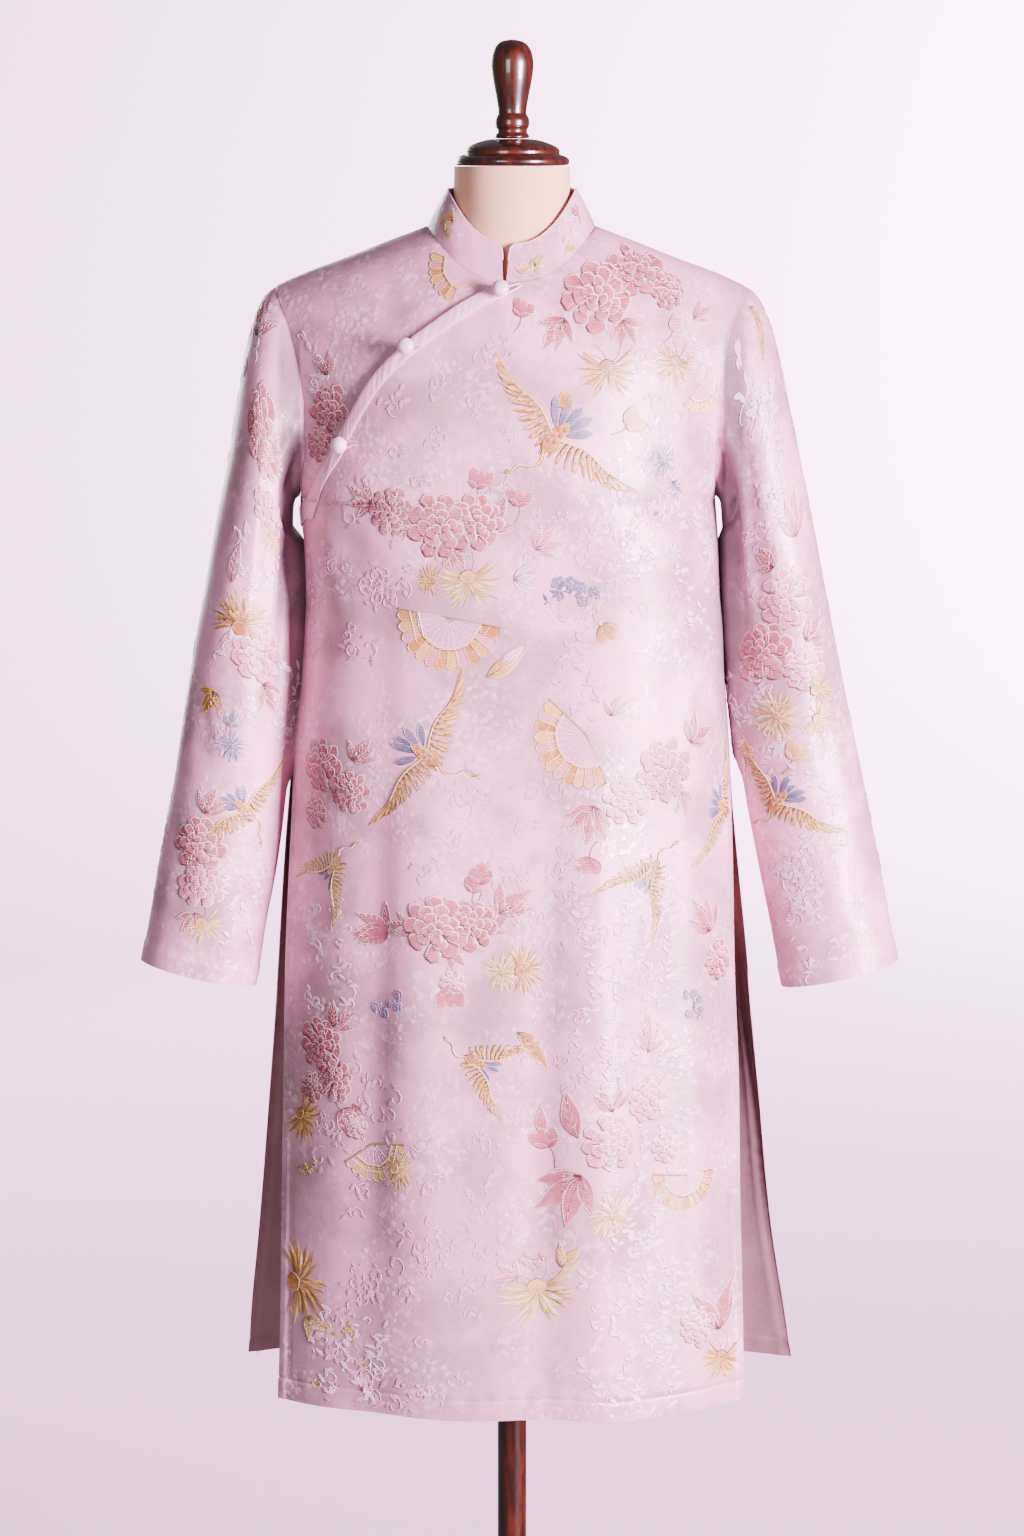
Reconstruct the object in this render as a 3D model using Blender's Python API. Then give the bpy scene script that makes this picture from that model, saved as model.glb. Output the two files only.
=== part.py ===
"""Ao dai tunic on a limbless dress form with a turned stand.

Every length is in millimetres until a mesh is written, when MM turns it into metres. +Z is up, the
tunic's front faces -Y, and +X is the viewer's right. The floor is z = 0, under the middle of the base.

The body of the tunic is two surfaces, front and back. A point on one is given by its share of the
half-width, from -1 at the left side to 1 at the right side, and by its height. The cut pieces are
patches of those surfaces, and each sleeve is a run of rings from the armhole to the cuff.
"""

import math
from collections import namedtuple

import bmesh
import bpy
import numpy as np
from mathutils import Vector

MM = 0.001

# Cloth
CLOTH_THICK = 1.2
COLLAR_THICK = 2.0
BAND_THICK = 1.0
SEAM_GAP = 0.3
ARMHOLE_GAP = 0.4

# Heights
TIP_HEIGHT = 1432.0
ARMPIT_HEIGHT = 1232.0
YOKE_HEIGHT = 1150.0
FRONT_HEM = 368.0
BACK_HEM = 372.0

# Neckline
NECK_SHARE = 0.361
NECK_FRONT_HEIGHT = 1435.0
NECK_SIDE_HEIGHT = 1487.0
NECK_BACK_HEIGHT = 1496.0
NECK_CURVE_POWER = 2.2
NECK_AXIS_Y = -8.0

# Closure of the front
CORNER_SHARE = -0.0275
LAP_LIFT = 3.0
LAP_DEPTH = 58.0
LAP_FADE = 70.0
LAP_RIGHT_FADE = 0.22
LAP_SIDE_FADE = 0.84
LAP_TUCK_SHARES = (0.50, 0.84)
LAP_TUCK_START = 25.0
BAND_WIDTH = 12.0
BAND_MIDDLE = 5.0

# Armhole: how far its edge stands forward and back of the shoulder line
ARMHOLE_FRONT = 52.0
ARMHOLE_BACK = 48.0
ARMHOLE_STEPS = 9
SLIT_HEIGHT = 1010.0

# Mesh density
SIDE_COLUMNS = 8
NECK_COLUMNS = 5
YOKE_ROWS = 10
UNDER_ROWS = 12
UNDER_ROW_POWER = 1.7
TURNED_SIDES = 28

BodyLevel = namedtuple("BodyLevel", "height left right depth edge roundness")

# Half-widths left and right of the middle, depth at the middle, how far the side edge stands off the
# side seam's plane, and how round the section is: 0.45 is an oval, 1 a shallow arch.
FRONT_LEVELS = (
    BodyLevel(1510, 221, 217.5, 96, 0, 1.00),
    BodyLevel(1432, 221, 217.5, 103, 0, 1.00),
    BodyLevel(1390, 207.5, 202, 114, 0, 1.00),
    BodyLevel(1342, 197, 195, 122, 0, 1.00),
    BodyLevel(1315, 194, 192.5, 125, 0, 0.98),
    BodyLevel(1280, 194, 191.5, 127, 0, 0.85),
    BodyLevel(1240, 201, 192.5, 127, 0, 0.62),
    BodyLevel(1222, 201.5, 194, 126, 0, 0.52),
    BodyLevel(1187, 198, 196.5, 123, 0, 0.45),
    BodyLevel(1138, 196.5, 198.5, 119, 0, 0.44),
    BodyLevel(1112, 197.5, 201, 118, 0, 0.44),
    BodyLevel(1060, 201.5, 203.5, 118.5, 0, 0.44),
    BodyLevel(1010, 207.5, 206.5, 120.5, 0, 0.44),
    BodyLevel(941, 210, 209.5, 125, 8, 0.50),
    BodyLevel(872, 213.5, 211.5, 129, 17, 0.58),
    BodyLevel(789, 217, 213, 133, 27, 0.68),
    BodyLevel(670, 219, 217.5, 138, 42, 0.80),
    BodyLevel(563, 221, 219, 142, 53, 0.90),
    BodyLevel(450, 223, 222, 146, 65, 1.00),
    BodyLevel(360, 225, 223, 150, 74, 1.05),
)
BACK_LEVELS = (
    BodyLevel(1510, 221, 217.5, 90, 0, 1.00),
    BodyLevel(1432, 221, 217.5, 96, 0, 1.00),
    BodyLevel(1390, 207.5, 202, 106, 0, 1.00),
    BodyLevel(1342, 197, 195, 113, 0, 1.00),
    BodyLevel(1315, 194, 192.5, 115, 0, 0.98),
    BodyLevel(1280, 194, 191.5, 116, 0, 0.85),
    BodyLevel(1240, 201, 192.5, 113, 0, 0.62),
    BodyLevel(1222, 201.5, 194, 112, 0, 0.52),
    BodyLevel(1187, 198, 196.5, 108, 0, 0.45),
    BodyLevel(1138, 196.5, 198.5, 104, 0, 0.44),
    BodyLevel(1112, 197.5, 201, 103, 0, 0.44),
    BodyLevel(1060, 201.5, 203.5, 106, 0, 0.44),
    BodyLevel(1010, 207.5, 206.5, 110, 0, 0.44),
    BodyLevel(941, 214.5, 211.5, 113, 8, 0.50),
    BodyLevel(872, 220.5, 218.5, 116, 17, 0.58),
    BodyLevel(795, 226, 227, 118, 27, 0.68),
    BodyLevel(724, 231, 234, 120, 36, 0.76),
    BodyLevel(629, 239, 244, 122, 46, 0.86),
    BodyLevel(554, 245.5, 251, 124, 54, 0.92),
    BodyLevel(496, 251, 258, 126, 60, 0.97),
    BodyLevel(425, 258.5, 269.5, 128, 67, 1.02),
    BodyLevel(366, 263, 278.5, 130, 72, 1.05),
)
# The dress form inside them: it touches nothing, and carries the cloth along the shoulders.
FORM_FRONT_LEVELS = (
    BodyLevel(1510, 216.5, 216.5, 92.5, 0, 1.00),
    BodyLevel(1432, 216.5, 216.5, 100.5, 0, 1.00),
    BodyLevel(1390, 197, 197, 111, 0, 1.00),
    BodyLevel(1342, 189, 189, 118.5, 0, 1.00),
    BodyLevel(1280, 185, 185, 121, 0, 0.85),
    BodyLevel(1240, 185, 185, 118, 0, 0.62),
    BodyLevel(1187, 184, 184, 112, 0, 0.45),
    BodyLevel(1112, 177, 177, 99, 0, 0.44),
    BodyLevel(1050, 175, 175, 96, 0, 0.44),
    BodyLevel(990, 178, 178, 99, 0, 0.44),
    BodyLevel(920, 184, 184, 105, 0, 0.44),
    BodyLevel(850, 185, 185, 106, 0, 0.44),
    BodyLevel(815, 181, 181, 103, 0, 0.44),
    BodyLevel(800, 172, 172, 97, 0, 0.44),
)
FORM_BACK_LEVELS = (
    BodyLevel(1510, 216.5, 216.5, 86.5, 0, 1.00),
    BodyLevel(1432, 216.5, 216.5, 93.5, 0, 1.00),
    BodyLevel(1390, 197, 197, 103, 0, 1.00),
    BodyLevel(1342, 189, 189, 109.5, 0, 1.00),
    BodyLevel(1280, 185, 185, 110.5, 0, 0.85),
    BodyLevel(1240, 185, 185, 107, 0, 0.62),
    BodyLevel(1187, 184, 184, 99, 0, 0.45),
    BodyLevel(1112, 177, 177, 87, 0, 0.44),
    BodyLevel(1050, 175, 175, 86, 0, 0.44),
    BodyLevel(990, 178, 178, 92, 0, 0.44),
    BodyLevel(920, 184, 184, 101, 0, 0.44),
    BodyLevel(850, 185, 185, 103, 0, 0.44),
    BodyLevel(815, 181, 181, 100, 0, 0.44),
    BodyLevel(800, 172, 172, 94, 0, 0.44),
)
FORM_DROP = 2.2
FORM_ARM_INSET = 3.0

ShoulderPoint = namedtuple("ShoulderPoint", "share height")
# The shoulder line from the side of the neck out to its tip. The front and back surfaces carry on over
# the neck opening, up to a height at the middle that sets how far they have turned down at the neckline.
SHOULDER = (
    ShoulderPoint(NECK_SHARE, NECK_SIDE_HEIGHT),
    ShoulderPoint(0.53, 1473),
    ShoulderPoint(0.71, 1457.5),
    ShoulderPoint(0.90, 1442),
    ShoulderPoint(1.0, TIP_HEIGHT),
)
OVER_NECK_FRONT = 1502.0
OVER_NECK_BACK = 1510.0

ClosurePoint = namedtuple("ClosurePoint", "across height")
CLOSURE = (
    ClosurePoint(-6, 1435),
    ClosurePoint(-16, 1431.5),
    ClosurePoint(-43, 1418),
    ClosurePoint(-69, 1401),
    ClosurePoint(-94, 1383),
    ClosurePoint(-117, 1362),
    ClosurePoint(-131, 1345),
    ClosurePoint(-145, 1322),
    ClosurePoint(-157, 1299),
    ClosurePoint(-174, 1266),
    ClosurePoint(-188, 1240),
    ClosurePoint(-202, 1222),
)

Fold = namedtuple("Fold", "across_top across_hem start full lift width")
# Long soft ridges (lift above 0) and troughs that open towards the hem.
FRONT_FOLDS = (
    Fold(80, 84, 1120, 480, 5.5, 30),
    Fold(40, 30, 1060, 440, -3.5, 26),
    Fold(128, 138, 1000, 460, -3.5, 26),
    Fold(172, 184, 900, 420, 3.5, 22),
    Fold(-78, -84, 1160, 620, 3.0, 40),
    Fold(-128, -140, 1000, 480, -2.5, 28),
)
BACK_FOLDS = (
    Fold(-140, -160, 960, 420, 6.0, 30),
    Fold(-80, -96, 1000, 430, -5.0, 30),
    Fold(-6, -14, 1060, 460, 6.5, 36),
    Fold(62, 70, 1000, 440, -5.5, 30),
    Fold(120, 144, 960, 430, 6.5, 30),
    Fold(176, 206, 880, 430, -5.0, 24),
)

SleeveRing = namedtuple(
    "SleeveRing", "outer_x outer_z inner_x inner_z front back middle pinch"
)
# The ring's outer and inner ends, how far it reaches forward and back, where its ends lie in depth,
# and how much its body side narrows. The first row is the armhole itself.
LEFT_RINGS = (
    SleeveRing(221.4, 1432, 202.0, 1232, 52, 48, 0, 0.0),
    SleeveRing(230, 1425, 206.2, 1229, 54, 49, -1, 0.06),
    SleeveRing(240, 1409, 207.2, 1225, 57, 50, -2, 0.12),
    SleeveRing(248, 1385, 207.8, 1219, 60, 51, -3, 0.20),
    SleeveRing(255, 1352, 208.0, 1211, 62, 51, -4, 0.28),
    SleeveRing(262.5, 1308, 207.8, 1201, 63, 50, -5, 0.34),
    SleeveRing(271, 1260, 206.5, 1186, 63, 49, -6, 0.38),
    SleeveRing(281, 1210, 204.0, 1163, 62, 47, -7, 0.40),
    SleeveRing(291, 1155, 203.0, 1127, 61, 45, -8, 0.38),
    SleeveRing(301, 1103, 204.5, 1080, 60, 42, -9, 0.32),
    SleeveRing(312, 1035, 209.5, 1012, 60, 38, -11, 0.25),
    SleeveRing(323, 965, 216.5, 943, 60, 34, -13, 0.18),
    SleeveRing(334, 905, 225.0, 882, 61, 29, -16, 0.12),
    SleeveRing(344.5, 848, 236.0, 824, 62, 24, -19, 0.08),
    SleeveRing(350.5, 815, 241.5, 790, 62.5, 21.5, -20.5, 0.06),
    SleeveRing(355.5, 789, 247.0, 764, 63, 19, -22, 0.05),
)
RIGHT_RINGS = (
    SleeveRing(217.9, 1432, 193.4, 1232, 52, 48, 0, 0.0),
    SleeveRing(227, 1426, 197.0, 1229, 54, 49, -1, 0.06),
    SleeveRing(237, 1411, 198.2, 1225, 57, 50, -2, 0.12),
    SleeveRing(246, 1389, 198.8, 1219, 60, 51, -3, 0.20),
    SleeveRing(254.5, 1356, 199.2, 1211, 62, 51, -4, 0.28),
    SleeveRing(264.5, 1311, 199.7, 1201, 63, 50, -5, 0.34),
    SleeveRing(275, 1262, 200.2, 1186, 63, 49, -6, 0.38),
    SleeveRing(286, 1208, 201.2, 1162, 62, 47, -7, 0.40),
    SleeveRing(297.5, 1150, 203.0, 1120, 61, 45, -8, 0.38),
    SleeveRing(308, 1098, 206.0, 1074, 60, 42, -9, 0.32),
    SleeveRing(321, 1032, 213.5, 1007, 60, 38, -11, 0.25),
    SleeveRing(334, 973, 223.0, 948, 60, 34, -13, 0.18),
    SleeveRing(346, 913, 235.0, 888, 61, 29, -16, 0.12),
    SleeveRing(358, 853, 247.0, 829, 62, 24, -19, 0.08),
    SleeveRing(364.5, 818, 253.5, 794, 62.5, 21.5, -20.5, 0.06),
    SleeveRing(370, 789, 260.0, 763, 63, 19, -22, 0.05),
)
ARMHOLE_BLEND = (1.0, 0.75, 0.5, 0.25)

# Collar
COLLAR_HEIGHT = 34.5
COLLAR_FRONT_EXTRA = 2.0
COLLAR_TOP_SIDE = 61.0
COLLAR_TOP_DEPTH = 62.0
COLLAR_BULGE = 0.8
CollarEnd = namedtuple("CollarEnd", "bottom_x top_x")
COLLAR_LEFT_END = CollarEnd(-8.3, -9.6)
COLLAR_RIGHT_END = CollarEnd(-5.4, -1.6)

# Neck of the dress form: each ring's share of the way up to the neck's top, and its radius
NECK_RADIUS = 54.6
NECK_TOP = 1542.4
NECK_FOOT_SCALE = 0.88
NECK_FOOT_RISE = 3.0
NeckRing = namedtuple("NeckRing", "rise radius")
NECK_RINGS = (NeckRing(0.28, 57.5), NeckRing(0.5, 55.4), NeckRing(0.78, 55.0), NeckRing(1.0, NECK_RADIUS))

# Buttons and loops
BUTTON_RADIUS = 7.8
BUTTON_HALF_HEIGHT = 6.6
SHANK_RADIUS = 2.6
SHANK_HEIGHT = 2.4
BUTTON_STEPS = 7
BUTTON_SIDES = 16
BUTTON_LIFT = 0.6
CORD_RADIUS = 0.9
CORD_SPREAD = 1.1
LOOP_STEPS = 7
Button = namedtuple("Button", "across height loop_length loop_angle")
BUTTONS = (
    Button(-10, 1425, 19.0, 22),
    Button(-94, 1375.5, 13.0, 8),
    Button(-153, 1286.5, 12.5, 12),
)

# Turned stand: radius and height of each corner of the outline, from the axis down to the axis
Turn = namedtuple("Turn", "radius height")
FINIAL = (
    Turn(0, 1660), Turn(8, 1659), Turn(14, 1656), Turn(18.6, 1649), Turn(20.6, 1638), Turn(19, 1623.5),
    Turn(15.2, 1605), Turn(13.1, 1592), Turn(14.6, 1589.5), Turn(16.3, 1586), Turn(16.3, 1580),
    Turn(14.1, 1576.5), Turn(14.1, 1573.5), Turn(16.5, 1571), Turn(16.5, 1568.3), Turn(0, 1568.3),
)
NECK_CAP = (
    Turn(0, 1568), Turn(18, 1568), Turn(27, 1566.5), Turn(36, 1563.5), Turn(43, 1560), Turn(45, 1557),
    Turn(44.5, 1553.5), Turn(50, 1552), Turn(53.6, 1549.5), Turn(54.2, 1546.5), Turn(52.6, 1542.7),
    Turn(0, 1542.7),
)
STAND_POLE = (Turn(0, 799.7), Turn(14, 799.7), Turn(14, 26.3), Turn(0, 26.3))
STAND_BASE = (
    Turn(0, 26), Turn(34, 26), Turn(60, 22), Turn(150, 17), Turn(183, 14), Turn(190, 9), Turn(190, 3),
    Turn(187, 0), Turn(0, 0),
)

Finish = namedtuple("Finish", "red green blue roughness metallic")
SATIN = Finish(0.62, 0.41, 0.49, 0.38, 0.0)
SATIN_BAND = Finish(0.66, 0.44, 0.53, 0.36, 0.0)
BUTTON_SATIN = Finish(0.68, 0.50, 0.60, 0.34, 0.0)
LINEN = Finish(0.62, 0.46, 0.36, 0.80, 0.0)
DARK_WOOD = Finish(0.11, 0.022, 0.010, 0.18, 0.0)


def curve(places, values):
    """A smooth function through points, with no overshoot: slopes follow the flatter neighbour."""
    order = np.argsort(places)
    xs = np.asarray(places, float)[order]
    ys = np.asarray(values, float)[order]
    steps = np.diff(ys) / np.diff(xs)
    slopes = np.zeros(len(xs))
    same_way = steps[:-1] * steps[1:] > 0
    inner = np.zeros(len(steps) - 1)
    inner[same_way] = 2 / (1 / steps[:-1][same_way] + 1 / steps[1:][same_way])
    slopes[1:-1] = inner
    slopes[0] = steps[0]
    slopes[-1] = steps[-1]

    def at(place):
        place = np.clip(np.asarray(place, float), xs[0], xs[-1])
        k = np.clip(np.searchsorted(xs, place) - 1, 0, len(xs) - 2)
        span = xs[k + 1] - xs[k]
        t = (place - xs[k]) / span
        start = (1 + 2 * t) * (1 - t) ** 2 * ys[k] + t * (1 - t) ** 2 * span * slopes[k]
        end = t * t * (3 - 2 * t) * ys[k + 1] + t * t * (t - 1) * span * slopes[k + 1]
        return start + end

    return at


def column_of(rows, name, against):
    """A table's named column as a smooth function of another of its columns."""
    return curve([getattr(row, against) for row in rows], [getattr(row, name) for row in rows])


def smoothstep(low, high, value):
    t = np.clip((np.asarray(value, float) - low) / (high - low), 0, 1)
    return t * t * (3 - 2 * t)


SHOULDER_HEIGHT = column_of(SHOULDER, "height", "share")


class BodySide:
    """The front or the back surface of the body."""

    def __init__(self, levels, over_neck, facing, armhole, rolls, folds=(), drop=0.0, gap=SEAM_GAP / 2):
        self.left = column_of(levels, "left", "height")
        self.right = column_of(levels, "right", "height")
        self.depth = column_of(levels, "depth", "height")
        self.flap_edge = column_of(levels, "edge", "height")
        self.roundness = column_of(levels, "roundness", "height")
        self.over_neck = over_neck
        self.facing = facing
        self.armhole = armhole
        self.roll_middle, self.roll_tip = rolls
        self.folds = folds
        self.drop = drop
        self.gap = gap

    def half_width(self, share, height):
        return np.where(share < 0, self.left(height), self.right(height))

    def top(self, share):
        """Height of the shoulder line, where front and back meet, or of the surface over the neck."""
        out = np.clip(np.abs(share) / NECK_SHARE, 0, 1)
        over_neck = NECK_SIDE_HEIGHT + (self.over_neck - NECK_SIDE_HEIGHT) * (1 - out**1.4)
        return np.where(out < 1, over_neck, SHOULDER_HEIGHT(np.abs(share))) - self.drop

    def edge(self, height):
        """How far the side edge stands off the plane of the side seam."""
        middle = (TIP_HEIGHT + ARMPIT_HEIGHT) / 2
        reach = (TIP_HEIGHT - ARMPIT_HEIGHT) / 2
        below = np.clip((middle - height) / reach, 0, 1)
        return np.where(
            height > ARMPIT_HEIGHT, self.armhole * np.sqrt(1 - below**2), self.flap_edge(height)
        )

    def roll(self, share, height):
        """0 on the shoulder line, 1 where the surface has turned fully down."""
        radius = self.roll_middle + (self.roll_tip - self.roll_middle) * np.abs(share) ** 3
        turned = np.clip((self.top(share) - height) / radius, 0, 1)
        return np.sqrt(1 - (1 - turned) ** 2)

    def fold_lift(self, share, across, height):
        lift = np.zeros(share.shape)
        for fold in self.folds:
            opened = smoothstep(fold.start, fold.full, height)
            middle = fold.across_top + (fold.across_hem - fold.across_top) * opened
            lift = lift + fold.lift * opened * np.exp(-(((across - middle) / fold.width) ** 2))
        return lift * (1 - np.abs(share) ** 6)

    def points(self, share, height):
        """Points of the surface, as an array whose last axis is x, y, z."""
        share, height = np.broadcast_arrays(np.asarray(share, float), np.asarray(height, float))
        across = share * self.half_width(share, height)
        edge = self.edge(height)
        arch = np.clip(1 - np.abs(share) ** 2.3, 0, 1) ** self.roundness(height)
        out = edge + (self.depth(height) - edge) * arch
        out = self.roll(share, height) * out + self.fold_lift(share, across, height)
        return np.stack([across, self.facing * (out + self.gap), height], axis=-1)


FRONT = BodySide(FRONT_LEVELS, OVER_NECK_FRONT, -1, ARMHOLE_FRONT, (130, 100), FRONT_FOLDS)
BACK = BodySide(BACK_LEVELS, OVER_NECK_BACK, 1, ARMHOLE_BACK, (75, 100), BACK_FOLDS)
FORM_FRONT = BodySide(
    FORM_FRONT_LEVELS, OVER_NECK_FRONT, -1, ARMHOLE_FRONT - FORM_ARM_INSET, (130, 100),
    drop=FORM_DROP, gap=0.0,
)
FORM_BACK = BodySide(
    FORM_BACK_LEVELS, OVER_NECK_BACK, 1, ARMHOLE_BACK - FORM_ARM_INSET, (75, 100),
    drop=FORM_DROP, gap=0.0,
)


def neck_height(side, share):
    """Height of the neckline at a share of the half-width, up to the neck's side."""
    out = np.clip(np.abs(share) / NECK_SHARE, 0, 1)
    if side.facing > 0:
        height = NECK_BACK_HEIGHT + (NECK_SIDE_HEIGHT - NECK_BACK_HEIGHT) * out**2
    else:
        height = NECK_FRONT_HEIGHT + (NECK_SIDE_HEIGHT - NECK_FRONT_HEIGHT) * out**NECK_CURVE_POWER
    return height - side.drop


def body_top(side, share):
    """Top of a piece that runs up to the neckline and the shoulder line."""
    return float(neck_height(side, share) if abs(share) < NECK_SHARE else side.top(share))


def closure_curve():
    """The closure's height against the share of the half-width, from the side seam to the neck."""
    heights = np.array([point.height for point in CLOSURE], float)
    shares = np.array([point.across for point in CLOSURE], float) / FRONT.left(heights)
    shares[0] = CORNER_SHARE
    shares[-1] = -1
    return curve(shares, heights)


CLOSURE_HEIGHT = closure_curve()


def closure_slant(share):
    """How much longer a width across the closure is when it is measured upright."""
    step = 0.02
    low = max(share - step, -1)
    high = min(share + step, CORNER_SHARE)
    rise = CLOSURE_HEIGHT(high) - CLOSURE_HEIGHT(low)
    return math.hypot(1, rise / ((high - low) * FRONT.left(TIP_HEIGHT)))


def shares_between(start, end, count):
    """Shares that lie closer together near the sides, where the section turns."""
    low, high = (math.asin(share) for share in (start, end))
    return [math.sin(low + (high - low) * k / count) for k in range(count + 1)]


RIGHT_SHARES = shares_between(NECK_SHARE, 1.0, SIDE_COLUMNS)
LEFT_SHARES = [-share for share in reversed(RIGHT_SHARES)]
NECK_LEFT_SHARES = shares_between(-NECK_SHARE, CORNER_SHARE, NECK_COLUMNS)
NECK_RIGHT_SHARES = shares_between(CORNER_SHARE, NECK_SHARE, NECK_COLUMNS)
CLOSURE_SHARES = LEFT_SHARES + NECK_LEFT_SHARES[1:]
FRONT_SHARES = CLOSURE_SHARES + NECK_RIGHT_SHARES[1:] + RIGHT_SHARES[1:]
UNDER_SHARES = CLOSURE_SHARES + [0.02]
EVEN_SHARES = LEFT_SHARES + shares_between(-NECK_SHARE, NECK_SHARE, 2 * NECK_COLUMNS)[1:] + RIGHT_SHARES[1:]

ARMHOLE_DROPS = [
    (TIP_HEIGHT - ARMPIT_HEIGHT) * (1 - math.cos(math.pi * k / ARMHOLE_STEPS)) / 2
    for k in range(ARMHOLE_STEPS + 1)
]
YOKE_DROPS = [0, 4, 12, 26, 46, 72, 104, 145, 200, 240]
SKIRT_HEIGHTS = [1105, 1060, SLIT_HEIGHT, 950, 885, 810, 725, 640, 555, 470, 410]
FORM_HEIGHTS = [1112, 1050, 990, 920, 850, 815, 800]


def yoke_heights(share, top):
    """Row heights from a column's top down to YOKE_HEIGHT; at the sides they follow the armhole."""
    middle = np.array(YOKE_DROPS + [top - YOKE_HEIGHT])
    at_side = np.array(ARMHOLE_DROPS + [top - YOKE_HEIGHT])
    return top - (middle + (at_side - middle) * smoothstep(0.70, 1.0, abs(share)))


def closure_heights(share):
    """Row heights below the closure: the band's middle and lower edge, then even steps."""
    top = float(CLOSURE_HEIGHT(share))
    middle = BAND_MIDDLE * closure_slant(share)
    lower = BAND_WIDTH * closure_slant(share)
    steps = YOKE_ROWS - 2
    rest = [lower + (top - YOKE_HEIGHT - lower) * k / steps for k in range(1, steps + 1)]
    return top - np.array([0.0, middle, lower] + rest)


def under_heights(share):
    """Row heights of the under front, from its top to its edge under the lap."""
    top = body_top(FRONT, share)
    bottom = float(CLOSURE_HEIGHT(min(share, CORNER_SHARE))) - LAP_DEPTH
    middle = np.array([(k / UNDER_ROWS) ** UNDER_ROW_POWER for k in range(UNDER_ROWS + 1)]) * (top - bottom)
    lap = UNDER_ROWS - ARMHOLE_STEPS
    spare = (top - bottom - ARMHOLE_DROPS[-1]) / lap
    at_side = np.array(ARMHOLE_DROPS + [ARMHOLE_DROPS[-1] + spare * k for k in range(1, lap + 1)])
    return top - (middle + (at_side - middle) * smoothstep(0.70, 1.0, abs(share)))


def below_closure(share, height):
    return CLOSURE_HEIGHT(np.clip(share, -1, CORNER_SHARE)) - height


def lap_lift(share, height):
    """How far the front panel stands off the body where it lies over the under front."""
    down = 1 - smoothstep(LAP_DEPTH, LAP_DEPTH + LAP_FADE, below_closure(share, height))
    across = 1 - smoothstep(CORNER_SHARE, LAP_RIGHT_FADE, share)
    return LAP_LIFT * down * across * (1 - smoothstep(LAP_SIDE_FADE, 1, np.abs(share)))


def lap_tuck(share, height):
    """How far the under front goes in under the front panel near the side seam, where both are sewn."""
    down = smoothstep(-LAP_TUCK_START, 0, below_closure(share, height))
    return LAP_LIFT * down * smoothstep(*LAP_TUCK_SHARES, np.abs(share))


def grid_normals(grid, inside, wrap=False):
    """Unit normals of a grid of points, turned away from the points inside it."""
    if wrap:
        along = np.roll(grid, -1, axis=1) - np.roll(grid, 1, axis=1)
    else:
        along = np.gradient(grid, axis=1)
    normals = np.cross(along, np.gradient(grid, axis=0))
    normals /= np.linalg.norm(normals, axis=-1, keepdims=True)
    outward = np.median(np.sum(normals * (grid - inside), axis=-1)) > 0
    return normals if outward else -normals


def body_normals(side, grid, shares):
    """Normals of a body piece, turned at its seams so that each cut edge faces its neighbour."""
    inside = grid * [0, 0, 1]
    normals = grid_normals(grid, inside)
    heights = grid[..., 2]
    at_side = np.broadcast_to(np.abs(shares) > 0.9999, heights.shape)
    on_shoulder = np.zeros(heights.shape, bool)
    on_shoulder[0] = np.abs(heights[0] - side.top(shares)) < 0.01
    normals[at_side & (heights > ARMPIT_HEIGHT + 0.5), 0] = 0
    normals[at_side & (heights < ARMPIT_HEIGHT + 0.5) & (heights > SLIT_HEIGHT - 0.5), 1] = 0
    normals[on_shoulder, 1] = 0
    return normals / np.linalg.norm(normals, axis=-1, keepdims=True)


def clear_scene():
    for obj in list(bpy.data.objects):
        bpy.data.objects.remove(obj, do_unlink=True)


def material(name, finish):
    made = bpy.data.materials.get(name) or bpy.data.materials.new(name)
    made.use_nodes = True
    shader = made.node_tree.nodes["Principled BSDF"]
    shader.inputs["Base Color"].default_value = (finish.red, finish.green, finish.blue, 1)
    shader.inputs["Roughness"].default_value = finish.roughness
    shader.inputs["Metallic"].default_value = finish.metallic
    return made


def add_object(name, bm, finish_name, finish, sharp_angle=40):
    """Turns a bmesh in metres into an object of the scene."""
    bmesh.ops.recalc_face_normals(bm, faces=bm.faces)
    mesh = bpy.data.meshes.new(name)
    bm.to_mesh(mesh)
    bm.free()
    mesh.shade_smooth()
    mesh.set_sharp_from_angle(angle=math.radians(sharp_angle))
    mesh.materials.append(material(finish_name, finish))
    obj = bpy.data.objects.new(name, mesh)
    bpy.context.scene.collection.objects.link(obj)
    return obj


def grid_vertices(bm, grid):
    return [[bm.verts.new(point * MM) for point in row] for row in grid]


def bridge_lines(bm, first, second, closed=False):
    """A strip of faces between two matching lines of vertices."""
    for k in range(len(first) if closed else len(first) - 1):
        m = (k + 1) % len(first)
        bm.faces.new((first[k], first[m], second[m], second[k]))


def skin(bm, verts, wrap=False):
    for upper, lower in zip(verts, verts[1:]):
        bridge_lines(bm, upper, lower, closed=wrap)


def outline(verts):
    """The vertices round the outside of an open grid, in order."""
    right = [row[-1] for row in verts[1:-1]]
    left = [row[0] for row in verts[-2:0:-1]]
    return verts[0] + right + verts[-1][::-1] + left


def cloth(name, outer, inner, finish_name, finish, wrap=False):
    """A wall of cloth between two matching grids, which close on themselves if wrap is set."""
    bm = bmesh.new()
    out = grid_vertices(bm, outer)
    into = grid_vertices(bm, inner)
    skin(bm, out, wrap)
    skin(bm, into, wrap)
    if wrap:
        bridge_lines(bm, out[0], into[0], closed=True)
        bridge_lines(bm, out[-1], into[-1], closed=True)
    else:
        bridge_lines(bm, outline(out), outline(into), closed=True)
    return add_object(name, bm, finish_name, finish)


def grid_of(side, columns):
    """Surface points for columns that each hold a share and as many row heights."""
    return np.stack([side.points(share, heights) for share, heights in columns], axis=1)


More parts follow.
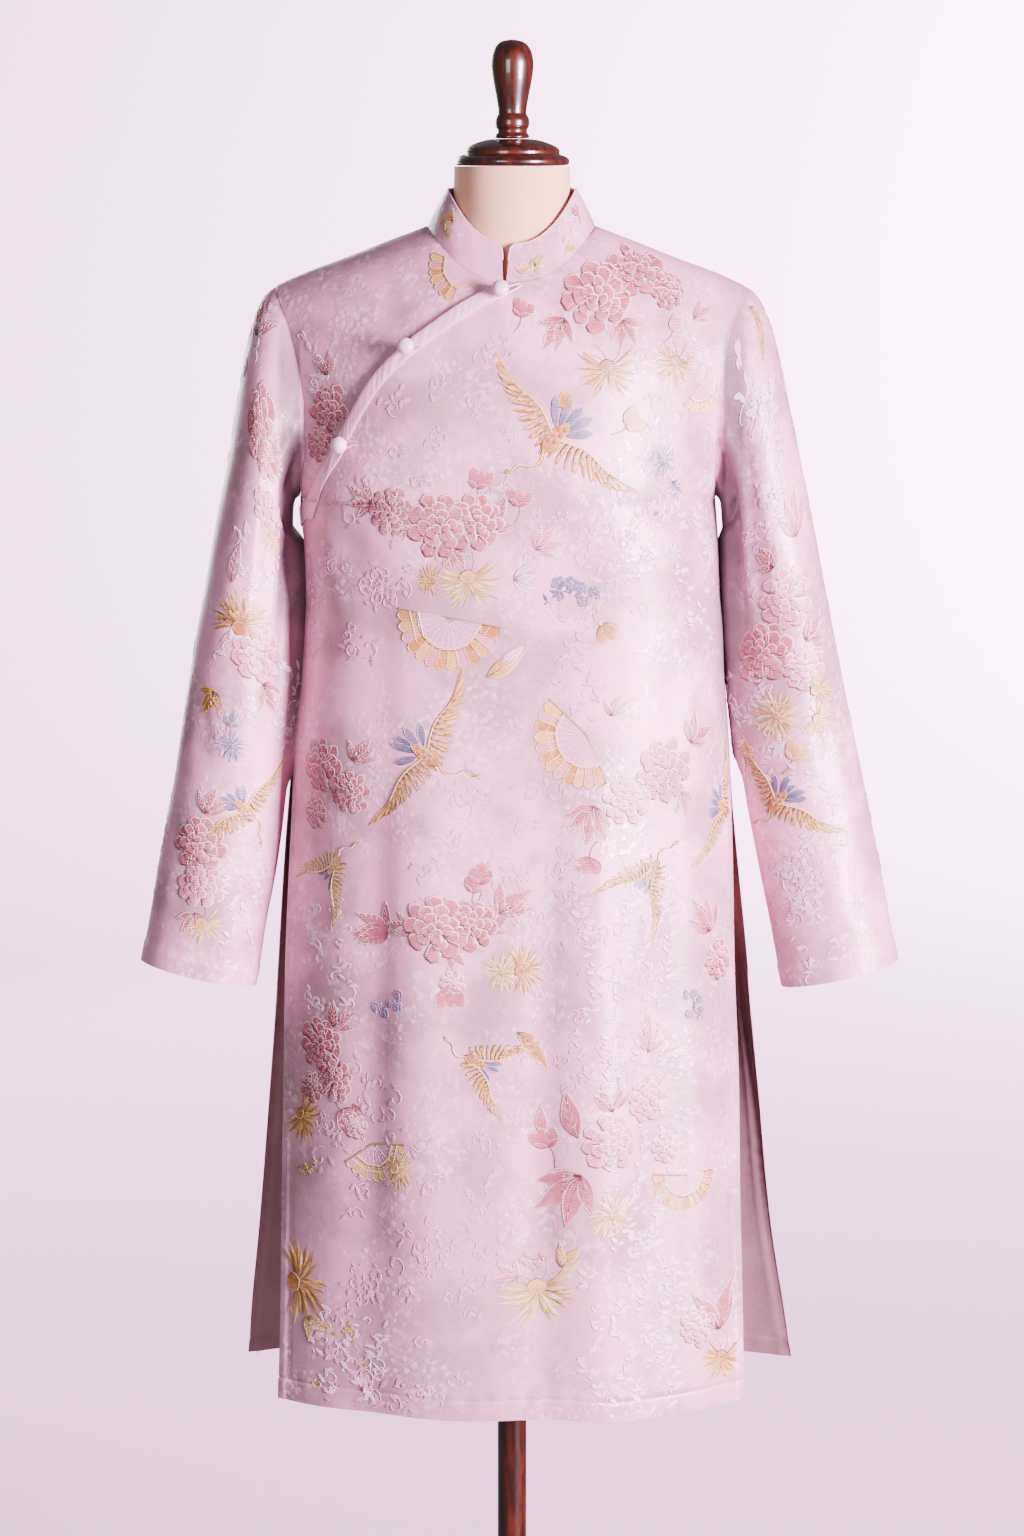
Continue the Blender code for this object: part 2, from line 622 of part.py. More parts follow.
def make_front_panel():
    """The main front and the band along its closure, which is made from the same points."""
    columns = []
    for share in FRONT_SHARES:
        if share < CORNER_SHARE + 1e-6:
            yoke = closure_heights(share)
        else:
            yoke = yoke_heights(share, body_top(FRONT, share))
        columns.append((share, np.concatenate([yoke, SKIRT_HEIGHTS, [FRONT_HEM]])))
    shares = np.array(FRONT_SHARES)
    base = grid_of(FRONT, columns)
    normals = body_normals(FRONT, base, shares)
    lifted = base + normals * lap_lift(shares, base[..., 2])[..., None]
    cloth("front_panel", lifted, lifted - normals * CLOTH_THICK, "satin", SATIN)
    band = lifted[:3, : len(CLOSURE_SHARES)]
    out = normals[:3, : len(CLOSURE_SHARES)]
    band_inner = band + out * SEAM_GAP
    cloth("closure_band", band_inner + out * BAND_THICK, band_inner, "satin_band", SATIN_BAND)


def make_under_front():
    shares = np.array(UNDER_SHARES)
    grid = grid_of(FRONT, [(share, under_heights(share)) for share in UNDER_SHARES])
    normals = body_normals(FRONT, grid, shares)
    grid = grid - normals * lap_tuck(shares, grid[..., 2])[..., None]
    cloth("under_front", grid, grid - normals * CLOTH_THICK, "satin", SATIN)


def make_back_panel():
    columns = []
    for share in EVEN_SHARES:
        yoke = yoke_heights(share, body_top(BACK, share))
        columns.append((share, np.concatenate([yoke, SKIRT_HEIGHTS, [BACK_HEM]])))
    grid = grid_of(BACK, columns)
    normals = body_normals(BACK, grid, np.array(EVEN_SHARES))
    cloth("back_panel", grid, grid - normals * CLOTH_THICK, "satin", SATIN)


def ring_points(ring, armhole, blend):
    """One ring of a sleeve. Angle 0 is its outer end, a quarter turn its front, a half its body side."""
    points = []
    sides = 2 * ARMHOLE_STEPS
    first = armhole[0]
    for k in range(sides):
        angle = 2 * math.pi * k / sides
        up = (1 + math.cos(angle)) / 2
        across = ring.inner_x + (ring.outer_x - ring.inner_x) * up
        height = ring.inner_z + (ring.outer_z - ring.inner_z) * up
        seam_height = ARMPIT_HEIGHT + (TIP_HEIGHT - ARMPIT_HEIGHT) * up
        seam_straight = first.inner_x + (first.outer_x - first.inner_x) * up
        seam_across = float(armhole[1](seam_height)) + ARMHOLE_GAP
        across += blend * (seam_across - seam_straight)
        narrow = 1 - ring.pinch * max(0.0, -math.cos(angle))
        reach = ring.front + ring.middle if math.sin(angle) > 0 else ring.back - ring.middle
        points.append((across, ring.middle - reach * math.sin(angle) * narrow, height))
    return points


def make_sleeve(name, rings, half_width, mirror):
    """A set-in sleeve. Its first ring faces the armhole's edge across the seam's gap."""
    blends = list(ARMHOLE_BLEND) + [0.0] * (len(rings) - len(ARMHOLE_BLEND))
    outer = np.array(
        [ring_points(ring, (rings[0], half_width), blend) for ring, blend in zip(rings, blends)]
    )
    outer[..., 0] *= mirror
    normals = grid_normals(outer, outer.mean(axis=1, keepdims=True), wrap=True)
    normals[0, :, 0] = 0
    normals[0] /= np.linalg.norm(normals[0], axis=-1, keepdims=True)
    cloth(name, outer, outer - normals * CLOTH_THICK, "satin", SATIN, wrap=True)


def neckline():
    """The neckline's corners on both surfaces, by their angle round the neck: 0 is the front."""
    front = NECK_LEFT_SHARES + NECK_RIGHT_SHARES[1:]
    back = shares_between(-NECK_SHARE, NECK_SHARE, 2 * NECK_COLUMNS)
    angles = [math.asin(share / NECK_SHARE) for share in front]
    points = [FRONT.points(share, neck_height(FRONT, share)) for share in front]
    for share in back[-2:0:-1]:
        angles.append(math.pi - math.asin(share / NECK_SHARE))
        points.append(BACK.points(share, neck_height(BACK, share)))
    angles.append(angles[0] + 2 * math.pi)
    points.append(points[0])
    return np.array(angles), np.array(points)


def make_collar():
    """A stand collar from the neckline to a smaller loop round the neck, open at the front."""
    corner_angles, corners = neckline()
    foot = NECK_SHARE * float(FRONT.left(TIP_HEIGHT))
    start, end = (math.asin(end.bottom_x / foot) for end in (COLLAR_RIGHT_END, COLLAR_LEFT_END))
    turned = np.concatenate([corner_angles[:-1], corner_angles + 2 * math.pi])
    between = turned[(turned > start + 0.05) & (turned < end + 2 * math.pi - 0.05)]
    marks = np.concatenate([[start], between, [end + 2 * math.pi]])
    low_angles = np.sort(np.concatenate([marks, (marks[1:] + marks[:-1]) / 2]))
    wrapped = (low_angles - corner_angles[0]) % (2 * math.pi) + corner_angles[0]
    low = np.stack([np.interp(wrapped, corner_angles, corners[:, k]) for k in range(3)], axis=-1)
    top_start, top_end = (
        math.asin(end.top_x / COLLAR_TOP_SIDE) for end in (COLLAR_RIGHT_END, COLLAR_LEFT_END)
    )
    along = (low_angles - low_angles[0]) / (low_angles[-1] - low_angles[0])
    top_angles = top_start + (top_end + 2 * math.pi - top_start) * along
    inward = np.array([0, NECK_AXIS_Y, 0]) - low * [1, 1, 0]
    inward /= np.linalg.norm(inward, axis=-1, keepdims=True)
    rise = COLLAR_HEIGHT + COLLAR_FRONT_EXTRA * np.cos(low_angles)
    top = np.stack(
        [
            COLLAR_TOP_SIDE * np.sin(top_angles),
            NECK_AXIS_Y - COLLAR_TOP_DEPTH * np.cos(top_angles),
            low[:, 2] + rise,
        ],
        axis=-1,
    )
    foot_line = low + inward * SEAM_GAP + [0, 0, SEAM_GAP]
    middle = (foot_line + top) / 2 - inward * COLLAR_BULGE
    outer = np.stack([top, middle, foot_line])
    normals = grid_normals(outer, np.array([0, NECK_AXIS_Y, NECK_SIDE_HEIGHT]))
    cloth("collar", outer, outer - normals * COLLAR_THICK, "satin", SATIN)


def front_frame(across, height):
    """A point of the front at a place across, and its outward normal."""
    def at(x, z):
        return FRONT.points(x / FRONT.left(z), z)

    step = 1.0
    right = at(across + step, height) - at(across - step, height)
    up = at(across, height + step) - at(across, height - step)
    normal = np.cross(right, up)
    return at(across, height), normal / np.linalg.norm(normal)


def band_top(across, height):
    """A point on the closure band's outer face, and its normal."""
    point, normal = front_frame(across, height)
    share = across / float(FRONT.left(height))
    return point + normal * (float(lap_lift(share, height)) + SEAM_GAP + BAND_THICK), normal


def turned_mesh(profile, sides):
    """A bmesh turned from an outline of radii and heights round the Z axis."""
    bm = bmesh.new()
    verts = [bm.verts.new((turn.radius * MM, 0, turn.height * MM)) for turn in profile]
    edges = [bm.edges.new(pair) for pair in zip(verts, verts[1:])]
    bmesh.ops.spin(
        bm, geom=verts + edges, cent=(0, 0, 0), axis=(0, 0, 1), angle=2 * math.pi, steps=sides,
        use_merge=True,
    )
    bmesh.ops.remove_doubles(bm, verts=bm.verts, dist=1e-6)
    return bm


def make_turned(name, profile, finish_name, finish, axis_y=0.0):
    obj = add_object(name, turned_mesh(profile, TURNED_SIDES), finish_name, finish)
    obj.location = (0, axis_y * MM, 0)
    return obj


def make_button(name, button):
    """A covered ball on a short shank that stands on the closure band."""
    cut = math.asin(SHANK_RADIUS / BUTTON_RADIUS)
    centre = SHANK_HEIGHT + BUTTON_HALF_HEIGHT
    angles = [(math.pi - cut) * k / BUTTON_STEPS for k in range(BUTTON_STEPS + 1)]
    ball = [Turn(BUTTON_RADIUS * math.sin(a), centre + BUTTON_HALF_HEIGHT * math.cos(a)) for a in angles]
    obj = add_object(
        name, turned_mesh(ball + [Turn(SHANK_RADIUS, 0), Turn(0, 0)], BUTTON_SIDES), "button_satin",
        BUTTON_SATIN,
    )
    seat, normal = band_top(button.across, button.height)
    obj.location = Vector((seat + normal * BUTTON_LIFT) * MM)
    obj.rotation_mode = "QUATERNION"
    obj.rotation_quaternion = Vector((0, 0, 1)).rotation_difference(Vector(normal))


def loop_route(button):
    """The cord's route round the shank, as distances along the loop and across it."""
    round_shank = SHANK_RADIUS + CORD_RADIUS + SEAM_GAP
    straight = [button.loop_length * (1 - k / LOOP_STEPS) for k in range(LOOP_STEPS)]
    leg = [(d, CORD_SPREAD + (round_shank - CORD_SPREAD) * (1 - d / button.loop_length)) for d in straight]
    turn = [math.pi * (0.5 + k / LOOP_STEPS) for k in range(LOOP_STEPS + 1)]
    bend = [(round_shank * math.cos(a), round_shank * math.sin(a)) for a in turn]
    return leg + bend + [(d, -side) for d, side in reversed(leg)]


def make_loop(name, button):
    angle = math.radians(button.loop_angle)
    route = loop_route(button)
    data = bpy.data.curves.new(name, "CURVE")
    data.dimensions = "3D"
    data.bevel_depth = CORD_RADIUS * MM
    data.bevel_resolution = 1
    data.use_fill_caps = True
    spline = data.splines.new("POLY")
    spline.points.add(len(route) - 1)
    for point, (along, side) in zip(spline.points, route):
        across = button.across + along * math.cos(angle) - side * math.sin(angle)
        height = button.height + along * math.sin(angle) + side * math.cos(angle)
        seat, normal = band_top(across, height)
        place = (seat + normal * (CORD_RADIUS + SEAM_GAP)) * MM
        point.co = (*place, 1)
    data.materials.append(material("button_satin", BUTTON_SATIN))
    obj = bpy.data.objects.new(name, data)
    bpy.context.scene.collection.objects.link(obj)


def form_columns(side):
    columns = []
    for share in EVEN_SHARES:
        yoke = yoke_heights(share, body_top(side, share))
        columns.append((share, np.concatenate([yoke, FORM_HEIGHTS])))
    return columns


def neck_ring_points(foot, rise, radius):
    """A round ring of the neck above each point of its foot."""
    out = foot[:, :2] - [0, NECK_AXIS_Y]
    out /= np.linalg.norm(out, axis=-1, keepdims=True)
    heights = foot[:, 2] + rise * (NECK_TOP - foot[:, 2])
    return np.column_stack([out * radius + [0, NECK_AXIS_Y], heights])


def make_form_torso():
    """The dress form's torso and neck, closed at its shoulder ends and below."""
    bm = bmesh.new()
    front_grid = grid_of(FORM_FRONT, form_columns(FORM_FRONT))
    back_grid = grid_of(FORM_BACK, form_columns(FORM_BACK))
    front = grid_vertices(bm, front_grid)
    back = grid_vertices(bm, back_grid)
    skin(bm, front)
    skin(bm, back)
    for k in (0, -1):
        bridge_lines(bm, [row[k] for row in front], [row[k] for row in back])
    bm.faces.new(front[-1] + back[-1][-2:0:-1])

    on_neck = [k for k, share in enumerate(EVEN_SHARES) if abs(share) < NECK_SHARE + 1e-6]
    foot_verts = [front[0][k] for k in on_neck] + [back[0][k] for k in on_neck[-2:0:-1]]
    foot = np.array([np.array(vert.co) / MM for vert in foot_verts])
    base = (foot - [0, NECK_AXIS_Y, 0]) * [NECK_FOOT_SCALE, NECK_FOOT_SCALE, 1]
    rings = [base + [0, NECK_AXIS_Y, NECK_FOOT_RISE]]
    rings += [neck_ring_points(foot, ring.rise, ring.radius) for ring in NECK_RINGS]
    verts = [foot_verts] + grid_vertices(bm, rings)
    skin(bm, verts, wrap=True)
    bm.faces.new(verts[-1])
    bmesh.ops.remove_doubles(bm, verts=bm.verts, dist=1e-6)
    return add_object("form_torso", bm, "linen", LINEN)


def main():
    clear_scene()
    make_front_panel()
    make_under_front()
    make_back_panel()
    make_sleeve("left_sleeve", LEFT_RINGS, FRONT.left, -1)
    make_sleeve("right_sleeve", RIGHT_RINGS, FRONT.right, 1)
    make_collar()
    for number, button in enumerate(BUTTONS, start=1):
        make_button(f"button_{number}", button)
        make_loop(f"loop_{number}", button)
    make_form_torso()
    make_turned("neck_cap", NECK_CAP, "dark_wood", DARK_WOOD, NECK_AXIS_Y)
    make_turned("finial", FINIAL, "dark_wood", DARK_WOOD, NECK_AXIS_Y)
    make_turned("stand_pole", STAND_POLE, "dark_wood", DARK_WOOD)
    make_turned("stand_base", STAND_BASE, "dark_wood", DARK_WOOD)


main()
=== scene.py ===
"""Cloth, brocade, sewing, wood and studio for the ao dai tunic on its dress form.

Lengths are millimetres until a mesh is written, when MM turns them into metres. +Z is up, the
tunic's front faces -Y and +X is the viewer's right. The body of the tunic is two surfaces, front
and back. A point on one is given by its share of the half-width, from -1 at the left side to 1 at
the right side, and by its height. Each sleeve is a run of rings from the armhole to the cuff.
"""

import logging
import math
import random
from collections.abc import Callable, Mapping, Sequence
from dataclasses import dataclass, field
from enum import Enum
from typing import ClassVar

import bpy
import numpy as np
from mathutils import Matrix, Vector


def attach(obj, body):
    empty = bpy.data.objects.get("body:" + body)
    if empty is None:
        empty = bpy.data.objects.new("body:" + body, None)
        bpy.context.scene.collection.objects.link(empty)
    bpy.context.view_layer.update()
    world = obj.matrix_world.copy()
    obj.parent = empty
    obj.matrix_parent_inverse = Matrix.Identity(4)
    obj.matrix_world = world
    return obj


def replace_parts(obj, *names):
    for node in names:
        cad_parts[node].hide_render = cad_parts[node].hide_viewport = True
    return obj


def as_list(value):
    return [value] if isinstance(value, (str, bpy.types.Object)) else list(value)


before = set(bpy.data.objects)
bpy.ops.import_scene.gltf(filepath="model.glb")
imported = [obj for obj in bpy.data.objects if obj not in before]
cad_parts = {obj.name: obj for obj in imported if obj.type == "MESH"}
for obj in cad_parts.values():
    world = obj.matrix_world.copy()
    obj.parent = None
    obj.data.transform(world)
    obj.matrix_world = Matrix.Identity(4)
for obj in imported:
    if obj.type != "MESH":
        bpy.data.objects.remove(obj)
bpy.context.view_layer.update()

LOG = logging.getLogger("ao_dai")
MM = 0.001

Point2 = tuple[float, float]
Colour = tuple[float, float, float]
Points = np.ndarray
Curve = Callable[[float | np.ndarray], np.ndarray]

# Cloth
CLOTH_THICK = 1.2
COLLAR_THICK = 2.0
BAND_THICK = 1.0
SEAM_GAP = 0.3
ARMHOLE_GAP = 0.4

# Heights
TIP_HEIGHT = 1432.0
ARMPIT_HEIGHT = 1232.0
YOKE_HEIGHT = 1150.0
SLIT_HEIGHT = 1010.0
FRONT_HEM = 369.0
BACK_HEM = 373.0

# Neckline
NECK_SHARE = 0.361
NECK_FRONT_HEIGHT = 1435.0
NECK_SIDE_HEIGHT = 1487.0
NECK_BACK_HEIGHT = 1496.0
NECK_CURVE_POWER = 2.2
NECK_AXIS_Y = -8.0

# Closure of the front
CORNER_SHARE = -0.0275
LAP_LIFT = 3.0
LAP_DEPTH = 58.0
LAP_FADE = 70.0
LAP_RIGHT_FADE = 0.22
LAP_SIDE_FADE = 0.84
LAP_TUCK_SHARES = (0.50, 0.84)
LAP_TUCK_START = 25.0
BAND_WIDTH = 12.0

# Armhole: how far its edge stands forward and back of the shoulder line
ARMHOLE_FRONT = 52.0
ARMHOLE_BACK = 48.0


def srgb(*parts: int) -> Colour:
    """A colour in linear light from its screen values of 0 to 255."""
    return tuple(v / 12.92 if v <= 0.04045 else ((v + 0.055) / 1.055) ** 2.4 for v in (part / 255 for part in parts))


def curve(places: Sequence[float], values: Sequence[float]) -> Curve:
    """A smooth function through points that never overshoots them.

    Args:
        places: where the values hold, in any order.
        values: one value for each place.

    Returns:
        A function of a number or an array, held level past the first and the last place.
    """
    order = np.argsort(places)
    xs, ys = np.asarray(places, float)[order], np.asarray(values, float)[order]
    steps = np.diff(ys) / np.diff(xs)
    slopes = np.zeros(len(xs))
    same_way = steps[:-1] * steps[1:] > 0
    inner = np.zeros(len(steps) - 1)
    inner[same_way] = 2 / (1 / steps[:-1][same_way] + 1 / steps[1:][same_way])
    slopes[1:-1] = inner
    slopes[0], slopes[-1] = steps[0], steps[-1]

    def at(place: float | np.ndarray) -> np.ndarray:
        """The value at one place or at an array of them."""
        place = np.clip(np.asarray(place, float), xs[0], xs[-1])
        k = np.clip(np.searchsorted(xs, place) - 1, 0, len(xs) - 2)
        span = xs[k + 1] - xs[k]
        t = (place - xs[k]) / span
        start = (1 + 2 * t) * (1 - t) ** 2 * ys[k] + t * (1 - t) ** 2 * span * slopes[k]
        end = t * t * (3 - 2 * t) * ys[k + 1] + t * t * (t - 1) * span * slopes[k + 1]
        return start + end

    return at


def smoothstep(low: float, high: float, value: float | np.ndarray) -> np.ndarray:
    """0 below low, 1 above high, and an even S between them."""
    t = np.clip((np.asarray(value, float) - low) / (high - low), 0, 1)
    return t * t * (3 - 2 * t)


def unit(vectors: np.ndarray) -> np.ndarray:
    """The vectors along the last axis at length 1."""
    return vectors / np.maximum(np.linalg.norm(vectors, axis=-1, keepdims=True), 1e-9)


class Wire:
    """One output of a node. Arithmetic on it adds Math nodes to its graph."""

    def __init__(self, graph: "Graph", socket: bpy.types.NodeSocket | None) -> None:
        """Keeps the socket and the graph that it belongs to."""
        self.graph = graph
        self.socket = socket

    def _math(self, operation: str, first: "Wire | float", second: "Wire | float") -> "Wire":
        """One Math node on two values."""
        return self.graph.node("ShaderNodeMath", {"operation": operation}, {0: first, 1: second})

    def __add__(self, other: "Wire | float") -> "Wire":
        """self + other."""
        return self._math("ADD", self, other)

    def __radd__(self, other: float) -> "Wire":
        """other + self."""
        return self._math("ADD", other, self)

    def __sub__(self, other: "Wire | float") -> "Wire":
        """self - other."""
        return self._math("SUBTRACT", self, other)

    def __rsub__(self, other: float) -> "Wire":
        """other - self."""
        return self._math("SUBTRACT", other, self)

    def __mul__(self, other: "Wire | float") -> "Wire":
        """self * other."""
        return self._math("MULTIPLY", self, other)

    def __pow__(self, other: float) -> "Wire":
        """self ** other."""
        return self._math("POWER", self, other)

    def between(self, low: float, high: float) -> "Wire":
        """0 where the value is below low, 1 above high, with a soft step between."""
        return self.graph.node(
            "ShaderNodeMapRange",
            {"interpolation_type": "SMOOTHSTEP"},
            {"Value": self, "From Min": low, "From Max": high},
        )


class Graph:
    """The node graph of one material."""

    def __init__(self, name: str) -> None:
        """Makes the material with an empty graph."""
        self.material = bpy.data.materials.new(name)
        self.material.use_nodes = True
        self.tree = self.material.node_tree
        self.tree.nodes.clear()

    def node(
        self,
        kind: str,
        settings: Mapping[str, object] | None = None,
        sockets: Mapping[int | str, object] | None = None,
        output: int | str | None = 0,
    ) -> Wire:
        """Adds one node.

        Args:
            kind: the node's type.
            settings: its own settings, set first.
            sockets: values or wires for its inputs, by name or number.
            output: which output comes back, or None where the node has none.

        Returns:
            The output as a wire.
        """
        made = self.tree.nodes.new(kind)
        for name, value in (settings or {}).items():
            setattr(made, name, value)
        for name, value in (sockets or {}).items():
            if isinstance(value, Wire):
                self.tree.links.new(value.socket, made.inputs[name])
            else:
                made.inputs[name].default_value = value
        return Wire(self, None if output is None else made.outputs[output])

    def place(self) -> Wire:
        """Object coordinates, which are metres in the row's frame."""
        return self.node("ShaderNodeTexCoord", output="Object")

    def noise(self, scale: float, detail: float = 3.0, roughness: float = 0.55, at: Wire | None = None) -> Wire:
        """Cloudy noise with so many features to a metre."""
        sockets = {"Scale": scale, "Detail": detail, "Roughness": roughness, "Vector": at or self.place()}
        return self.node("ShaderNodeTexNoise", {}, sockets)

    def parts(self, vector: Wire) -> tuple[Wire, ...]:
        """The three parts of a vector."""
        node = self.node("ShaderNodeSeparateXYZ", {}, {0: vector}).socket.node
        return tuple(Wire(self, socket) for socket in node.outputs)

    def mix(self, factor: Wire | float, first: Wire | Colour, second: Wire | Colour, blend: str = "MIX") -> Wire:
        """A mix of two colours."""
        sides = [side if isinstance(side, Wire) else (*side, 1) for side in (first, second)]
        return self.node(
            "ShaderNodeMix",
            {"data_type": "RGBA", "blend_type": blend},
            {"Factor": factor, 6: sides[0], 7: sides[1]},
            output=2,
        )

    def bump(self, height: Wire, depth: float, strength: float = 1.0) -> Wire:
        """A bump from a height of 0 to 1, so many millimetres deep."""
        return self.node("ShaderNodeBump", {}, {"Height": height, "Distance": depth * MM, "Strength": strength})

    def finish(self, **sockets: object) -> bpy.types.Material:
        """Ends the graph in a Principled shader.

        Args:
            sockets: the shader's inputs, with _ for each space in a name.

        Returns:
            The material.
        """
        named = {name.replace("_", " "): value for name, value in sockets.items()}
        shader = self.node("ShaderNodeBsdfPrincipled", {}, named)
        self.node("ShaderNodeOutputMaterial", {}, {"Surface": shader}, output=None)
        return self.material


@dataclass(frozen=True)
class Satin:
    """Silk satin with a cloudy bloom, a damask woven in its own colour, and painted shade in nooks and lower down."""

    name: str
    deep: Colour
    pale: Colour
    bloom: Colour
    roughness: float = 0.46
    damask: float = 1.0

    def build(self) -> bpy.types.Material:
        """Makes the material."""
        graph = Graph(self.name)
        place = graph.place()
        drift = graph.noise(26, 2, at=place)
        bent = graph.node(
            "ShaderNodeVectorMath",
            {"operation": "MULTIPLY_ADD"},
            {0: drift, 1: (0.012, 0.012, 0.012), 2: place},
        )
        cloud = graph.noise(11, 5, 0.62, at=place).between(0.38, 0.62)
        patchy = graph.noise(17, 3, 0.6, at=bent).between(0.44, 0.60)
        cells = graph.node(
            "ShaderNodeTexVoronoi",
            {"feature": "DISTANCE_TO_EDGE"},
            {"Vector": bent, "Scale": 95.0, "Randomness": 0.9},
        )
        leaves = graph.node("ShaderNodeTexVoronoi", {"feature": "SMOOTH_F1"}, {"Vector": bent, "Scale": 150.0})
        vines = (1 - cells.between(0.03, 0.10)) * patchy * self.damask
        leafy = (1 - leaves.between(0.22, 0.42)) * patchy * self.damask
        figure = vines * 0.25 + leafy * 0.7
        grain = graph.noise(420, 2, 0.5, at=place)
        crumple = graph.noise(62, 4, 0.6, at=place)
        x, y, z = graph.parts(place)
        # Painted shade: the ground leans to its deep colour lower down, as the key light falls off towards the hem
        ground = graph.mix((cloud * 0.72 + grain * 0.24) * (0.60 + z.between(0.35, 1.05) * 0.40), self.deep, self.pale)
        # Painted shade where sleeve and side lie close together, and on each sleeve's inner plane next to the body
        side = (x * x) ** 0.5
        beside = side.between(0.182, 0.203) * (1 - side.between(0.207, 0.230))
        level = z.between(0.94, 1.10) * (1 - z.between(1.205, 1.265))
        inner = y.between(-0.064, -0.032) * (1 - y.between(0.032, 0.064))
        colour = graph.mix(figure * 0.46, ground, self.bloom)
        plane = side.between(0.196, 0.200) * (1 - side.between(0.214, 0.223))
        shaded = plane * z.between(1.10, 1.22) * (1 - z.between(1.35, 1.42)) * (1 - y.between(0.04, 0.06))
        colour = graph.mix(beside * level * inner * 0.62, colour, NOOK_PAINTED_SHADE)
        colour = graph.mix(shaded * 0.80, colour, NOOK_PAINTED_SHADE)
        height = figure * 0.5 + crumple * 0.8 + grain * 0.12
        return graph.finish(
            Base_Color=colour,
            Roughness=self.roughness - figure * 0.16 + cloud * 0.08,
            Normal=graph.bump(height, 0.9, 0.55),
            Metallic=0.05,
            Sheen_Weight=0.15,
            Sheen_Roughness=0.4,
            Sheen_Tint=(1.0, 0.70, 0.85, 1.0),
            Specular_IOR_Level=0.5,
        )


@dataclass(frozen=True)
class Thread:
    """Silk thread whose colour is stored on the mesh, point by point, with painted shade in its weft's troughs."""

    name: str
    roughness: float

    def build(self) -> bpy.types.Material:
        """Makes the material."""
        graph = Graph(self.name)
        dyed = graph.node("ShaderNodeAttribute", {"attribute_name": THREAD_COLOUR}, output="Color")
        worn = graph.noise(120, 3, 0.6)
        floats = graph.noise(900, 1, 0.4)
        weft_and_shade = graph.node(
            "ShaderNodeTexWave",
            {"bands_direction": "Z"},
            {"Vector": graph.place(), "Scale": 135.0, "Distortion": 3.0, "Detail": 1.0},
        )
        faded = graph.mix(worn.between(0.42, 0.66) * 0.14, dyed, (0.86, 0.40, 0.62))
        # Painted shade: the dyed colour is darkened in the troughs of the weft
        colour = graph.mix(weft_and_shade * 0.30, faded, (0.20, 0.07, 0.09), "MULTIPLY")
        return graph.finish(
            Base_Color=colour,
            Roughness=self.roughness + floats * 0.12,
            Normal=graph.bump(floats * 0.4 + worn * 0.3 - weft_and_shade * 0.4, 0.35, 0.6),
            Sheen_Weight=0.1,
            Sheen_Roughness=0.35,
            Specular_IOR_Level=0.6,
        )


@dataclass(frozen=True)
class Linen:
    """Matt stockinet drawn over the dress form."""

    name: str
    light: Colour
    dark: Colour

    def build(self) -> bpy.types.Material:
        """Makes the material."""
        graph = Graph(self.name)
        shade = graph.noise(7, 4, 0.6)
        weave = graph.noise(1100, 2, 0.5)
        colour = graph.mix(shade.between(0.3, 0.7) * 0.6 + weave * 0.35, self.dark, self.light)
        return graph.finish(
            Base_Color=colour,
            Roughness=0.78 + weave * 0.1,
            Normal=graph.bump(weave, 0.25, 0.6),
            Sheen_Weight=0.12,
            Sheen_Roughness=0.6,
            Specular_IOR_Level=0.3,
        )


@dataclass(frozen=True)
class VarnishedWood:
    """Dark turned wood under a gloss varnish; its grain runs along Z."""

    name: str
    heart: Colour
    sap: Colour

    def build(self) -> bpy.types.Material:
        """Makes the material."""
        graph = Graph(self.name)
        drawn = graph.node("ShaderNodeVectorMath", {"operation": "MULTIPLY"}, {0: graph.place(), 1: (1.0, 1.0, 0.12)})
        rings = graph.noise(160, 4, 0.6, at=drawn)
        pores = graph.noise(900, 2, 0.6, at=drawn)
        colour = graph.mix(rings.between(0.38, 0.68), self.heart, self.sap)
        return graph.finish(
            Base_Color=colour,
            Roughness=0.24 + pores * 0.12,
            Normal=graph.bump(rings * 0.5 + pores * 0.5, 0.25, 0.35),
            Coat_Weight=0.9,
            Coat_Roughness=0.07,
            Specular_IOR_Level=0.5,
        )


@dataclass(frozen=True)
class StudioPaper:
    """The pale paper of the floor and the wall, lit evenly through its back."""

    name: str
    tint: Colour
    glow: Colour

    def build(self) -> bpy.types.Material:
        """Makes the material."""
        graph = Graph(self.name)
        grain = graph.noise(40, 2, 0.5)
        colour = graph.mix(grain * 0.06, self.tint, (0.36, 0.19, 0.32))
        return graph.finish(
            Base_Color=colour, Roughness=0.9, Specular_IOR_Level=0.0,
            Emission_Color=(*self.glow, 1.0), Emission_Strength=1.0,
        )


THREAD_COLOUR = "thread"

# Painted shade: the colour painted on the cloth in the nooks between sleeve and side, where shadow falls
NOOK_PAINTED_SHADE = (0.125, 0.085, 0.10)
SATIN = Satin("satin_brocade", srgb(160, 118, 134), srgb(234, 156, 194), srgb(255, 210, 236), 0.36)
# Wrong side: duller with little damask, as real satin's back is; its darker tone is painted shade for the insides
SATIN_WRONG_SIDE_AND_SHADE = Satin("satin_wrong_side_and_shade", srgb(146, 102, 114), srgb(172, 126, 140), srgb(188, 144, 158), 0.55, 0.2)
BAND_SATIN = Satin("satin_band", srgb(214, 148, 180), srgb(242, 182, 212), srgb(252, 214, 232), 0.30, 0.4)
BUTTON_SATIN = Satin("satin_button", srgb(212, 168, 196), srgb(240, 202, 224), srgb(246, 226, 238), 0.33, 0.15)
BROCADE = Thread("brocade_thread", 0.36)
SEWING = Thread("sewing_thread", 0.55)
FORM_LINEN = Linen("form_linen", srgb(232, 176, 150), srgb(206, 150, 124))
DARK_WOOD = VarnishedWood("dark_wood", srgb(30, 6, 3), srgb(70, 18, 8))
PAPER = StudioPaper("studio_paper", (0.40, 0.215, 0.355), (1.30, 0.70, 1.18))


@dataclass(frozen=True)
class Fold:
    """A long soft ridge (lift above 0) or trough that opens towards the hem."""

    across_top: float
    across_hem: float
    start: float
    full: float
    lift: float
    width: float


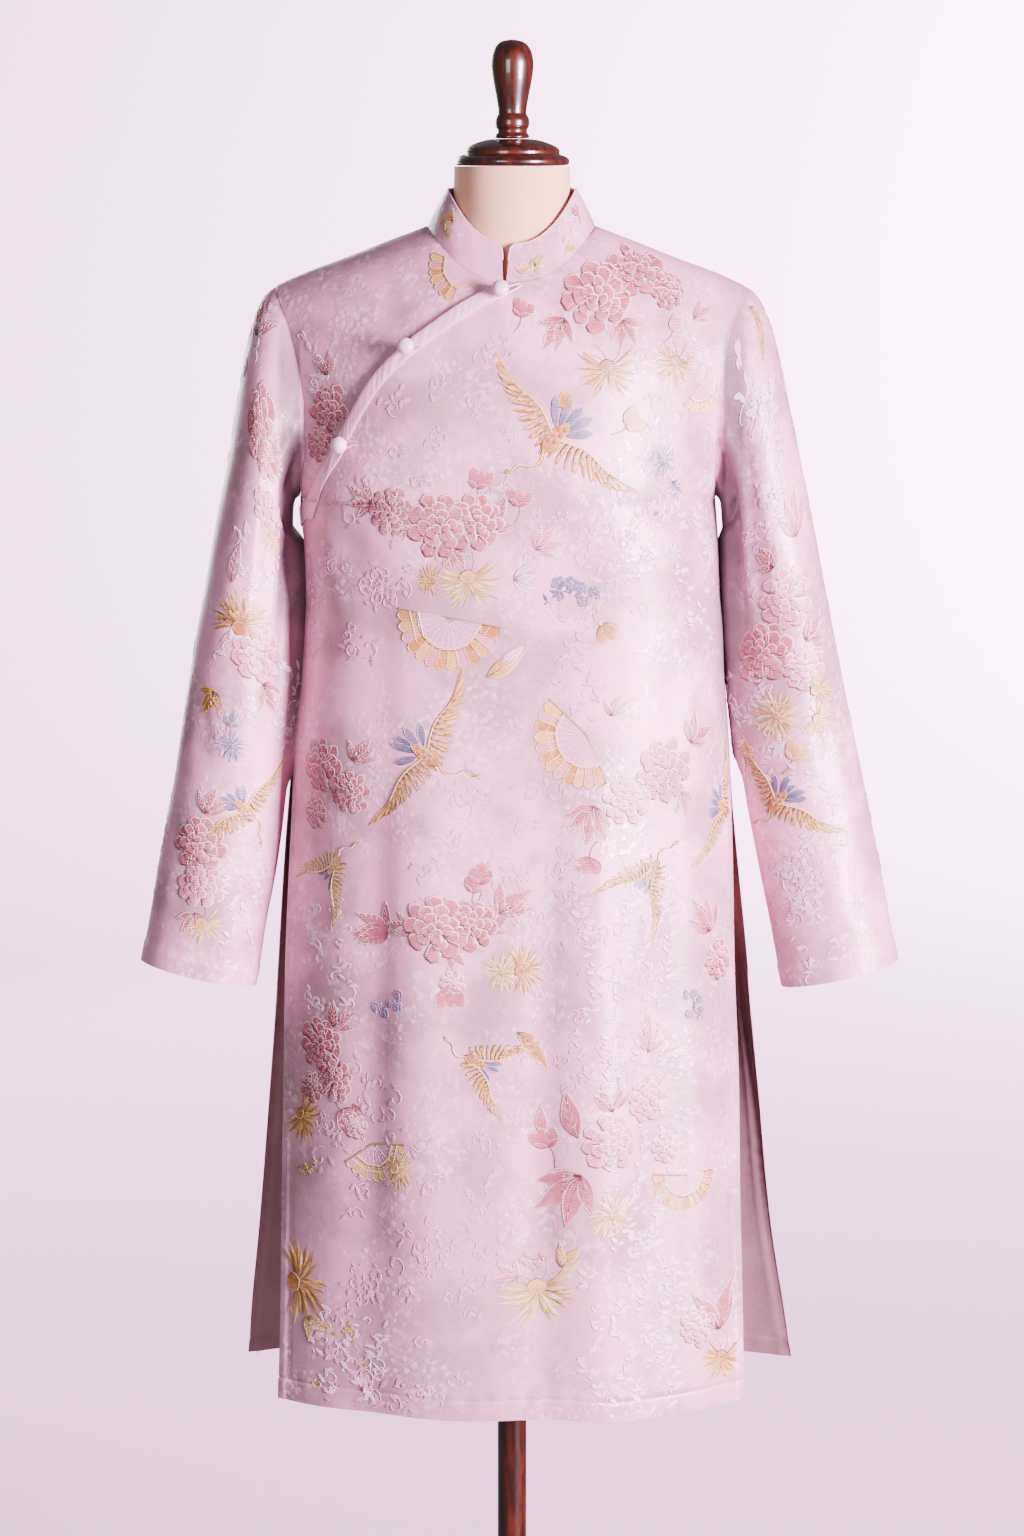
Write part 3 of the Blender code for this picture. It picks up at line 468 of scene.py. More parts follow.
@dataclass(frozen=True)
class Crease:
    """A short ridge (lift above 0) or trough along a line, seen from the front or from behind."""

    path: tuple[Point2, ...]
    lift: float
    width: float
    fade: float = 0.35

    def lift_at(self, x: np.ndarray, z: np.ndarray) -> np.ndarray:
        """How far it moves the cloth out at points seen at x and z."""
        nearest = np.full(x.shape, np.inf)
        along = np.zeros(x.shape)
        side = np.zeros(x.shape)
        lengths = [math.dist(a, b) for a, b in zip(self.path, self.path[1:])]
        whole = sum(lengths)
        done = 0.0
        for (ax, az), (bx, bz), length in zip(self.path, self.path[1:], lengths):
            dx, dz = (bx - ax) / length, (bz - az) / length
            t = np.clip((x - ax) * dx + (z - az) * dz, 0, length)
            off = np.hypot(x - ax - t * dx, z - az - t * dz)
            closer = off < nearest
            nearest = np.where(closer, off, nearest)
            along = np.where(closer, (done + t) / whole, along)
            side = np.where(closer, (x - ax) * dz - (z - az) * dx, side)
            done += length
        ends = smoothstep(0, self.fade, along) * (1 - smoothstep(1 - self.fade, 1, along))
        width = np.where(side > 0, self.width * 1.35, self.width * 0.8)
        return self.lift * ends * np.exp(-((nearest / width) ** 2))


# Height, half-width left and right, stand-off of the side edge, roundness, and depth at the middle
# in front and behind. The skirts have one depth.
BODICE = (
    (1510, 221, 217.5, 0, 1, 96, 90), (1432, 221, 217.5, 0, 1, 103, 96), (1390, 207.5, 202, 0, 1, 114, 106),
    (1342, 197, 195, 0, 1, 122, 113), (1315, 194, 192.5, 0, 0.98, 125, 115), (1280, 194, 191.5, 0, 0.85, 127, 116),
    (1240, 201, 192.5, 0, 0.62, 127, 113), (1222, 201.5, 194, 0, 0.52, 126, 112),
    (1187, 198, 196.5, 0, 0.45, 123, 108), (1138, 196.5, 198.5, 0, 0.44, 119, 104),
    (1112, 197.5, 201, 0, 0.44, 118, 103), (1060, 201.5, 203.5, 0, 0.44, 118.5, 106),
    (1010, 207.5, 206.5, 0, 0.44, 120.5, 110),
)
FRONT_SKIRT = (
    (941, 210, 209.5, 8, 0.5, 125), (872, 213.5, 211.5, 17, 0.58, 129), (789, 217, 213, 27, 0.68, 133),
    (670, 219, 217.5, 42, 0.8, 138), (563, 221, 219, 53, 0.9, 142), (450, 223, 222, 65, 1, 146),
    (360, 225, 223, 74, 1.05, 150),
)
BACK_SKIRT = (
    (941, 214.5, 211.5, 8, 0.5, 113), (872, 220.5, 218.5, 17, 0.58, 116), (795, 226, 227, 27, 0.68, 118),
    (724, 231, 234, 36, 0.76, 120), (629, 239, 244, 46, 0.86, 122), (554, 245.5, 251, 54, 0.92, 124),
    (496, 251, 258, 60, 0.97, 126), (425, 258.5, 269.5, 67, 1.02, 128), (366, 263, 278.5, 72, 1.05, 130),
)
FORM_LEVELS = (
    (1510, 216.5, 216.5, 0, 1, 92.5, 86.5), (1432, 216.5, 216.5, 0, 1, 100.5, 93.5),
    (1390, 197, 197, 0, 1, 111, 103), (1342, 189, 189, 0, 1, 118.5, 109.5), (1280, 185, 185, 0, 0.85, 121, 110.5),
    (1240, 185, 185, 0, 0.62, 118, 107), (1187, 184, 184, 0, 0.45, 112, 99), (1112, 177, 177, 0, 0.44, 99, 87),
    (1050, 175, 175, 0, 0.44, 96, 86), (990, 178, 178, 0, 0.44, 99, 92), (920, 184, 184, 0, 0.44, 105, 101),
    (850, 185, 185, 0, 0.44, 106, 103), (815, 181, 181, 0, 0.44, 103, 100), (800, 172, 172, 0, 0.44, 97, 94),
)
FORM_DROP = 2.2
FORM_ARM_INSET = 3.0
OVER_NECK_FRONT = 1502.0
OVER_NECK_BACK = 1510.0

# Share of the half-width and height along the shoulder line, from the side of the neck to the tip
SHOULDER = ((NECK_SHARE, NECK_SIDE_HEIGHT), (0.53, 1473), (0.71, 1457.5), (0.90, 1442), (1.0, TIP_HEIGHT))
SHOULDER_HEIGHT = curve(*zip(*SHOULDER))

# Across and height along the closure, from the corner at the neck to the side seam
CLOSURE = (
    (-6, 1435), (-16, 1431.5), (-43, 1418), (-69, 1401), (-94, 1383), (-117, 1362),
    (-131, 1345), (-145, 1322), (-157, 1299), (-174, 1266), (-188, 1240), (-202, 1222),
)


def creases_of(*rows: Sequence[float]) -> tuple[Crease, ...]:
    """Creases from rows of lift, width, fade, then across and height of each point."""
    return tuple(Crease(tuple(zip(row[3::2], row[4::2])), *row[:3]) for row in rows)


FRONT_FOLDS = (
    Fold(80, 84, 1120, 480, 5.5, 30), Fold(40, 30, 1060, 440, -3.5, 26), Fold(128, 138, 1000, 460, -3.5, 26),
    Fold(172, 184, 900, 420, 3.5, 22), Fold(-78, -84, 1160, 620, 3.0, 40), Fold(-128, -140, 1000, 480, -2.5, 28),
)
BACK_FOLDS = (
    Fold(-140, -160, 960, 420, 6.0, 30), Fold(-80, -96, 1000, 430, -5.0, 30), Fold(-6, -14, 1060, 460, 6.5, 36),
    Fold(62, 70, 1000, 440, -5.5, 30), Fold(120, 144, 960, 430, 6.5, 30), Fold(176, 206, 880, 430, -5.0, 24),
)
FRONT_CREASES = creases_of(
    (-2.4, 11, 0.35, 176, 1236, 150, 1262, 128, 1296), (-2, 10, 0.35, 182, 1226, 150, 1232, 120, 1228),
    (1.6, 12, 0.35, 186, 1210, 162, 1188, 140, 1160), (-2, 12, 0.35, -182, 1214, -156, 1200, -130, 1178),
    (1.8, 12, 0.35, -186, 1190, -168, 1160, -160, 1120), (-1.4, 16, 0.35, 60, 1428, 92, 1404, 118, 1372),
    (-1.5, 15, 0.35, -60, 1452, -98, 1420, -128, 1380), (-2.2, 9, 0.35, 196, 1380, 184, 1340, 182, 1290),
    (-2.6, 20, 0.35, -118, 1190, -124, 1080, -118, 960), (1.8, 26, 0.35, -60, 1120, -66, 1000, -58, 880),
    (-2.2, 18, 0.35, 150, 1120, 158, 1010, 150, 900), (-1.5, 24, 0.35, 30, 1180, 36, 1060, 28, 930),
    (2, 12, 0.35, 188, 1120, 176, 1060, 172, 980), (-1.6, 24, 0.35, -30, 900, -42, 760, -30, 620),
    (-2, 12, 0.35, -196, 980, -182, 900, -184, 820), (-2, 22, 0.35, 10, 760, 18, 620, 12, 470),
    (2, 22, 0.35, 112, 820, 104, 680, 112, 520), (4.5, 24, 0.3, 78, 1060, 80, 760, 84, 395),
    (-4, 17, 0.3, 36, 1010, 32, 700, 26, 400), (4, 30, 0.3, -76, 1080, -80, 740, -88, 410),
    (-3.4, 18, 0.3, -122, 1060, -126, 760, -134, 440), (-3.2, 18, 0.3, 150, 1000, 154, 740, 160, 430),
    (1.1, 4, 0.35, 8, 1429, 28, 1431, 48, 1426), (-1, 6, 0.35, 8, 1420, 30, 1414, 52, 1400),
    (-1.6, 9, 0.35, 176, 1436, 170, 1380, 176, 1330),
)
BACK_CREASES = creases_of(
    (-2.6, 12, 0.35, 180, 1240, 150, 1268, 124, 1310), (-2.2, 12, 0.35, 184, 1222, 146, 1226, 104, 1216),
    (-2.4, 12, 0.35, -180, 1236, -152, 1266, -120, 1300), (-2, 13, 0.35, -186, 1216, -150, 1212, -112, 1196),
    (-1.8, 14, 0.35, -70, 1452, 0, 1440, 74, 1454), (-2.2, 14, 0.45, -110, 1090, 0, 1072, 104, 1096),
    (1.8, 13, 0.45, -90, 1052, 10, 1040, 120, 1060), (-2, 22, 0.35, 0, 1400, -6, 1280, 2, 1140),
    (-2.6, 18, 0.35, 110, 1160, 122, 1050, 112, 920), (-2.4, 18, 0.35, -130, 1150, -140, 1030, -128, 900),
    (2.2, 22, 0.35, 30, 960, 42, 820, 34, 660), (2, 20, 0.35, -60, 980, -48, 830, -58, 690),
)


@dataclass(eq=False)
class BodySide:
    """The front or the back surface of the body, from its section table.

    A section's depth stands in column 5 in front and in the last one behind. The surface turns
    down over the two rolls below its top, at the middle and at the tip, and runs on over the
    neck opening. Its seams keep the gap from the other side.
    """

    sections: Sequence[tuple[float, ...]]
    facing: int
    over_neck: float
    armhole: float
    rolls: tuple[float, float]
    folds: Sequence[Fold] = ()
    creases: Sequence[Crease] = ()
    drop: float = 0.0
    gap: float = SEAM_GAP / 2

    def __post_init__(self) -> None:
        """Turns the table's columns into curves over the height."""
        heights = [row[0] for row in self.sections]
        self.left, self.right, self.flap_edge, self.roundness, self.depth = (
            curve(heights, [row[k] for row in self.sections]) for k in (1, 2, 3, 4, 5 if self.facing < 0 else -1)
        )

    def half_width(self, share: np.ndarray, height: np.ndarray) -> np.ndarray:
        """Half the width on the side that the share lies on."""
        return np.where(share < 0, self.left(height), self.right(height))

    def share_at(self, x: np.ndarray, height: np.ndarray) -> np.ndarray:
        """The share of the half-width at a distance from the middle."""
        return x / np.where(x < 0, self.left(height), self.right(height))

    def top(self, share: np.ndarray) -> np.ndarray:
        """Height of the shoulder line, where front and back meet, or of the surface over the neck."""
        out = np.clip(np.abs(share) / NECK_SHARE, 0, 1)
        over_neck = NECK_SIDE_HEIGHT + (self.over_neck - NECK_SIDE_HEIGHT) * (1 - out**1.4)
        return np.where(out < 1, over_neck, SHOULDER_HEIGHT(np.abs(share))) - self.drop

    def neckline(self, share: np.ndarray) -> np.ndarray:
        """Height of the neckline."""
        out = np.clip(np.abs(share) / NECK_SHARE, 0, 1)
        low, power = (NECK_BACK_HEIGHT, 2.0) if self.facing > 0 else (NECK_FRONT_HEIGHT, NECK_CURVE_POWER)
        return low + (NECK_SIDE_HEIGHT - low) * out**power - self.drop

    def piece_top(self, share: np.ndarray) -> np.ndarray:
        """Top of a piece that runs up to the neckline and the shoulder line."""
        return np.where(np.abs(share) < NECK_SHARE, self.neckline(share), self.top(share))

    def edge(self, height: np.ndarray) -> np.ndarray:
        """How far the side edge stands off the plane of the side seam."""
        middle = (TIP_HEIGHT + ARMPIT_HEIGHT) / 2
        reach = (TIP_HEIGHT - ARMPIT_HEIGHT) / 2
        below = np.clip((middle - height) / reach, 0, 1)
        round_edge = self.armhole * np.sqrt(1 - below**2)
        return np.where(height > ARMPIT_HEIGHT, round_edge, self.flap_edge(height))

    def roll(self, share: np.ndarray, height: np.ndarray) -> np.ndarray:
        """0 on the shoulder line, 1 where the surface has turned fully down."""
        radius = self.rolls[0] + (self.rolls[1] - self.rolls[0]) * np.abs(share) ** 3
        turned = np.clip((self.top(share) - height) / radius, 0, 1)
        return np.sqrt(1 - (1 - turned) ** 2)

    def base(self, share: np.ndarray, height: np.ndarray) -> Points:
        """Points of the surface without its creases."""
        across = share * self.half_width(share, height)
        edge = self.edge(height)
        arch = np.clip(1 - np.abs(share) ** 2.3, 0, 1) ** self.roundness(height)
        out = self.roll(share, height) * (edge + (self.depth(height) - edge) * arch)
        lift = np.zeros(share.shape)
        for fold in self.folds:
            opened = smoothstep(fold.start, fold.full, height)
            middle = fold.across_top + (fold.across_hem - fold.across_top) * opened
            lift = lift + fold.lift * opened * np.exp(-(((across - middle) / fold.width) ** 2))
        out = out + lift * (1 - np.abs(share) ** 6)
        return np.stack([across, self.facing * (out + self.gap), height], axis=-1)

    def normals(self, share: np.ndarray, height: np.ndarray) -> Points:
        """Outward unit normals of the surface without its creases."""
        step_share, step_height = 0.004, 0.8
        low, high = np.clip(share - step_share, -1, 1), np.clip(share + step_share, -1, 1)
        across = self.base(high, height) - self.base(low, height)
        up_height = np.minimum(height + step_height, self.top(share))
        up = self.base(share, up_height) - self.base(share, height - step_height)
        return unit(np.cross(across, up) * (1 if self.facing < 0 else -1))

    def crease_lift(self, share: np.ndarray, points: Points) -> np.ndarray:
        """How far the creases and the cloth's slight unevenness move it out."""
        x, z = points[..., 0], points[..., 2]
        lift = 0.35 * np.sin(x / 17 + 2.1 * np.sin(z / 61)) * np.sin(z / 43 + self.facing)
        for crease in self.creases:
            lift = lift + crease.lift_at(x, z)
        at_seam = 1 - np.abs(share) ** 12
        return lift * at_seam * smoothstep(0, 14, self.piece_top(share) - z)

    def surface(self, share: np.ndarray, height: np.ndarray, lift: np.ndarray | float = 0.0) -> tuple[Points, Points]:
        """The cloth's outer face.

        Args:
            share: shares of the half-width.
            height: heights, as an array of the same shape.
            lift: how far the cloth stands off the surface there.

        Returns:
            The points and their outward normals.
        """
        points = self.base(share, height)
        normals = self.normals(share, height)
        out = self.crease_lift(share, points) + lift
        return points + normals * out[..., None], normals


FRONT = BodySide(
    BODICE + FRONT_SKIRT, -1, OVER_NECK_FRONT, ARMHOLE_FRONT, (130, 100), FRONT_FOLDS, FRONT_CREASES
)
BACK = BodySide(BODICE + BACK_SKIRT, 1, OVER_NECK_BACK, ARMHOLE_BACK, (75, 100), BACK_FOLDS, BACK_CREASES)
FORM_FRONT = BodySide(
    FORM_LEVELS, -1, OVER_NECK_FRONT, ARMHOLE_FRONT - FORM_ARM_INSET, (130, 100), drop=FORM_DROP, gap=0.0
)
FORM_BACK = BodySide(
    FORM_LEVELS, 1, OVER_NECK_BACK, ARMHOLE_BACK - FORM_ARM_INSET, (75, 100), drop=FORM_DROP, gap=0.0
)


def closure_curve() -> Curve:
    """The closure's height against the share of the half-width."""
    heights = np.array([height for _, height in CLOSURE], float)
    shares = np.array([across for across, _ in CLOSURE], float) / FRONT.left(heights)
    shares[0] = CORNER_SHARE
    shares[-1] = -1
    return curve(shares, heights)


CLOSURE_HEIGHT = closure_curve()


def below_closure(share: np.ndarray, height: np.ndarray) -> np.ndarray:
    """How far a point lies below the closure."""
    return CLOSURE_HEIGHT(np.clip(share, -1, CORNER_SHARE)) - height


def lap_lift(share: np.ndarray, height: np.ndarray) -> np.ndarray:
    """How far the front panel stands off the body where it lies over the under front."""
    down = 1 - smoothstep(LAP_DEPTH, LAP_DEPTH + LAP_FADE, below_closure(share, height))
    across = 1 - smoothstep(CORNER_SHARE, LAP_RIGHT_FADE, share)
    return LAP_LIFT * down * across * (1 - smoothstep(LAP_SIDE_FADE, 1, np.abs(share)))


def lap_tuck(share: np.ndarray, height: np.ndarray) -> np.ndarray:
    """How far the under front goes in under the front panel near the side seam."""
    down = smoothstep(-LAP_TUCK_START, 0, below_closure(share, height))
    return LAP_LIFT * down * smoothstep(*LAP_TUCK_SHARES, np.abs(share))


class ArcTable:
    """Lengths along the cloth from the middle of a body surface to a share of its half-width."""

    COLUMNS = 160
    ROWS = 60
    LOWEST = 355
    HIGHEST = 1510

    def __init__(self, side: BodySide) -> None:
        """Measures the surface at even steps of height."""
        self.heights = np.linspace(self.LOWEST, self.HIGHEST, self.ROWS)
        shares = np.sin(np.linspace(-math.pi / 2, math.pi / 2, self.COLUMNS + 1))
        grid = side.base(*np.broadcast_arrays(shares[None, :], self.heights[:, None]))
        steps = np.linalg.norm(np.diff(grid, axis=1), axis=-1)
        lengths = np.concatenate([np.zeros((self.ROWS, 1)), np.cumsum(steps, axis=1)], axis=1)
        self.lengths = lengths - lengths[:, self.COLUMNS // 2 : self.COLUMNS // 2 + 1]

    def length(self, share: np.ndarray, height: np.ndarray) -> np.ndarray:
        """The length from the middle to a share at a height."""
        column = (np.arcsin(np.clip(share, -1, 1)) / math.pi + 0.5) * self.COLUMNS
        row = (height - self.heights[0]) / (self.heights[1] - self.heights[0])
        row = np.clip(row, 0, self.ROWS - 1.001)
        c = np.clip(column.astype(int), 0, self.COLUMNS - 1)
        r = row.astype(int)
        s, t = column - c, row - r
        upper = self.lengths[r, c] * (1 - s) + self.lengths[r, c + 1] * s
        lower = self.lengths[r + 1, c] * (1 - s) + self.lengths[r + 1, c + 1] * s
        return upper * (1 - t) + lower * t

    def share(self, length: np.ndarray, height: np.ndarray) -> np.ndarray:
        """The share that lies at a length from the middle; past a side it is over 1."""
        low, high = np.full(length.shape, -1.0), np.ones(length.shape)
        for _ in range(16):
            middle = (low + high) / 2
            short = self.length(middle, height) < length
            low, high = np.where(short, middle, low), np.where(short, high, middle)
        ends = self.length(np.sign(length), height)
        return np.where(np.abs(length) > np.abs(ends), np.sign(length) * 1.5, (low + high) / 2)


@dataclass
class BodyGround:
    """A body piece's outer face as something to weave on and to sew on.

    The lift is how far the piece stands off the surface at shares and heights, and covers says
    whether it reaches them.
    """

    side: BodySide
    lift: Callable[[np.ndarray, np.ndarray], np.ndarray]
    covers: Callable[[np.ndarray, np.ndarray], np.ndarray]

    def __post_init__(self) -> None:
        """Measures the surface, whose lengths run towards -X behind."""
        self.arcs = ArcTable(self.side)
        self.right = -self.side.facing

    def start(self, x: float, height: float) -> tuple[float, float]:
        """Where a motif's middle lies on the flat cloth, for the place where it is seen."""
        share = self.side.share_at(np.array([x]), np.array([height]))
        return float(self.arcs.length(share, np.array([height]))[0]), height

    def put(self, along: np.ndarray, height: np.ndarray, off: np.ndarray) -> tuple[Points, np.ndarray]:
        """Points of the flat cloth where they hang.

        Args:
            along: lengths from the middle.
            height: heights.
            off: how far each point stands off the cloth.

        Returns:
            The points and whether the piece reaches them.
        """
        share = self.arcs.share(along, height)
        reached = (np.abs(share) < 0.988) & self.covers(share, height)
        share = np.clip(share, -0.995, 0.995)
        points, _ = self.side.surface(share, height, self.lift(share, height) + off)
        return points, reached


# Each ring from the armhole to the cuff: its outer and its inner end seen from in front, then the
# reach forward and back, their middle and the body side's pinch, which both sleeves share
RING_COLUMNS = ("outer_x", "outer_z", "inner_x", "inner_z", "front", "back", "middle", "pinch")
LEFT_ENDS = (
    (221.4, 1432, 202, 1232), (230, 1425, 206.2, 1229), (240, 1409, 207.2, 1225), (248, 1385, 207.8, 1219),
    (255, 1352, 208, 1211), (262.5, 1308, 207.8, 1201), (271, 1260, 206.5, 1186), (281, 1210, 204, 1163),
    (291, 1155, 203, 1127), (301, 1103, 204.5, 1080), (312, 1035, 209.5, 1012), (323, 965, 216.5, 943),
    (334, 905, 225, 882), (344.5, 848, 236, 824), (350.5, 815, 241.5, 790), (355.5, 789, 247, 764),
)
RIGHT_ENDS = (
    (217.9, 1432, 193.4, 1232), (227, 1426, 197, 1229), (237, 1411, 198.2, 1225), (246, 1389, 198.8, 1219),
    (254.5, 1356, 199.2, 1211), (264.5, 1311, 199.7, 1201), (275, 1262, 200.2, 1186), (286, 1208, 201.2, 1162),
    (297.5, 1150, 203, 1120), (308, 1098, 206, 1074), (321, 1032, 213.5, 1007), (334, 973, 223, 948),
    (346, 913, 235, 888), (358, 853, 247, 829), (364.5, 818, 253.5, 794), (370, 789, 260, 763),
)
SECTIONS = (
    (52, 48, 0, 0), (54, 49, -1, 0.06), (57, 50, -2, 0.12), (60, 51, -3, 0.2), (62, 51, -4, 0.28),
    (63, 50, -5, 0.34), (63, 49, -6, 0.38), (62, 47, -7, 0.4), (61, 45, -8, 0.38), (60, 42, -9, 0.32),
    (60, 38, -11, 0.25), (60, 34, -13, 0.18), (61, 29, -16, 0.12), (62, 24, -19, 0.08), (62.5, 21.5, -20.5, 0.06),
    (63, 19, -22, 0.05),
)
BLEND_RINGS = 4

# On a sleeve a place is an angle in degrees and a height: 0 is its outer end, 90 its front
LEFT_SLEEVE_CREASES = creases_of(
    (4.4, 6, 0.2, 100, 1398, 110, 1340, 117, 1270, 121, 1180, 122, 1080),
    (-6, 13, 0.2, 126, 1384, 139, 1320, 147, 1250, 149, 1160, 148, 1070),
    (9.5, 18, 0.12, 190, 1262, 196, 1190, 197, 1110, 195, 1040, 190, 960),
    (2.2, 7, 0.35, 78, 1404, 98, 1372, 112, 1336), (-2.4, 7, 0.35, 118, 1392, 128, 1350, 134, 1310),
    (-1.6, 10, 0.35, 58, 1398, 50, 1360, 46, 1316), (-2.6, 8, 0.35, 168, 1244, 146, 1262, 120, 1286),
    (2.2, 8, 0.35, 172, 1228, 146, 1232, 118, 1244), (-2.2, 8, 0.35, 174, 1206, 150, 1200, 122, 1192),
    (2.6, 8, 0.3, 164, 1180, 148, 1130, 140, 1080), (-3.4, 9, 0.25, 140, 1220, 136, 1160, 133, 1090, 138, 1020),
    (1.8, 14, 0.35, 62, 1180, 70, 1120, 66, 1060), (1.6, 13, 0.35, 100, 1100, 108, 1040, 96, 980),
    (-1.8, 11, 0.35, 40, 1060, 56, 1010, 64, 960), (-1.6, 10, 0.35, 120, 990, 104, 950, 80, 930),
    (1.5, 14, 0.35, 86, 900, 100, 860, 104, 815), (-1.2, 12, 0.35, 60, 900, 58, 860, 56, 812),
    (-1.4, 12, 0.35, 132, 930, 128, 880, 132, 830), (-2.4, 9, 0.35, 200, 1250, 222, 1282, 246, 1320),
    (2, 9, 0.35, 198, 1222, 226, 1226, 256, 1240), (-2, 9, 0.35, 206, 1190, 236, 1170, 262, 1160),
    (-2.2, 12, 0.35, 236, 1110, 250, 1060, 240, 990), (1.8, 14, 0.35, -66, 1120, -58, 1060, -66, 990),
    (-1.6, 11, 0.35, -40, 1380, -50, 1330, -44, 1280),
)
RIGHT_SLEEVE_CREASES = creases_of(
    (4.8, 6, 0.2, 102, 1404, 112, 1350, 118, 1280, 122, 1200, 124, 1100),
    (-6.5, 13, 0.2, 124, 1392, 138, 1330, 146, 1250, 148, 1160, 146, 1060),
    (5.2, 18, 0.12, 190, 1262, 196, 1190, 197, 1110, 195, 1040, 190, 970),
    (1.8, 6, 0.35, 66, 1412, 72, 1380, 78, 1350), (-2.8, 7, 0.35, 118, 1404, 132, 1366, 136, 1320),
    (1.4, 9, 0.35, 98, 1396, 104, 1352, 110, 1310), (-2.6, 8, 0.35, 170, 1250, 148, 1270, 128, 1300),
    (2, 8, 0.35, 172, 1232, 150, 1240, 126, 1252), (-2.2, 8, 0.35, 172, 1204, 150, 1196, 124, 1200),
    (-3.2, 8, 0.25, 138, 1320, 132, 1240, 133, 1160, 140, 1090), (2.2, 8, 0.3, 158, 1160, 146, 1100, 144, 1050),
    (1.8, 14, 0.35, 58, 1200, 64, 1140, 60, 1080), (-1.6, 13, 0.35, 92, 1150, 100, 1090, 94, 1030),
    (-1.8, 11, 0.35, 44, 1040, 60, 1000, 70, 950), (1.6, 11, 0.35, 112, 1000, 96, 960, 74, 930),
    (1.4, 14, 0.35, 90, 900, 82, 860, 86, 812), (-1.2, 12, 0.35, 62, 890, 56, 850, 60, 805),
    (-2.4, 9, 0.35, 202, 1248, 224, 1280, 248, 1312), (2, 9, 0.35, 198, 1224, 228, 1222, 258, 1232),
    (-2, 9, 0.35, 208, 1186, 238, 1164, 264, 1150), (-2.2, 12, 0.35, 240, 1100, 250, 1050, 244, 980),
    (1.8, 14, 0.35, -62, 1110, -54, 1050, -60, 990), (-1.6, 11, 0.35, -44, 1376, -54, 1326, -46, 1276),
)


class SleeveSurface:
    """A sleeve's outer face. A place on it is a ring number, with fractions, and an angle."""

    RADIUS = 52.0

    def __init__(self, ends: Sequence[tuple], half_width: Curve, mirror: int, creases: Sequence[Crease]) -> None:
        """Reads the ring table.

        Args:
            ends: each ring's outer and inner end.
            half_width: the body's half-width at each height, which the first ring follows.
            mirror: 1 for the sleeve on +X and -1 for the other.
            creases: its creases, by angle and height.
        """
        rings = [(*end, *section) for end, section in zip(ends, SECTIONS)]
        places = np.arange(len(rings), dtype=float)
        self.columns = {name: curve(places, values) for name, values in zip(RING_COLUMNS, zip(*rings))}
        self.last = len(rings) - 1.0
        self.first_outer, _, self.first_inner, *_ = rings[0]
        self.half_width, self.mirror = half_width, mirror
        self.creases = [
            Crease(tuple((self.around(math.radians(angle)), height) for angle, height in crease.path),
                   crease.lift, crease.width, crease.fade)
            for crease in creases
        ]
        self.ring_table = np.linspace(0, self.last, 400)

    def ring_at(self, height: float | np.ndarray) -> np.ndarray:
        """The ring whose middle lies at a height."""
        return np.interp(-np.asarray(height, float), -self.height(self.ring_table), self.ring_table)

    def around(self, angle: float | np.ndarray) -> float | np.ndarray:
        """Length round the sleeve to an angle; the join lies at the back."""
        return (np.mod(angle + math.pi / 2, 2 * math.pi) - math.pi / 2) * self.RADIUS

    def height(self, ring: np.ndarray) -> np.ndarray:
        """The middle height of a ring."""
        return (self.columns["outer_z"](ring) + self.columns["inner_z"](ring)) / 2

    def base(self, ring: np.ndarray, angle: np.ndarray) -> Points:
        """Points of the surface without its creases."""
        part = {name: column(ring) for name, column in self.columns.items()}
        up = (1 + np.cos(angle)) / 2
        across = part["inner_x"] + (part["outer_x"] - part["inner_x"]) * up
        height = part["inner_z"] + (part["outer_z"] - part["inner_z"]) * up
        seam_height = ARMPIT_HEIGHT + (TIP_HEIGHT - ARMPIT_HEIGHT) * up
        seam_straight = self.first_inner + (self.first_outer - self.first_inner) * up
        blend = np.clip(1 - ring / BLEND_RINGS, 0, 1)
        across = across + blend * (self.half_width(seam_height) + ARMHOLE_GAP - seam_straight)
        narrow = 1 - part["pinch"] * np.maximum(0.0, -np.cos(angle))
        forward = np.sin(angle) > 0
        reach = np.where(forward, part["front"] + part["middle"], part["back"] - part["middle"])
        depth = part["middle"] - reach * np.sin(angle) * narrow
        return np.stack([across * self.mirror, depth, height], axis=-1)

    def normals(self, ring: np.ndarray, angle: np.ndarray) -> Points:
        """Outward unit normals of the surface without its creases."""
        before, after = np.clip(ring - 0.02, 0, self.last), np.clip(ring + 0.02, 0, self.last)
        down = self.base(after, angle) - self.base(before, angle)
        turn = self.base(ring, angle + 0.01) - self.base(ring, angle - 0.01)
        return unit(np.cross(turn, down)) * self.mirror

    def surface(self, ring: np.ndarray, angle: np.ndarray, lift: np.ndarray | float = 0.0) -> tuple[Points, Points]:
        """The cloth's outer face with its creases and its puckered seam.

        Args:
            ring: ring numbers.
            angle: angles, as an array of the same shape.
            lift: how far the cloth stands off the surface there.

        Returns:
            The points and their outward normals.
        """
        points = self.base(ring, angle)
        normals = self.normals(ring, angle)
        around, height = self.around(angle), self.height(ring)
        out = 0.3 * np.sin(around / 13 + 1.7 * np.sin(height / 53)) * np.sin(height / 37)
        for crease in self.creases:
            out = out + crease.lift_at(around, height)
        from_seam = (self.height(np.zeros(1)) - height) * 1.4
        eased = np.exp(-(((from_seam - 7) / 6) ** 2)) * np.sin(around / 3.1) * 0.45
        out = (out + eased) * smoothstep(0, 9, from_seam)
        out = out - 0.8 * np.exp(-from_seam / 2.5) * (ring > 0.01)
        return points + normals * (out + lift)[..., None], normals


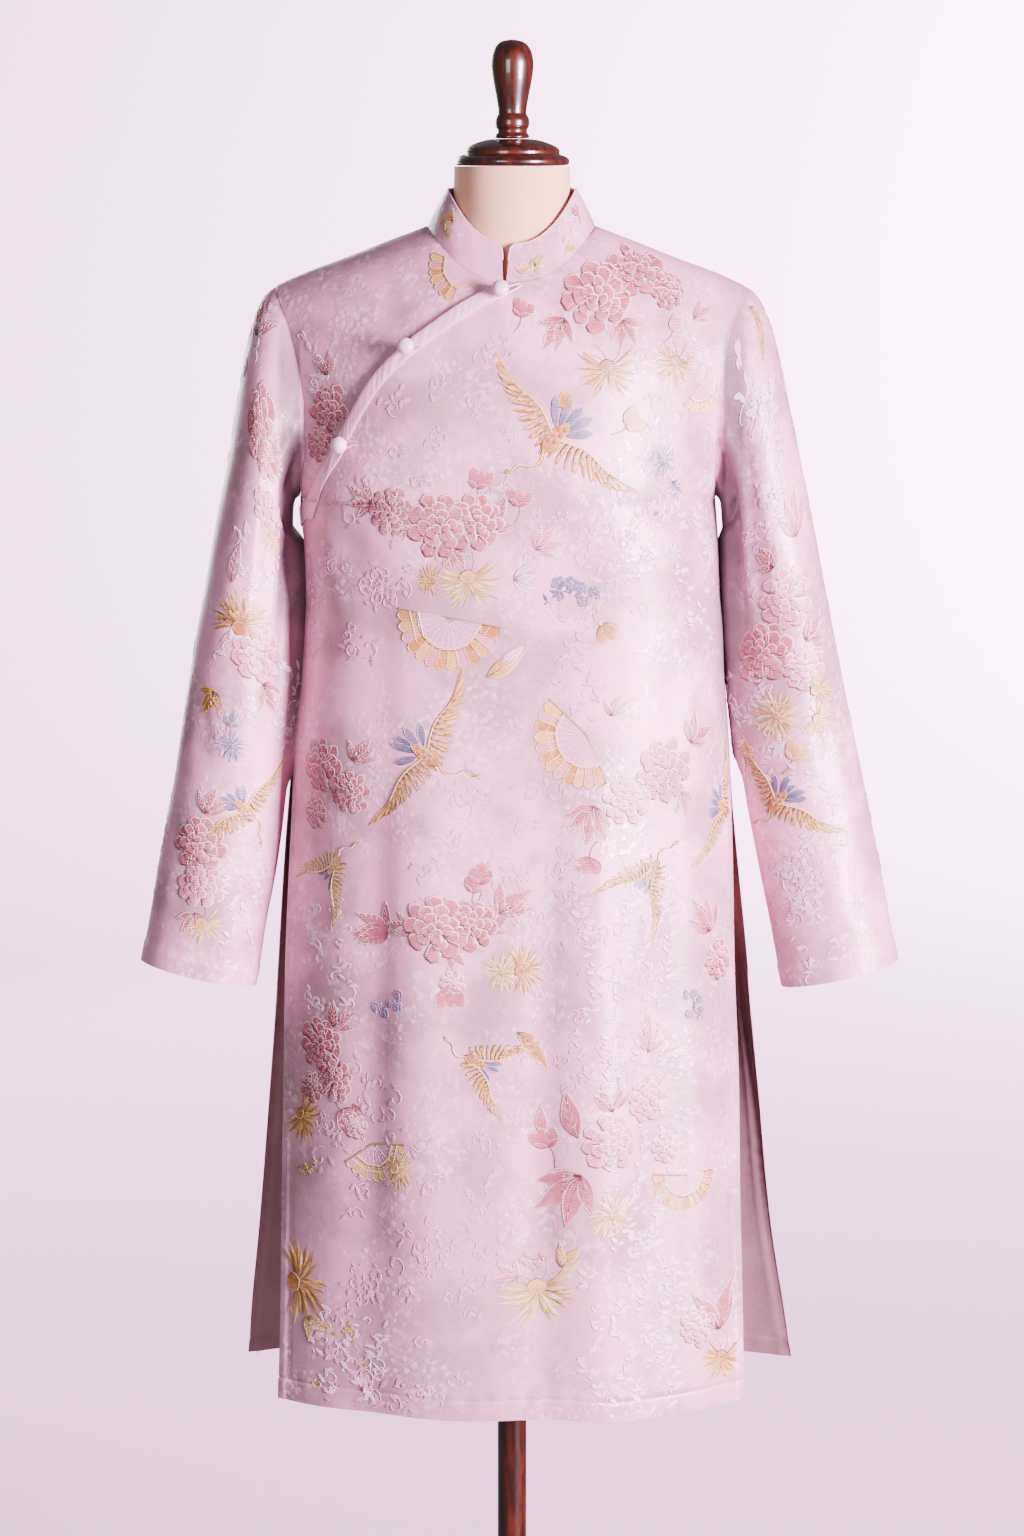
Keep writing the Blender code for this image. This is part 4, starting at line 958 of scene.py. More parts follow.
@dataclass
class SleeveGround:
    """A sleeve's outer face as something to weave on, with the lift of its cloth at a ring."""

    WIDEST_ANGLE: ClassVar[float] = 195.0
    surface: SleeveSurface
    lift: Callable[[np.ndarray], np.ndarray]

    def __post_init__(self) -> None:
        """Lengths run towards -X on the sleeve at +X."""
        self.right = -self.surface.mirror

    def start(self, x: float, height: float) -> tuple[float, float]:
        """Where a motif's middle lies on the flat cloth: x is seen from in front, or in degrees."""
        if abs(x) < self.WIDEST_ANGLE:
            return float(self.surface.around(math.radians(x))), height
        ring = self.surface.ring_at(height)
        inner, outer = (float(self.surface.columns[name](ring)) for name in ("inner_x", "outer_x"))
        share = np.clip(2 * (abs(x) - inner) / (outer - inner) - 1, -0.98, 0.98)
        return math.acos(share) * self.surface.RADIUS, height

    def put(self, along: np.ndarray, height: np.ndarray, off: np.ndarray) -> tuple[Points, np.ndarray]:
        """Points of the flat cloth where they hang, and whether the sleeve reaches them."""
        ring = self.surface.ring_at(height)
        reached = (ring > 0.35) & (ring < self.surface.last - 0.04)
        angle = along / self.surface.RADIUS
        points, _ = self.surface.surface(ring, angle, self.lift(ring) + off)
        return points, reached


def grid_faces(rows: int, columns: int, wrap: bool, first: int = 0) -> np.ndarray:
    """The four corners of each face of a grid of vertices.

    Args:
        rows: rows of vertices.
        columns: vertices in a row.
        wrap: whether each row closes on itself.
        first: number of the first vertex.

    Returns:
        One row of four vertex numbers for each face.
    """
    r, c = np.meshgrid(np.arange(rows - 1), np.arange(columns if wrap else columns - 1), indexing="ij")
    after = (c + 1) % columns
    corners = [r * columns + c, r * columns + after, (r + 1) * columns + after, (r + 1) * columns + c]
    return np.stack([corner.ravel() for corner in corners], axis=-1) + first


def strip_faces(first: np.ndarray, second: np.ndarray, closed: bool) -> np.ndarray:
    """Faces between two matching lines of vertex numbers."""
    if closed:
        first, second = np.append(first, first[0]), np.append(second, second[0])
    return np.stack([first[:-1], first[1:], second[1:], second[:-1]], axis=-1)


def outline_numbers(rows: int, columns: int) -> np.ndarray:
    """Vertex numbers round the outside of an open grid, in order."""
    numbers = np.arange(rows * columns).reshape(rows, columns)
    return np.concatenate([numbers[0], numbers[1:-1, -1], numbers[-1, ::-1], numbers[-2:0:-1, 0]])


def add_mesh(
    name: str,
    points: Points,
    faces: np.ndarray,
    materials: Sequence[bpy.types.Material],
    slots: np.ndarray | None = None,
    sharp: float = 45,
) -> bpy.types.Object:
    """Turns points in millimetres into a smooth object of the scene.

    Args:
        name: the object's name.
        points: its vertices.
        faces: vertex numbers of each face.
        materials: its materials.
        slots: the material's number for each face, all 0 if left out.
        sharp: edges that turn by more than this angle in degrees stay sharp.

    Returns:
        The object.
    """
    mesh = bpy.data.meshes.new(name)
    mesh.from_pydata((np.asarray(points) * MM).tolist(), [], faces.tolist())
    if slots is not None:
        mesh.polygons.foreach_set("material_index", slots.astype(np.int32))
    mesh.shade_smooth()
    mesh.set_sharp_from_angle(angle=math.radians(sharp))
    for material in materials:
        mesh.materials.append(material)
    mesh.update()
    made = bpy.data.objects.new(name, mesh)
    bpy.context.scene.collection.objects.link(made)
    return made


def add_cloth(
    name: str,
    outer: Points,
    normals: Points,
    thick: float | np.ndarray,
    materials: Sequence[bpy.types.Material],
    wrap: bool = False,
) -> bpy.types.Object:
    """A wall of cloth behind a grid of points, with its own wrong side and cut edge.

    Args:
        name: the object's name.
        outer: the outer face's points, in rows.
        normals: its outward normals.
        thick: the wall's thickness, for all of it or for each point.
        materials: those of the outside, the inside and the cut edge.
        wrap: whether each row closes on itself.

    Returns:
        The object.
    """
    rows, columns = outer.shape[:2]
    inner = outer - normals * (np.ones((rows, columns)) * thick)[..., None]
    count = rows * columns
    front = grid_faces(rows, columns, wrap)
    back = front[:, ::-1] + count
    if wrap:
        top, low = np.arange(columns), np.arange(count - columns, count)
        rim = np.concatenate([strip_faces(top + count, top, True), strip_faces(low, low + count, True)])
    else:
        edge = outline_numbers(rows, columns)
        rim = strip_faces(edge + count, edge, True)
    points = np.concatenate([outer.reshape(-1, 3), inner.reshape(-1, 3)])
    corners = points[front[len(front) // 2]]
    facing = np.cross(corners[1] - corners[0], corners[3] - corners[0])
    faces = np.concatenate([front, back, rim])
    if np.dot(facing, normals.reshape(-1, 3)[front[len(front) // 2][0]]) < 0:
        faces = faces[:, ::-1]
    slots = np.repeat(np.arange(len(materials)), [len(front), len(back), len(rim)])
    return add_mesh(name, points, faces, materials, slots)


def cloth_area(outer: Points, wrap: bool = False) -> float:
    """Area of a grid of points in square metres, to three places."""
    grid = np.concatenate([outer, outer[:, :1]], axis=1) if wrap else outer
    first, second = grid[1:, 1:] - grid[:-1, :-1], grid[1:, :-1] - grid[:-1, 1:]
    return round(float(np.linalg.norm(np.cross(first, second), axis=-1).sum() / 2) * MM * MM, 4)


def tube(path: Points, radius: float, sides: int = 8) -> tuple[Points, np.ndarray]:
    """A round cord along a path.

    Args:
        path: the points of its middle.
        radius: its radius.
        sides: its number of sides.

    Returns:
        Its vertices and faces.
    """
    tangent = unit(np.gradient(path, axis=0))
    side = unit(np.cross(tangent, [0.13, 0.07, 1.0]))
    up = np.cross(side, tangent)
    turn = np.linspace(0, 2 * math.pi, sides, endpoint=False)
    ring = np.cos(turn)[None, :, None] * side[:, None] + np.sin(turn)[None, :, None] * up[:, None]
    points = (path[:, None] + ring * radius).reshape(-1, 3)
    return points, grid_faces(len(path), sides, True)[:, ::-1]


@dataclass(frozen=True)
class Dye:
    """Thread colours of one motif: body, depths, and a painted highlight and shade for raised edges, also used plain.
    """

    fill: Colour
    core: Colour
    edge: Colour
    shade: Colour


class Silk(Enum):
    """The threads that the brocade is woven from."""

    # Third and fourth colours: painted highlight and shade of raised edges, woven plain in some motifs
    PEONY = Dye(srgb(204, 104, 126), srgb(134, 56, 70), srgb(255, 200, 216), srgb(88, 32, 42))
    BLUSH = Dye(srgb(230, 138, 168), srgb(176, 90, 116), srgb(255, 218, 236), srgb(118, 54, 72))
    GOLD = Dye(srgb(200, 130, 62), srgb(126, 70, 26), srgb(255, 208, 124), srgb(80, 42, 16))
    STRAW = Dye(srgb(230, 174, 110), srgb(172, 112, 58), srgb(255, 234, 176), srgb(110, 68, 36))
    SLATE = Dye(srgb(124, 110, 150), srgb(72, 60, 98), srgb(214, 200, 232), srgb(48, 40, 66))
    SILVER = Dye(srgb(246, 202, 230), srgb(212, 154, 194), srgb(255, 240, 252), srgb(132, 78, 112))
    SELF = Dye(srgb(232, 156, 198), srgb(206, 132, 172), srgb(250, 194, 226), srgb(168, 100, 138))


LAYER = 0.2
PATCH_DOME = 0.34
BASE_OFF = 0.35


def mixed(first: Colour, second: Colour, part: np.ndarray | float) -> np.ndarray:
    """Colours between two, one row for each part from 0 to 1."""
    part = np.atleast_1d(np.asarray(part, float))[:, None]
    return np.asarray(first) * (1 - part) + np.asarray(second) * part


def petal_outline(
    length: float, width: float, fullest: float = 1.0, blunt: float = 0.7, notches: float = 0.0,
    phase: float = 0.0, steps: int = 7,
) -> np.ndarray:
    """Outline of a petal or a leaf that grows from the origin along +b.

    Args:
        length: its length.
        width: its greatest width.
        fullest: over 1 puts the greatest width nearer the tip.
        blunt: under 1 makes the ends rounder.
        notches: how deep its far edge is scalloped, as a share of its width.
        phase: shifts the scallops.
        steps: points along each side.

    Returns:
        Points in order round it, one row each.
    """
    s = np.linspace(0, 1, steps + 1)
    half = width / 2 * np.sin(np.pi * s**fullest) ** blunt
    ripple = 1 + notches * np.sin(s * 11 + phase) * s
    right = np.stack([half * ripple, s * length], axis=-1)
    left = np.stack([-half * (1 + notches * np.sin(s * 9 + phase + 2) * s), s * length], axis=-1)
    return np.concatenate([right, left[-2:0:-1]])


def turned(points: np.ndarray, angle: float, shift: Sequence[float] = (0, 0), scale: float = 1) -> np.ndarray:
    """Points turned clockwise from +b by an angle in degrees, then shifted."""
    c, s = math.cos(math.radians(angle)), math.sin(math.radians(angle))
    points = np.asarray(points, float) * scale
    return np.stack([points[:, 0] * c + points[:, 1] * s, points[:, 1] * c - points[:, 0] * s], axis=-1) + shift


def bent(points: np.ndarray, bend: float) -> np.ndarray:
    """Points bent sideways, more the further they lie along +b."""
    points = np.array(points, float)
    points[:, 0] += bend * points[:, 1] * np.abs(points[:, 1])
    return points


def through(points: Sequence[Point2], count: int = 24) -> np.ndarray:
    """A smooth line through a few points."""
    knots = np.asarray(points, float)
    places = np.concatenate([[0], np.cumsum(np.linalg.norm(np.diff(knots, axis=0), axis=1))])
    at = np.linspace(0, places[-1], count)
    slopes = np.gradient(knots, places, axis=0)
    k = np.clip(np.searchsorted(places, at) - 1, 0, len(places) - 2)
    span = (places[k + 1] - places[k])[:, None]
    t = (at - places[k])[:, None] / span
    start = (1 + 2 * t) * (1 - t) ** 2 * knots[k] + t * (1 - t) ** 2 * span * slopes[k]
    return start + t * t * (3 - 2 * t) * knots[k + 1] + t * t * (t - 1) * span * slopes[k + 1]


@dataclass(frozen=True)
class Petals:
    """A row of petals; lengths are shares of the flower's radius and angles are in degrees."""

    count: int
    start: float
    reach: float
    width: float
    spread: float = 360
    fullest: float = 1.35
    blunt: float = 0.5
    ruffle: float = 0.0
    curl: float = 0.0
    veins: int = 0
    line: float = 1.0
    jitter: float = 6
    steps: int = 6


PEONY_ROWS = (
    Petals(9, 0.48, 0.62, 0.52, ruffle=0.20, veins=2, line=2.0),
    Petals(7, 0.28, 0.54, 0.46, ruffle=0.18, veins=2, line=2.0),
    Petals(5, 0.12, 0.42, 0.38, ruffle=0.14, veins=1, line=1.8),
    Petals(3, 0.02, 0.28, 0.28, ruffle=0.10, line=1.6),
)
NARROW = {"fullest": 1.4, "blunt": 0.75, "curl": 0.010, "line": 0.0, "steps": 4}
ROSETTE_ROWS = (
    Petals(34, 0.05, 0.97, 0.105, **NARROW), Petals(26, 0.04, 0.74, 0.10, **NARROW),
    Petals(16, 0, 0.46, 0.10, **NARROW),
)
HALF_ROWS = (
    Petals(25, 0.1, 0.97, 0.10, 230, **NARROW), Petals(19, 0.06, 0.78, 0.10, 186, **NARROW),
    Petals(13, 0.02, 0.54, 0.10, 130, **NARROW),
)
BLOSSOM_ROW = Petals(5, 0.05, 0.95, 0.85, line=0.8, steps=4)
TAIL_ROW = Petals(5, 0.35, 1.0, 0.30, 90, line=1.0, steps=5)


class Threadwork:
    """Coloured triangles, each vertex with the number of the part that it is kept or dropped with."""

    def __init__(self) -> None:
        """Starts empty."""
        self.heap: list[tuple[np.ndarray, ...]] = []
        self.count = self.groups = 0

    def add(
        self, points: np.ndarray, colours: np.ndarray, faces: np.ndarray, parts: np.ndarray | int = 1, groups: int = 1
    ) -> None:
        """Adds vertices (across, up, off the cloth), a colour for each, and triangles.

        Args:
            points: the vertices.
            colours: their colours.
            faces: three vertex numbers for each triangle.
            parts: their parts, from 1; 0 goes with the part before.
            groups: how many parts these are.
        """
        self.heap.append((points, colours, faces + self.count, np.full(len(points), parts) + self.groups))
        self.count += len(points)
        self.groups += groups

    def whole(self) -> tuple[np.ndarray, ...]:
        """All points, colours, faces and parts."""
        return tuple(np.concatenate(column) for column in zip(*self.heap))


class Sketch(Threadwork):
    """A flat drawing in thread, in millimetres: domed patches, and raised lines over them."""

    def __init__(self, seed: int = 0) -> None:
        """Starts empty, with its own run of chance."""
        super().__init__()
        self.chance = random.Random(seed)

    def vary(self, amount: float) -> float:
        """A number between -amount and amount."""
        return self.chance.uniform(-amount, amount)

    def patch(
        self, outline: np.ndarray, dye: Dye, layer: float = 0, deep: float = 1.0, line: float = 1.0,
        root: Point2 | None = None,
    ) -> None:
        """Adds a domed patch with a raised edge in painted highlight and shade.

        Args:
            outline: points round it, in order.
            dye: its threads.
            layer: which layer it lies in, from 0.
            deep: how much darker it is at its root than at its tip.
            line: width of the raised edge with its painted light and shade, 0 for none.
            root: where it is darkest; the first point if left out.
        """
        count = len(outline)
        middle = outline.mean(axis=0)
        flat = np.concatenate([middle[None], outline])
        low = BASE_OFF + LAYER * layer
        off = np.concatenate([[low + PATCH_DOME], np.full(count, low)])
        away = np.linalg.norm(flat - (outline[0] if root is None else root), axis=1)
        away = away / max(away.max(), 1e-6)
        tone = self.chance.uniform(0.55, 1.0)
        colours = mixed(dye.core, dye.fill, tone * (1 - deep * (1 - away) ** 1.2))
        k = np.arange(count)
        fan = np.stack([np.zeros(count, int), k + 1, (k + 1) % count + 1], axis=-1)
        self.add(np.column_stack([flat, off]), colours, fan)
        if line > 0:
            self.line(outline, dye, line, layer, closed=True, joined=True)

    def line(
        self, path: np.ndarray, dye: Dye, width: float = 1.1, layer: float = 0, closed: bool = False,
        plain: float | None = None, joined: bool = False, taper: float = 0.0,
    ) -> None:
        """Adds a raised line of thread, painted with a highlight where it faces up and shade where it faces down.

        Args:
            path: its points.
            dye: its threads.
            width: its width.
            layer: which layer it lies on.
            closed: whether it runs back to its start.
            plain: 0 to 1 for one even colour from shade to edge, in place of the painted light and shade.
            joined: whether it goes with the patch before it.
            taper: how much thinner its far end is.
        """
        count = len(path)
        before, after = (np.roll(path, 1, axis=0), np.roll(path, -1, axis=0)) if closed else (None, None)
        tangent = after - before if closed else np.gradient(path, axis=0)
        tangent = unit(tangent)
        normal = np.stack([tangent[:, 1], -tangent[:, 0]], axis=-1)
        size = width / 2 * (1 - taper * np.linspace(0, 1, count))[:, None]
        low = BASE_OFF + LAYER * layer - 0.12
        flat = np.stack([path + normal * size, path, path - normal * size], axis=1)
        off = np.tile([low, low + 0.12 + min(width, 1.6) * 0.24, low], (count, 1))
        turning = 1.0
        if closed:
            turning = math.copysign(1, float(np.sum(path[:, 0] * after[:, 1] - path[:, 1] * after[:, 0])))
        # Painted highlight and shade: a point takes the highlight colour as its edge faces up and right, the shade as
        # it faces down
        lit = np.full(count, plain) if plain is not None else 0.56 + 0.75 * turning * (
            normal[:, 1] * 0.8 + normal[:, 0] * 0.45
        )
        lit = np.clip(lit, 0, 1) ** 0.8
        # Painted shade along the outer side of a closed outline, where a petal meets what lies round it
        sides = (0.25, 1.0, 0.8) if turning > 0 else (0.8, 1.0, 0.25)
        colours = mixed(dye.shade, dye.edge, np.outer(lit, sides if closed and plain is None else (1, 1, 1)).ravel())
        rows = np.arange(count * 3).reshape(count, 3)
        if closed:
            rows = np.concatenate([rows, rows[:1]])
        quads = [(rows[:-1, j], rows[1:, j], rows[1:, j + 1], rows[:-1, j + 1]) for j in (0, 1)]
        faces = [np.stack(tri, -1) for a, b, c, d in quads for tri in ((a, b, c), (a, c, d))]
        points = np.concatenate([flat, off[..., None]], axis=-1).reshape(-1, 3)
        self.add(points, colours, np.concatenate(faces), int(not joined), int(not joined))

    def petals(
        self, radius: float, row: Petals, dye: Dye, layer: float = 0, at: Point2 = (0, 0), angle: float = 0
    ) -> None:
        """Adds a row of petals round a point.

        Args:
            radius: the flower's radius.
            row: how many petals, and their form.
            dye: their threads.
            layer: the layer of the first.
            at: the point.
            angle: which way the row's middle points, in degrees.
        """
        whole = row.spread > 359
        for k in range(row.count):
            part = k / row.count if whole else k / (row.count - 1) - 0.5
            turn = angle + part * row.spread + self.vary(row.jitter)
            length = radius * row.reach * (1 + self.vary(0.13))
            petal = petal_outline(
                length, radius * row.width * (1 + self.vary(0.15)), row.fullest, row.blunt, row.ruffle, self.vary(3),
                row.steps,
            )
            curl = row.curl * (math.copysign(1, part) if not whole else 1 - 2 * (k % 2)) * (1 + self.vary(0.5))
            root = turned(np.array([(0, radius * row.start)]), turn, at)[0]
            level = layer + 0.4 * (k % 2)
            silk = dye
            if not row.line:
                silk = Dye(dye.edge if k % 2 else dye.fill, dye.shade if k % 3 else dye.core, dye.edge, dye.shade)
            self.patch(turned(bent(petal, curl), turn, root), silk, level, 1.0, row.line)
            for v in range(row.veins):
                lean = (v - (row.veins - 1) / 2) * 26 + self.vary(6)
                vein = bent(np.stack([np.zeros(5), np.linspace(0.22, 0.78, 5) * length], -1), 0.010 * lean / 13)
                self.line(
                    turned(vein, turn + lean, root), dye, 0.9, level + 0.8, plain=0.9 - 0.75 * (v % 2),
                    joined=True, taper=0.6,
                )

    def stamp(
        self, other: "Sketch", shift: Sequence[float], angle: float = 0, scale: float = 1, raise_by: float = 0
    ) -> None:
        """Adds another sketch, turned, scaled and shifted, on a higher layer if wanted."""
        points, *rest = other.whole()
        flat = turned(points[:, :2], angle, shift, scale)
        self.add(np.column_stack([flat, points[:, 2] + raise_by * LAYER]), *rest, other.groups)


class Motifs:
    """The motifs of the brocade, each drawn about its own middle with +b up."""

    @staticmethod
    def peony(size: float, dye: Dye, seed: int) -> Sketch:
        """A full peony of ruffled petals that overlap inwards."""
        s = Sketch(seed)
        for layer, row in enumerate(PEONY_ROWS):
            s.petals(size, row, dye, layer, angle=s.vary(40))
        return s

    @staticmethod
    def leaf(size: float, dye: Dye, seed: int, extra: float = 0) -> Sketch:
        """A pointed leaf with a dark midrib and light veins."""
        s = Sketch(seed)
        bend, width = s.vary(0.010), size * (0.34 + extra)
        s.patch(bent(petal_outline(size, width, 0.85, 1.05, 0.09, s.vary(3), 7), bend), dye, 0.2, 0.8, 1.5)
        middle = bent(np.stack([np.zeros(6), np.linspace(0.04, 0.9, 6) * size], -1), bend)
        s.line(middle, dye, 1.1, 1.0, plain=0.0, joined=True, taper=0.6)
        for k in (1, 2, 3, 4):
            for side in (-1, 1):
                tip = middle[k] + [side * width * 0.34 * (1 - k / 7), size * 0.14]
                s.line(np.array([middle[k], tip]), dye, 0.8, 0.9, plain=0.85, joined=True, taper=0.5)
        return s

    @staticmethod
    def spray(size: float, dye: Dye, seed: int, extra: float = 0) -> Sketch:
        """Pointed leaves that fan out from one stem."""
        s = Sketch(seed)
        leaves = int(extra) or 5
        for k in range(leaves):
            off = k - (leaves - 1) / 2
            length = size * (1 - 0.34 * abs(off) / max(leaves / 2, 1)) * (1 + s.vary(0.1))
            s.stamp(Motifs.leaf(length, dye, seed + k), (0, 0), off * 128 / leaves + s.vary(8), raise_by=0.3 * (k % 2))
        return s

    @staticmethod
    def bud(size: float, dye: Dye, seed: int) -> Sketch:
        """A closed bud on a short stem."""
        s = Sketch(seed)
        s.line(through([(0, -size * 2.1), (size * 0.3, -size), (0, 0)], 6), dye, 1.2, 0, plain=0.1)
        s.petals(size, Petals(3, 0, 1.9, 1.1, 66, fullest=1.1, blunt=0.62, ruffle=0.06), dye, 0, (0, -size * 0.4))
        s.petals(size, Petals(2, 0, 1.1, 0.42, 120, fullest=0.9, blunt=0.9, line=0.9), dye, 1.6, (0, -size * 0.4))
        return s

    @staticmethod
    def chrysanthemum(size: float, dye: Dye, seed: int) -> Sketch:
        """A rosette of many narrow curled petals."""
        s = Sketch(seed)
        for layer, row in enumerate(ROSETTE_ROWS):
            s.petals(size, row, dye, layer * 0.9, angle=s.vary(20))
        ring = np.linspace(0, 2 * math.pi, 10, endpoint=False)
        s.patch(np.stack([np.sin(ring), np.cos(ring)], -1) * size * 0.13, dye, 3.4)
        return s

    @staticmethod
    def half(size: float, dye: Dye, seed: int) -> Sketch:
        """A chrysanthemum seen from the side, its petals rising out of a small cup."""
        s = Sketch(seed)
        for layer, row in enumerate(HALF_ROWS):
            s.petals(size, row, dye, layer * 0.9, (0, -size * 0.25))
        cup = petal_outline(size * 0.42, size * 0.5, 1.0, 0.6, steps=6)
        s.patch(turned(cup, 180, (0, -size * 0.12)), dye, 3)
        for angle in (-150, -118, 124, 156):
            curl = through([(0, 0), (size * 0.05, size * 0.5), (-size * 0.12, size * 0.85)], 8)
            s.line(turned(curl, angle + s.vary(9), (0, -size * 0.3)), dye, 0.9, 0.1, plain=0.2, taper=0.5)
        return s

    @staticmethod
    def fan(size: float, dye: Dye, seed: int, extra: float = 0) -> Sketch:
        """An open folding fan: a pale leaf of fine pleats, a scalloped border and two guard sticks."""
        s = Sketch(seed)
        spread = extra or 165
        pleats = max(int(spread / 13), 6)
        pale = Silk.SILVER.value

        def arc(low: float, high: float, reach: float, swell: float = 0) -> list[Point2]:
            """Points along an arc from one angle to another, swollen outwards at its middle."""
            steps = np.linspace(0, 1, 5)
            turns, reaches = np.radians(low + (high - low) * steps), size * (reach + swell * np.sin(steps * math.pi))
            return [(math.sin(v) * r, math.cos(v) * r) for v, r in zip(turns, reaches)]

        for k in range(pleats):
            a, b = ((k + e) / pleats * spread - spread / 2 for e in (0.04, 0.96))
            silk = (dye, Silk.BLUSH.value, Silk.STRAW.value)[k % 3]
            leaf = Dye(srgb(222, 146, 184), srgb(196, 120, 158), pale.edge, pale.core)
            s.patch(np.array(arc(a, b, 0.60) + arc(b, a, 0.10)), leaf, 0.2 + 0.3 * (k % 2), 1.0, 0.6, root=(0.0, 0.0))
            s.patch(
                np.array(arc(a, b, 0.92, 0.07) + arc(b, a, 0.62)), silk, 0.6 + 0.3 * (k % 2), 1.0, 0, root=(0.0, 0.0)
            )
            s.line(np.array(arc(a, b, 0.92, 0.07) + arc(b, a, 0.62)), dye, 1.2, 1.0 + 0.3 * (k % 2), closed=True)
        for reach, width in ((0.60, 1.5), (0.77, 1.0)):
            s.line(np.array(arc(-spread / 2, spread / 2, reach)), dye, width, 1.8, plain=0.9)
        for side in (-1, 1):
            s.line(np.array([(0, 0), *arc(side * spread / 2, side * spread / 2, 0.98)[:1]]), dye, 2.2, 1.6, plain=0.15)
        return s

    @staticmethod
    def wing(length: float, dye: Dye, seed: int, side: int) -> Sketch:
        """A spread wing along +b, its long feathers trailing to one side."""
        s = Sketch(seed)
        plumes = dye, Dye(dye.edge, dye.shade, dye.fill, dye.shade)
        arm = through([(0, 0), (-side * length * 0.05, length * 0.34), (side * length * 0.04, length * 0.72)], 12)
        rows = (
            (17, 0.26, 0.20, 118, 112, 0.046, 0.3), (14, 0.17, 0.05, 112, 84, 0.048, 1.3),
            (11, 0.09, 0.0, 104, 60, 0.046, 2.3),
        )
        for count, size, more, first, swing, width, layer in rows:
            for k in range(count):
                t = k / (count - 1)
                feather = petal_outline(length * (size + more * t * t), length * width, 1.25, 0.7, 0, 0, 5)
                angle = side * (first - swing * t**1.1) + s.vary(2)
                root, level = arm[int(t * 11)], layer + 0.35 * (k % 2)
                s.patch(turned(bent(feather, side * -0.004), angle, root), plumes[k % 2], level, 1.0, 1.1)
        s.line(arm, dye, 1.6, 3.0, plain=0.9, taper=0.4)
        return s

    @staticmethod
    def crane(size: float, dye: Dye, seed: int, extra: float = 20) -> Sketch:
        """A crane in flight, seen from above: wings across, neck down, tail up.

        Its size is from wing tip to wing tip. The extra is how far the wings sweep back in degrees;
        under 0, the neck curls the other way.
        """
        s = Sketch(seed)
        way = math.copysign(1, extra)
        s.petals(size * 0.17, TAIL_ROW, Silk.SLATE.value, 0.3)
        for side in (1, -1):
            wing = Motifs.wing(size * 0.52, dye, seed + side, side)
            s.stamp(wing, (side * size * 0.02, 0), side * (90 - abs(extra)))
        body = petal_outline(size * 0.24, size * 0.085, 0.8, 0.7, steps=8)
        s.patch(turned(body, 0, (0, -size * 0.12)), dye, 3.0, 0.6)
        for k in range(6):
            scale = petal_outline(size * 0.045, size * 0.03, 1.2, 0.5, steps=4)
            s.patch(turned(scale, 0, ((k % 2 - 0.5) * size * 0.03, size * (-0.06 + 0.022 * k))), dye, 4.0, 1.0, 0.8)
        neck = through([(0, -0.10), (0.035, -0.17), (0.01, -0.23), (-0.045, -0.27), (-0.05, -0.32)], 14)
        neck = neck * [way * size, size]
        s.line(neck, dye, size * 0.014, 2.4, plain=0.9, taper=0.35)
        s.line(neck + [size * 0.007, 0], dye, size * 0.007, 2.4, plain=0.0, taper=0.3)
        head = petal_outline(size * 0.042, size * 0.026, 0.8, 0.6, steps=5)
        s.patch(turned(head, 180 + 30 * way, neck[-1]), dye, 3.0, 0.5, 0.8)
        beak = turned(np.array([(0.0, 0.0), (0.0, size * 0.06)]), 180 + 48 * way, neck[-1] - [0, size * 0.02])
        s.line(beak, dye, size * 0.010, 3.0, plain=0.2, taper=0.8)
        return s

    @staticmethod
    def blossoms(size: float, dye: Dye, seed: int, extra: float = 0) -> Sketch:
        """Small five-petalled flowers and pointed leaves on a forked twig."""
        s = Sketch(seed)
        knots = [(-size, -size * 0.2), (-size * 0.3, s.vary(size * 0.3)), (size * 0.3, 0), (size, size * 0.4)]
        stem = through(knots, 16)
        s.line(stem, dye, 1.3, 0, plain=0.05, taper=0.5)
        count = int(extra) or 7
        for k in range(count):
            root = stem[3 + int(12 * k / count)]
            place = root + [s.vary(size * 0.24), s.vary(size * 0.5)]
            s.line(np.array([root, (root + place) / 2 + [1, 1], place]), dye, 0.9, 0, plain=0.1)
            radius = size * (0.20 + 0.08 * s.chance.random())
            s.petals(radius, BLOSSOM_ROW, dye, 0.6, place, s.vary(36))
            ring = np.linspace(0, 2 * math.pi, 7, endpoint=False)
            s.patch(place + np.stack([np.sin(ring), np.cos(ring)], -1) * radius * 0.2, dye, 1.8, 0.2, 0.9)
        for k in range(5):
            leaf = petal_outline(size * 0.34, size * 0.12, 0.9, 0.95, steps=5)
            s.patch(turned(leaf, s.vary(170), stem[1 + 3 * k]), dye, 0.3, 0.8, 0.9)
        return s

    @staticmethod
    def foliage(size: float, dye: Dye, seed: int, extra: float = 60) -> Sketch:
        """Small leaves and curls scattered along climbing stems; the extra is their width."""
        s = Sketch(seed)
        stems = max(int(extra / 24), 1)
        for n in range(stems):
            x = (n + 0.5 - stems / 2) * extra / stems + s.vary(5)
            stem = through([(x + s.vary(extra / stems * 0.5), y) for y in np.linspace(-size / 2, size / 2, 6)], 40)
            for k in range(int(size / 4.6)):
                root = stem[s.chance.randrange(2, 38)]
                side = 1 - 2 * (k % 2)
                length = s.chance.uniform(5.5, 12)
                outline = petal_outline(length, length * s.chance.uniform(0.3, 0.5), 0.9, 0.85, steps=4)
                angle = side * s.chance.uniform(20, 100)
                edge = 0.8 * (k % 2)
                s.patch(turned(bent(outline, s.vary(0.04)), angle, root), dye, 0.2 + 0.4 * s.chance.random(), 0.6, edge)
                if k % 3 == 0:
                    end = np.asarray(root) + [side * s.chance.uniform(7, 13), s.vary(7)]
                    curl = through([root, (root + end) / 2 + [0, 3], end, end + [-side * 2, -3]], 8)
                    s.line(curl, dye, 0.8, 0.2, plain=0.85, taper=0.4)
        return s

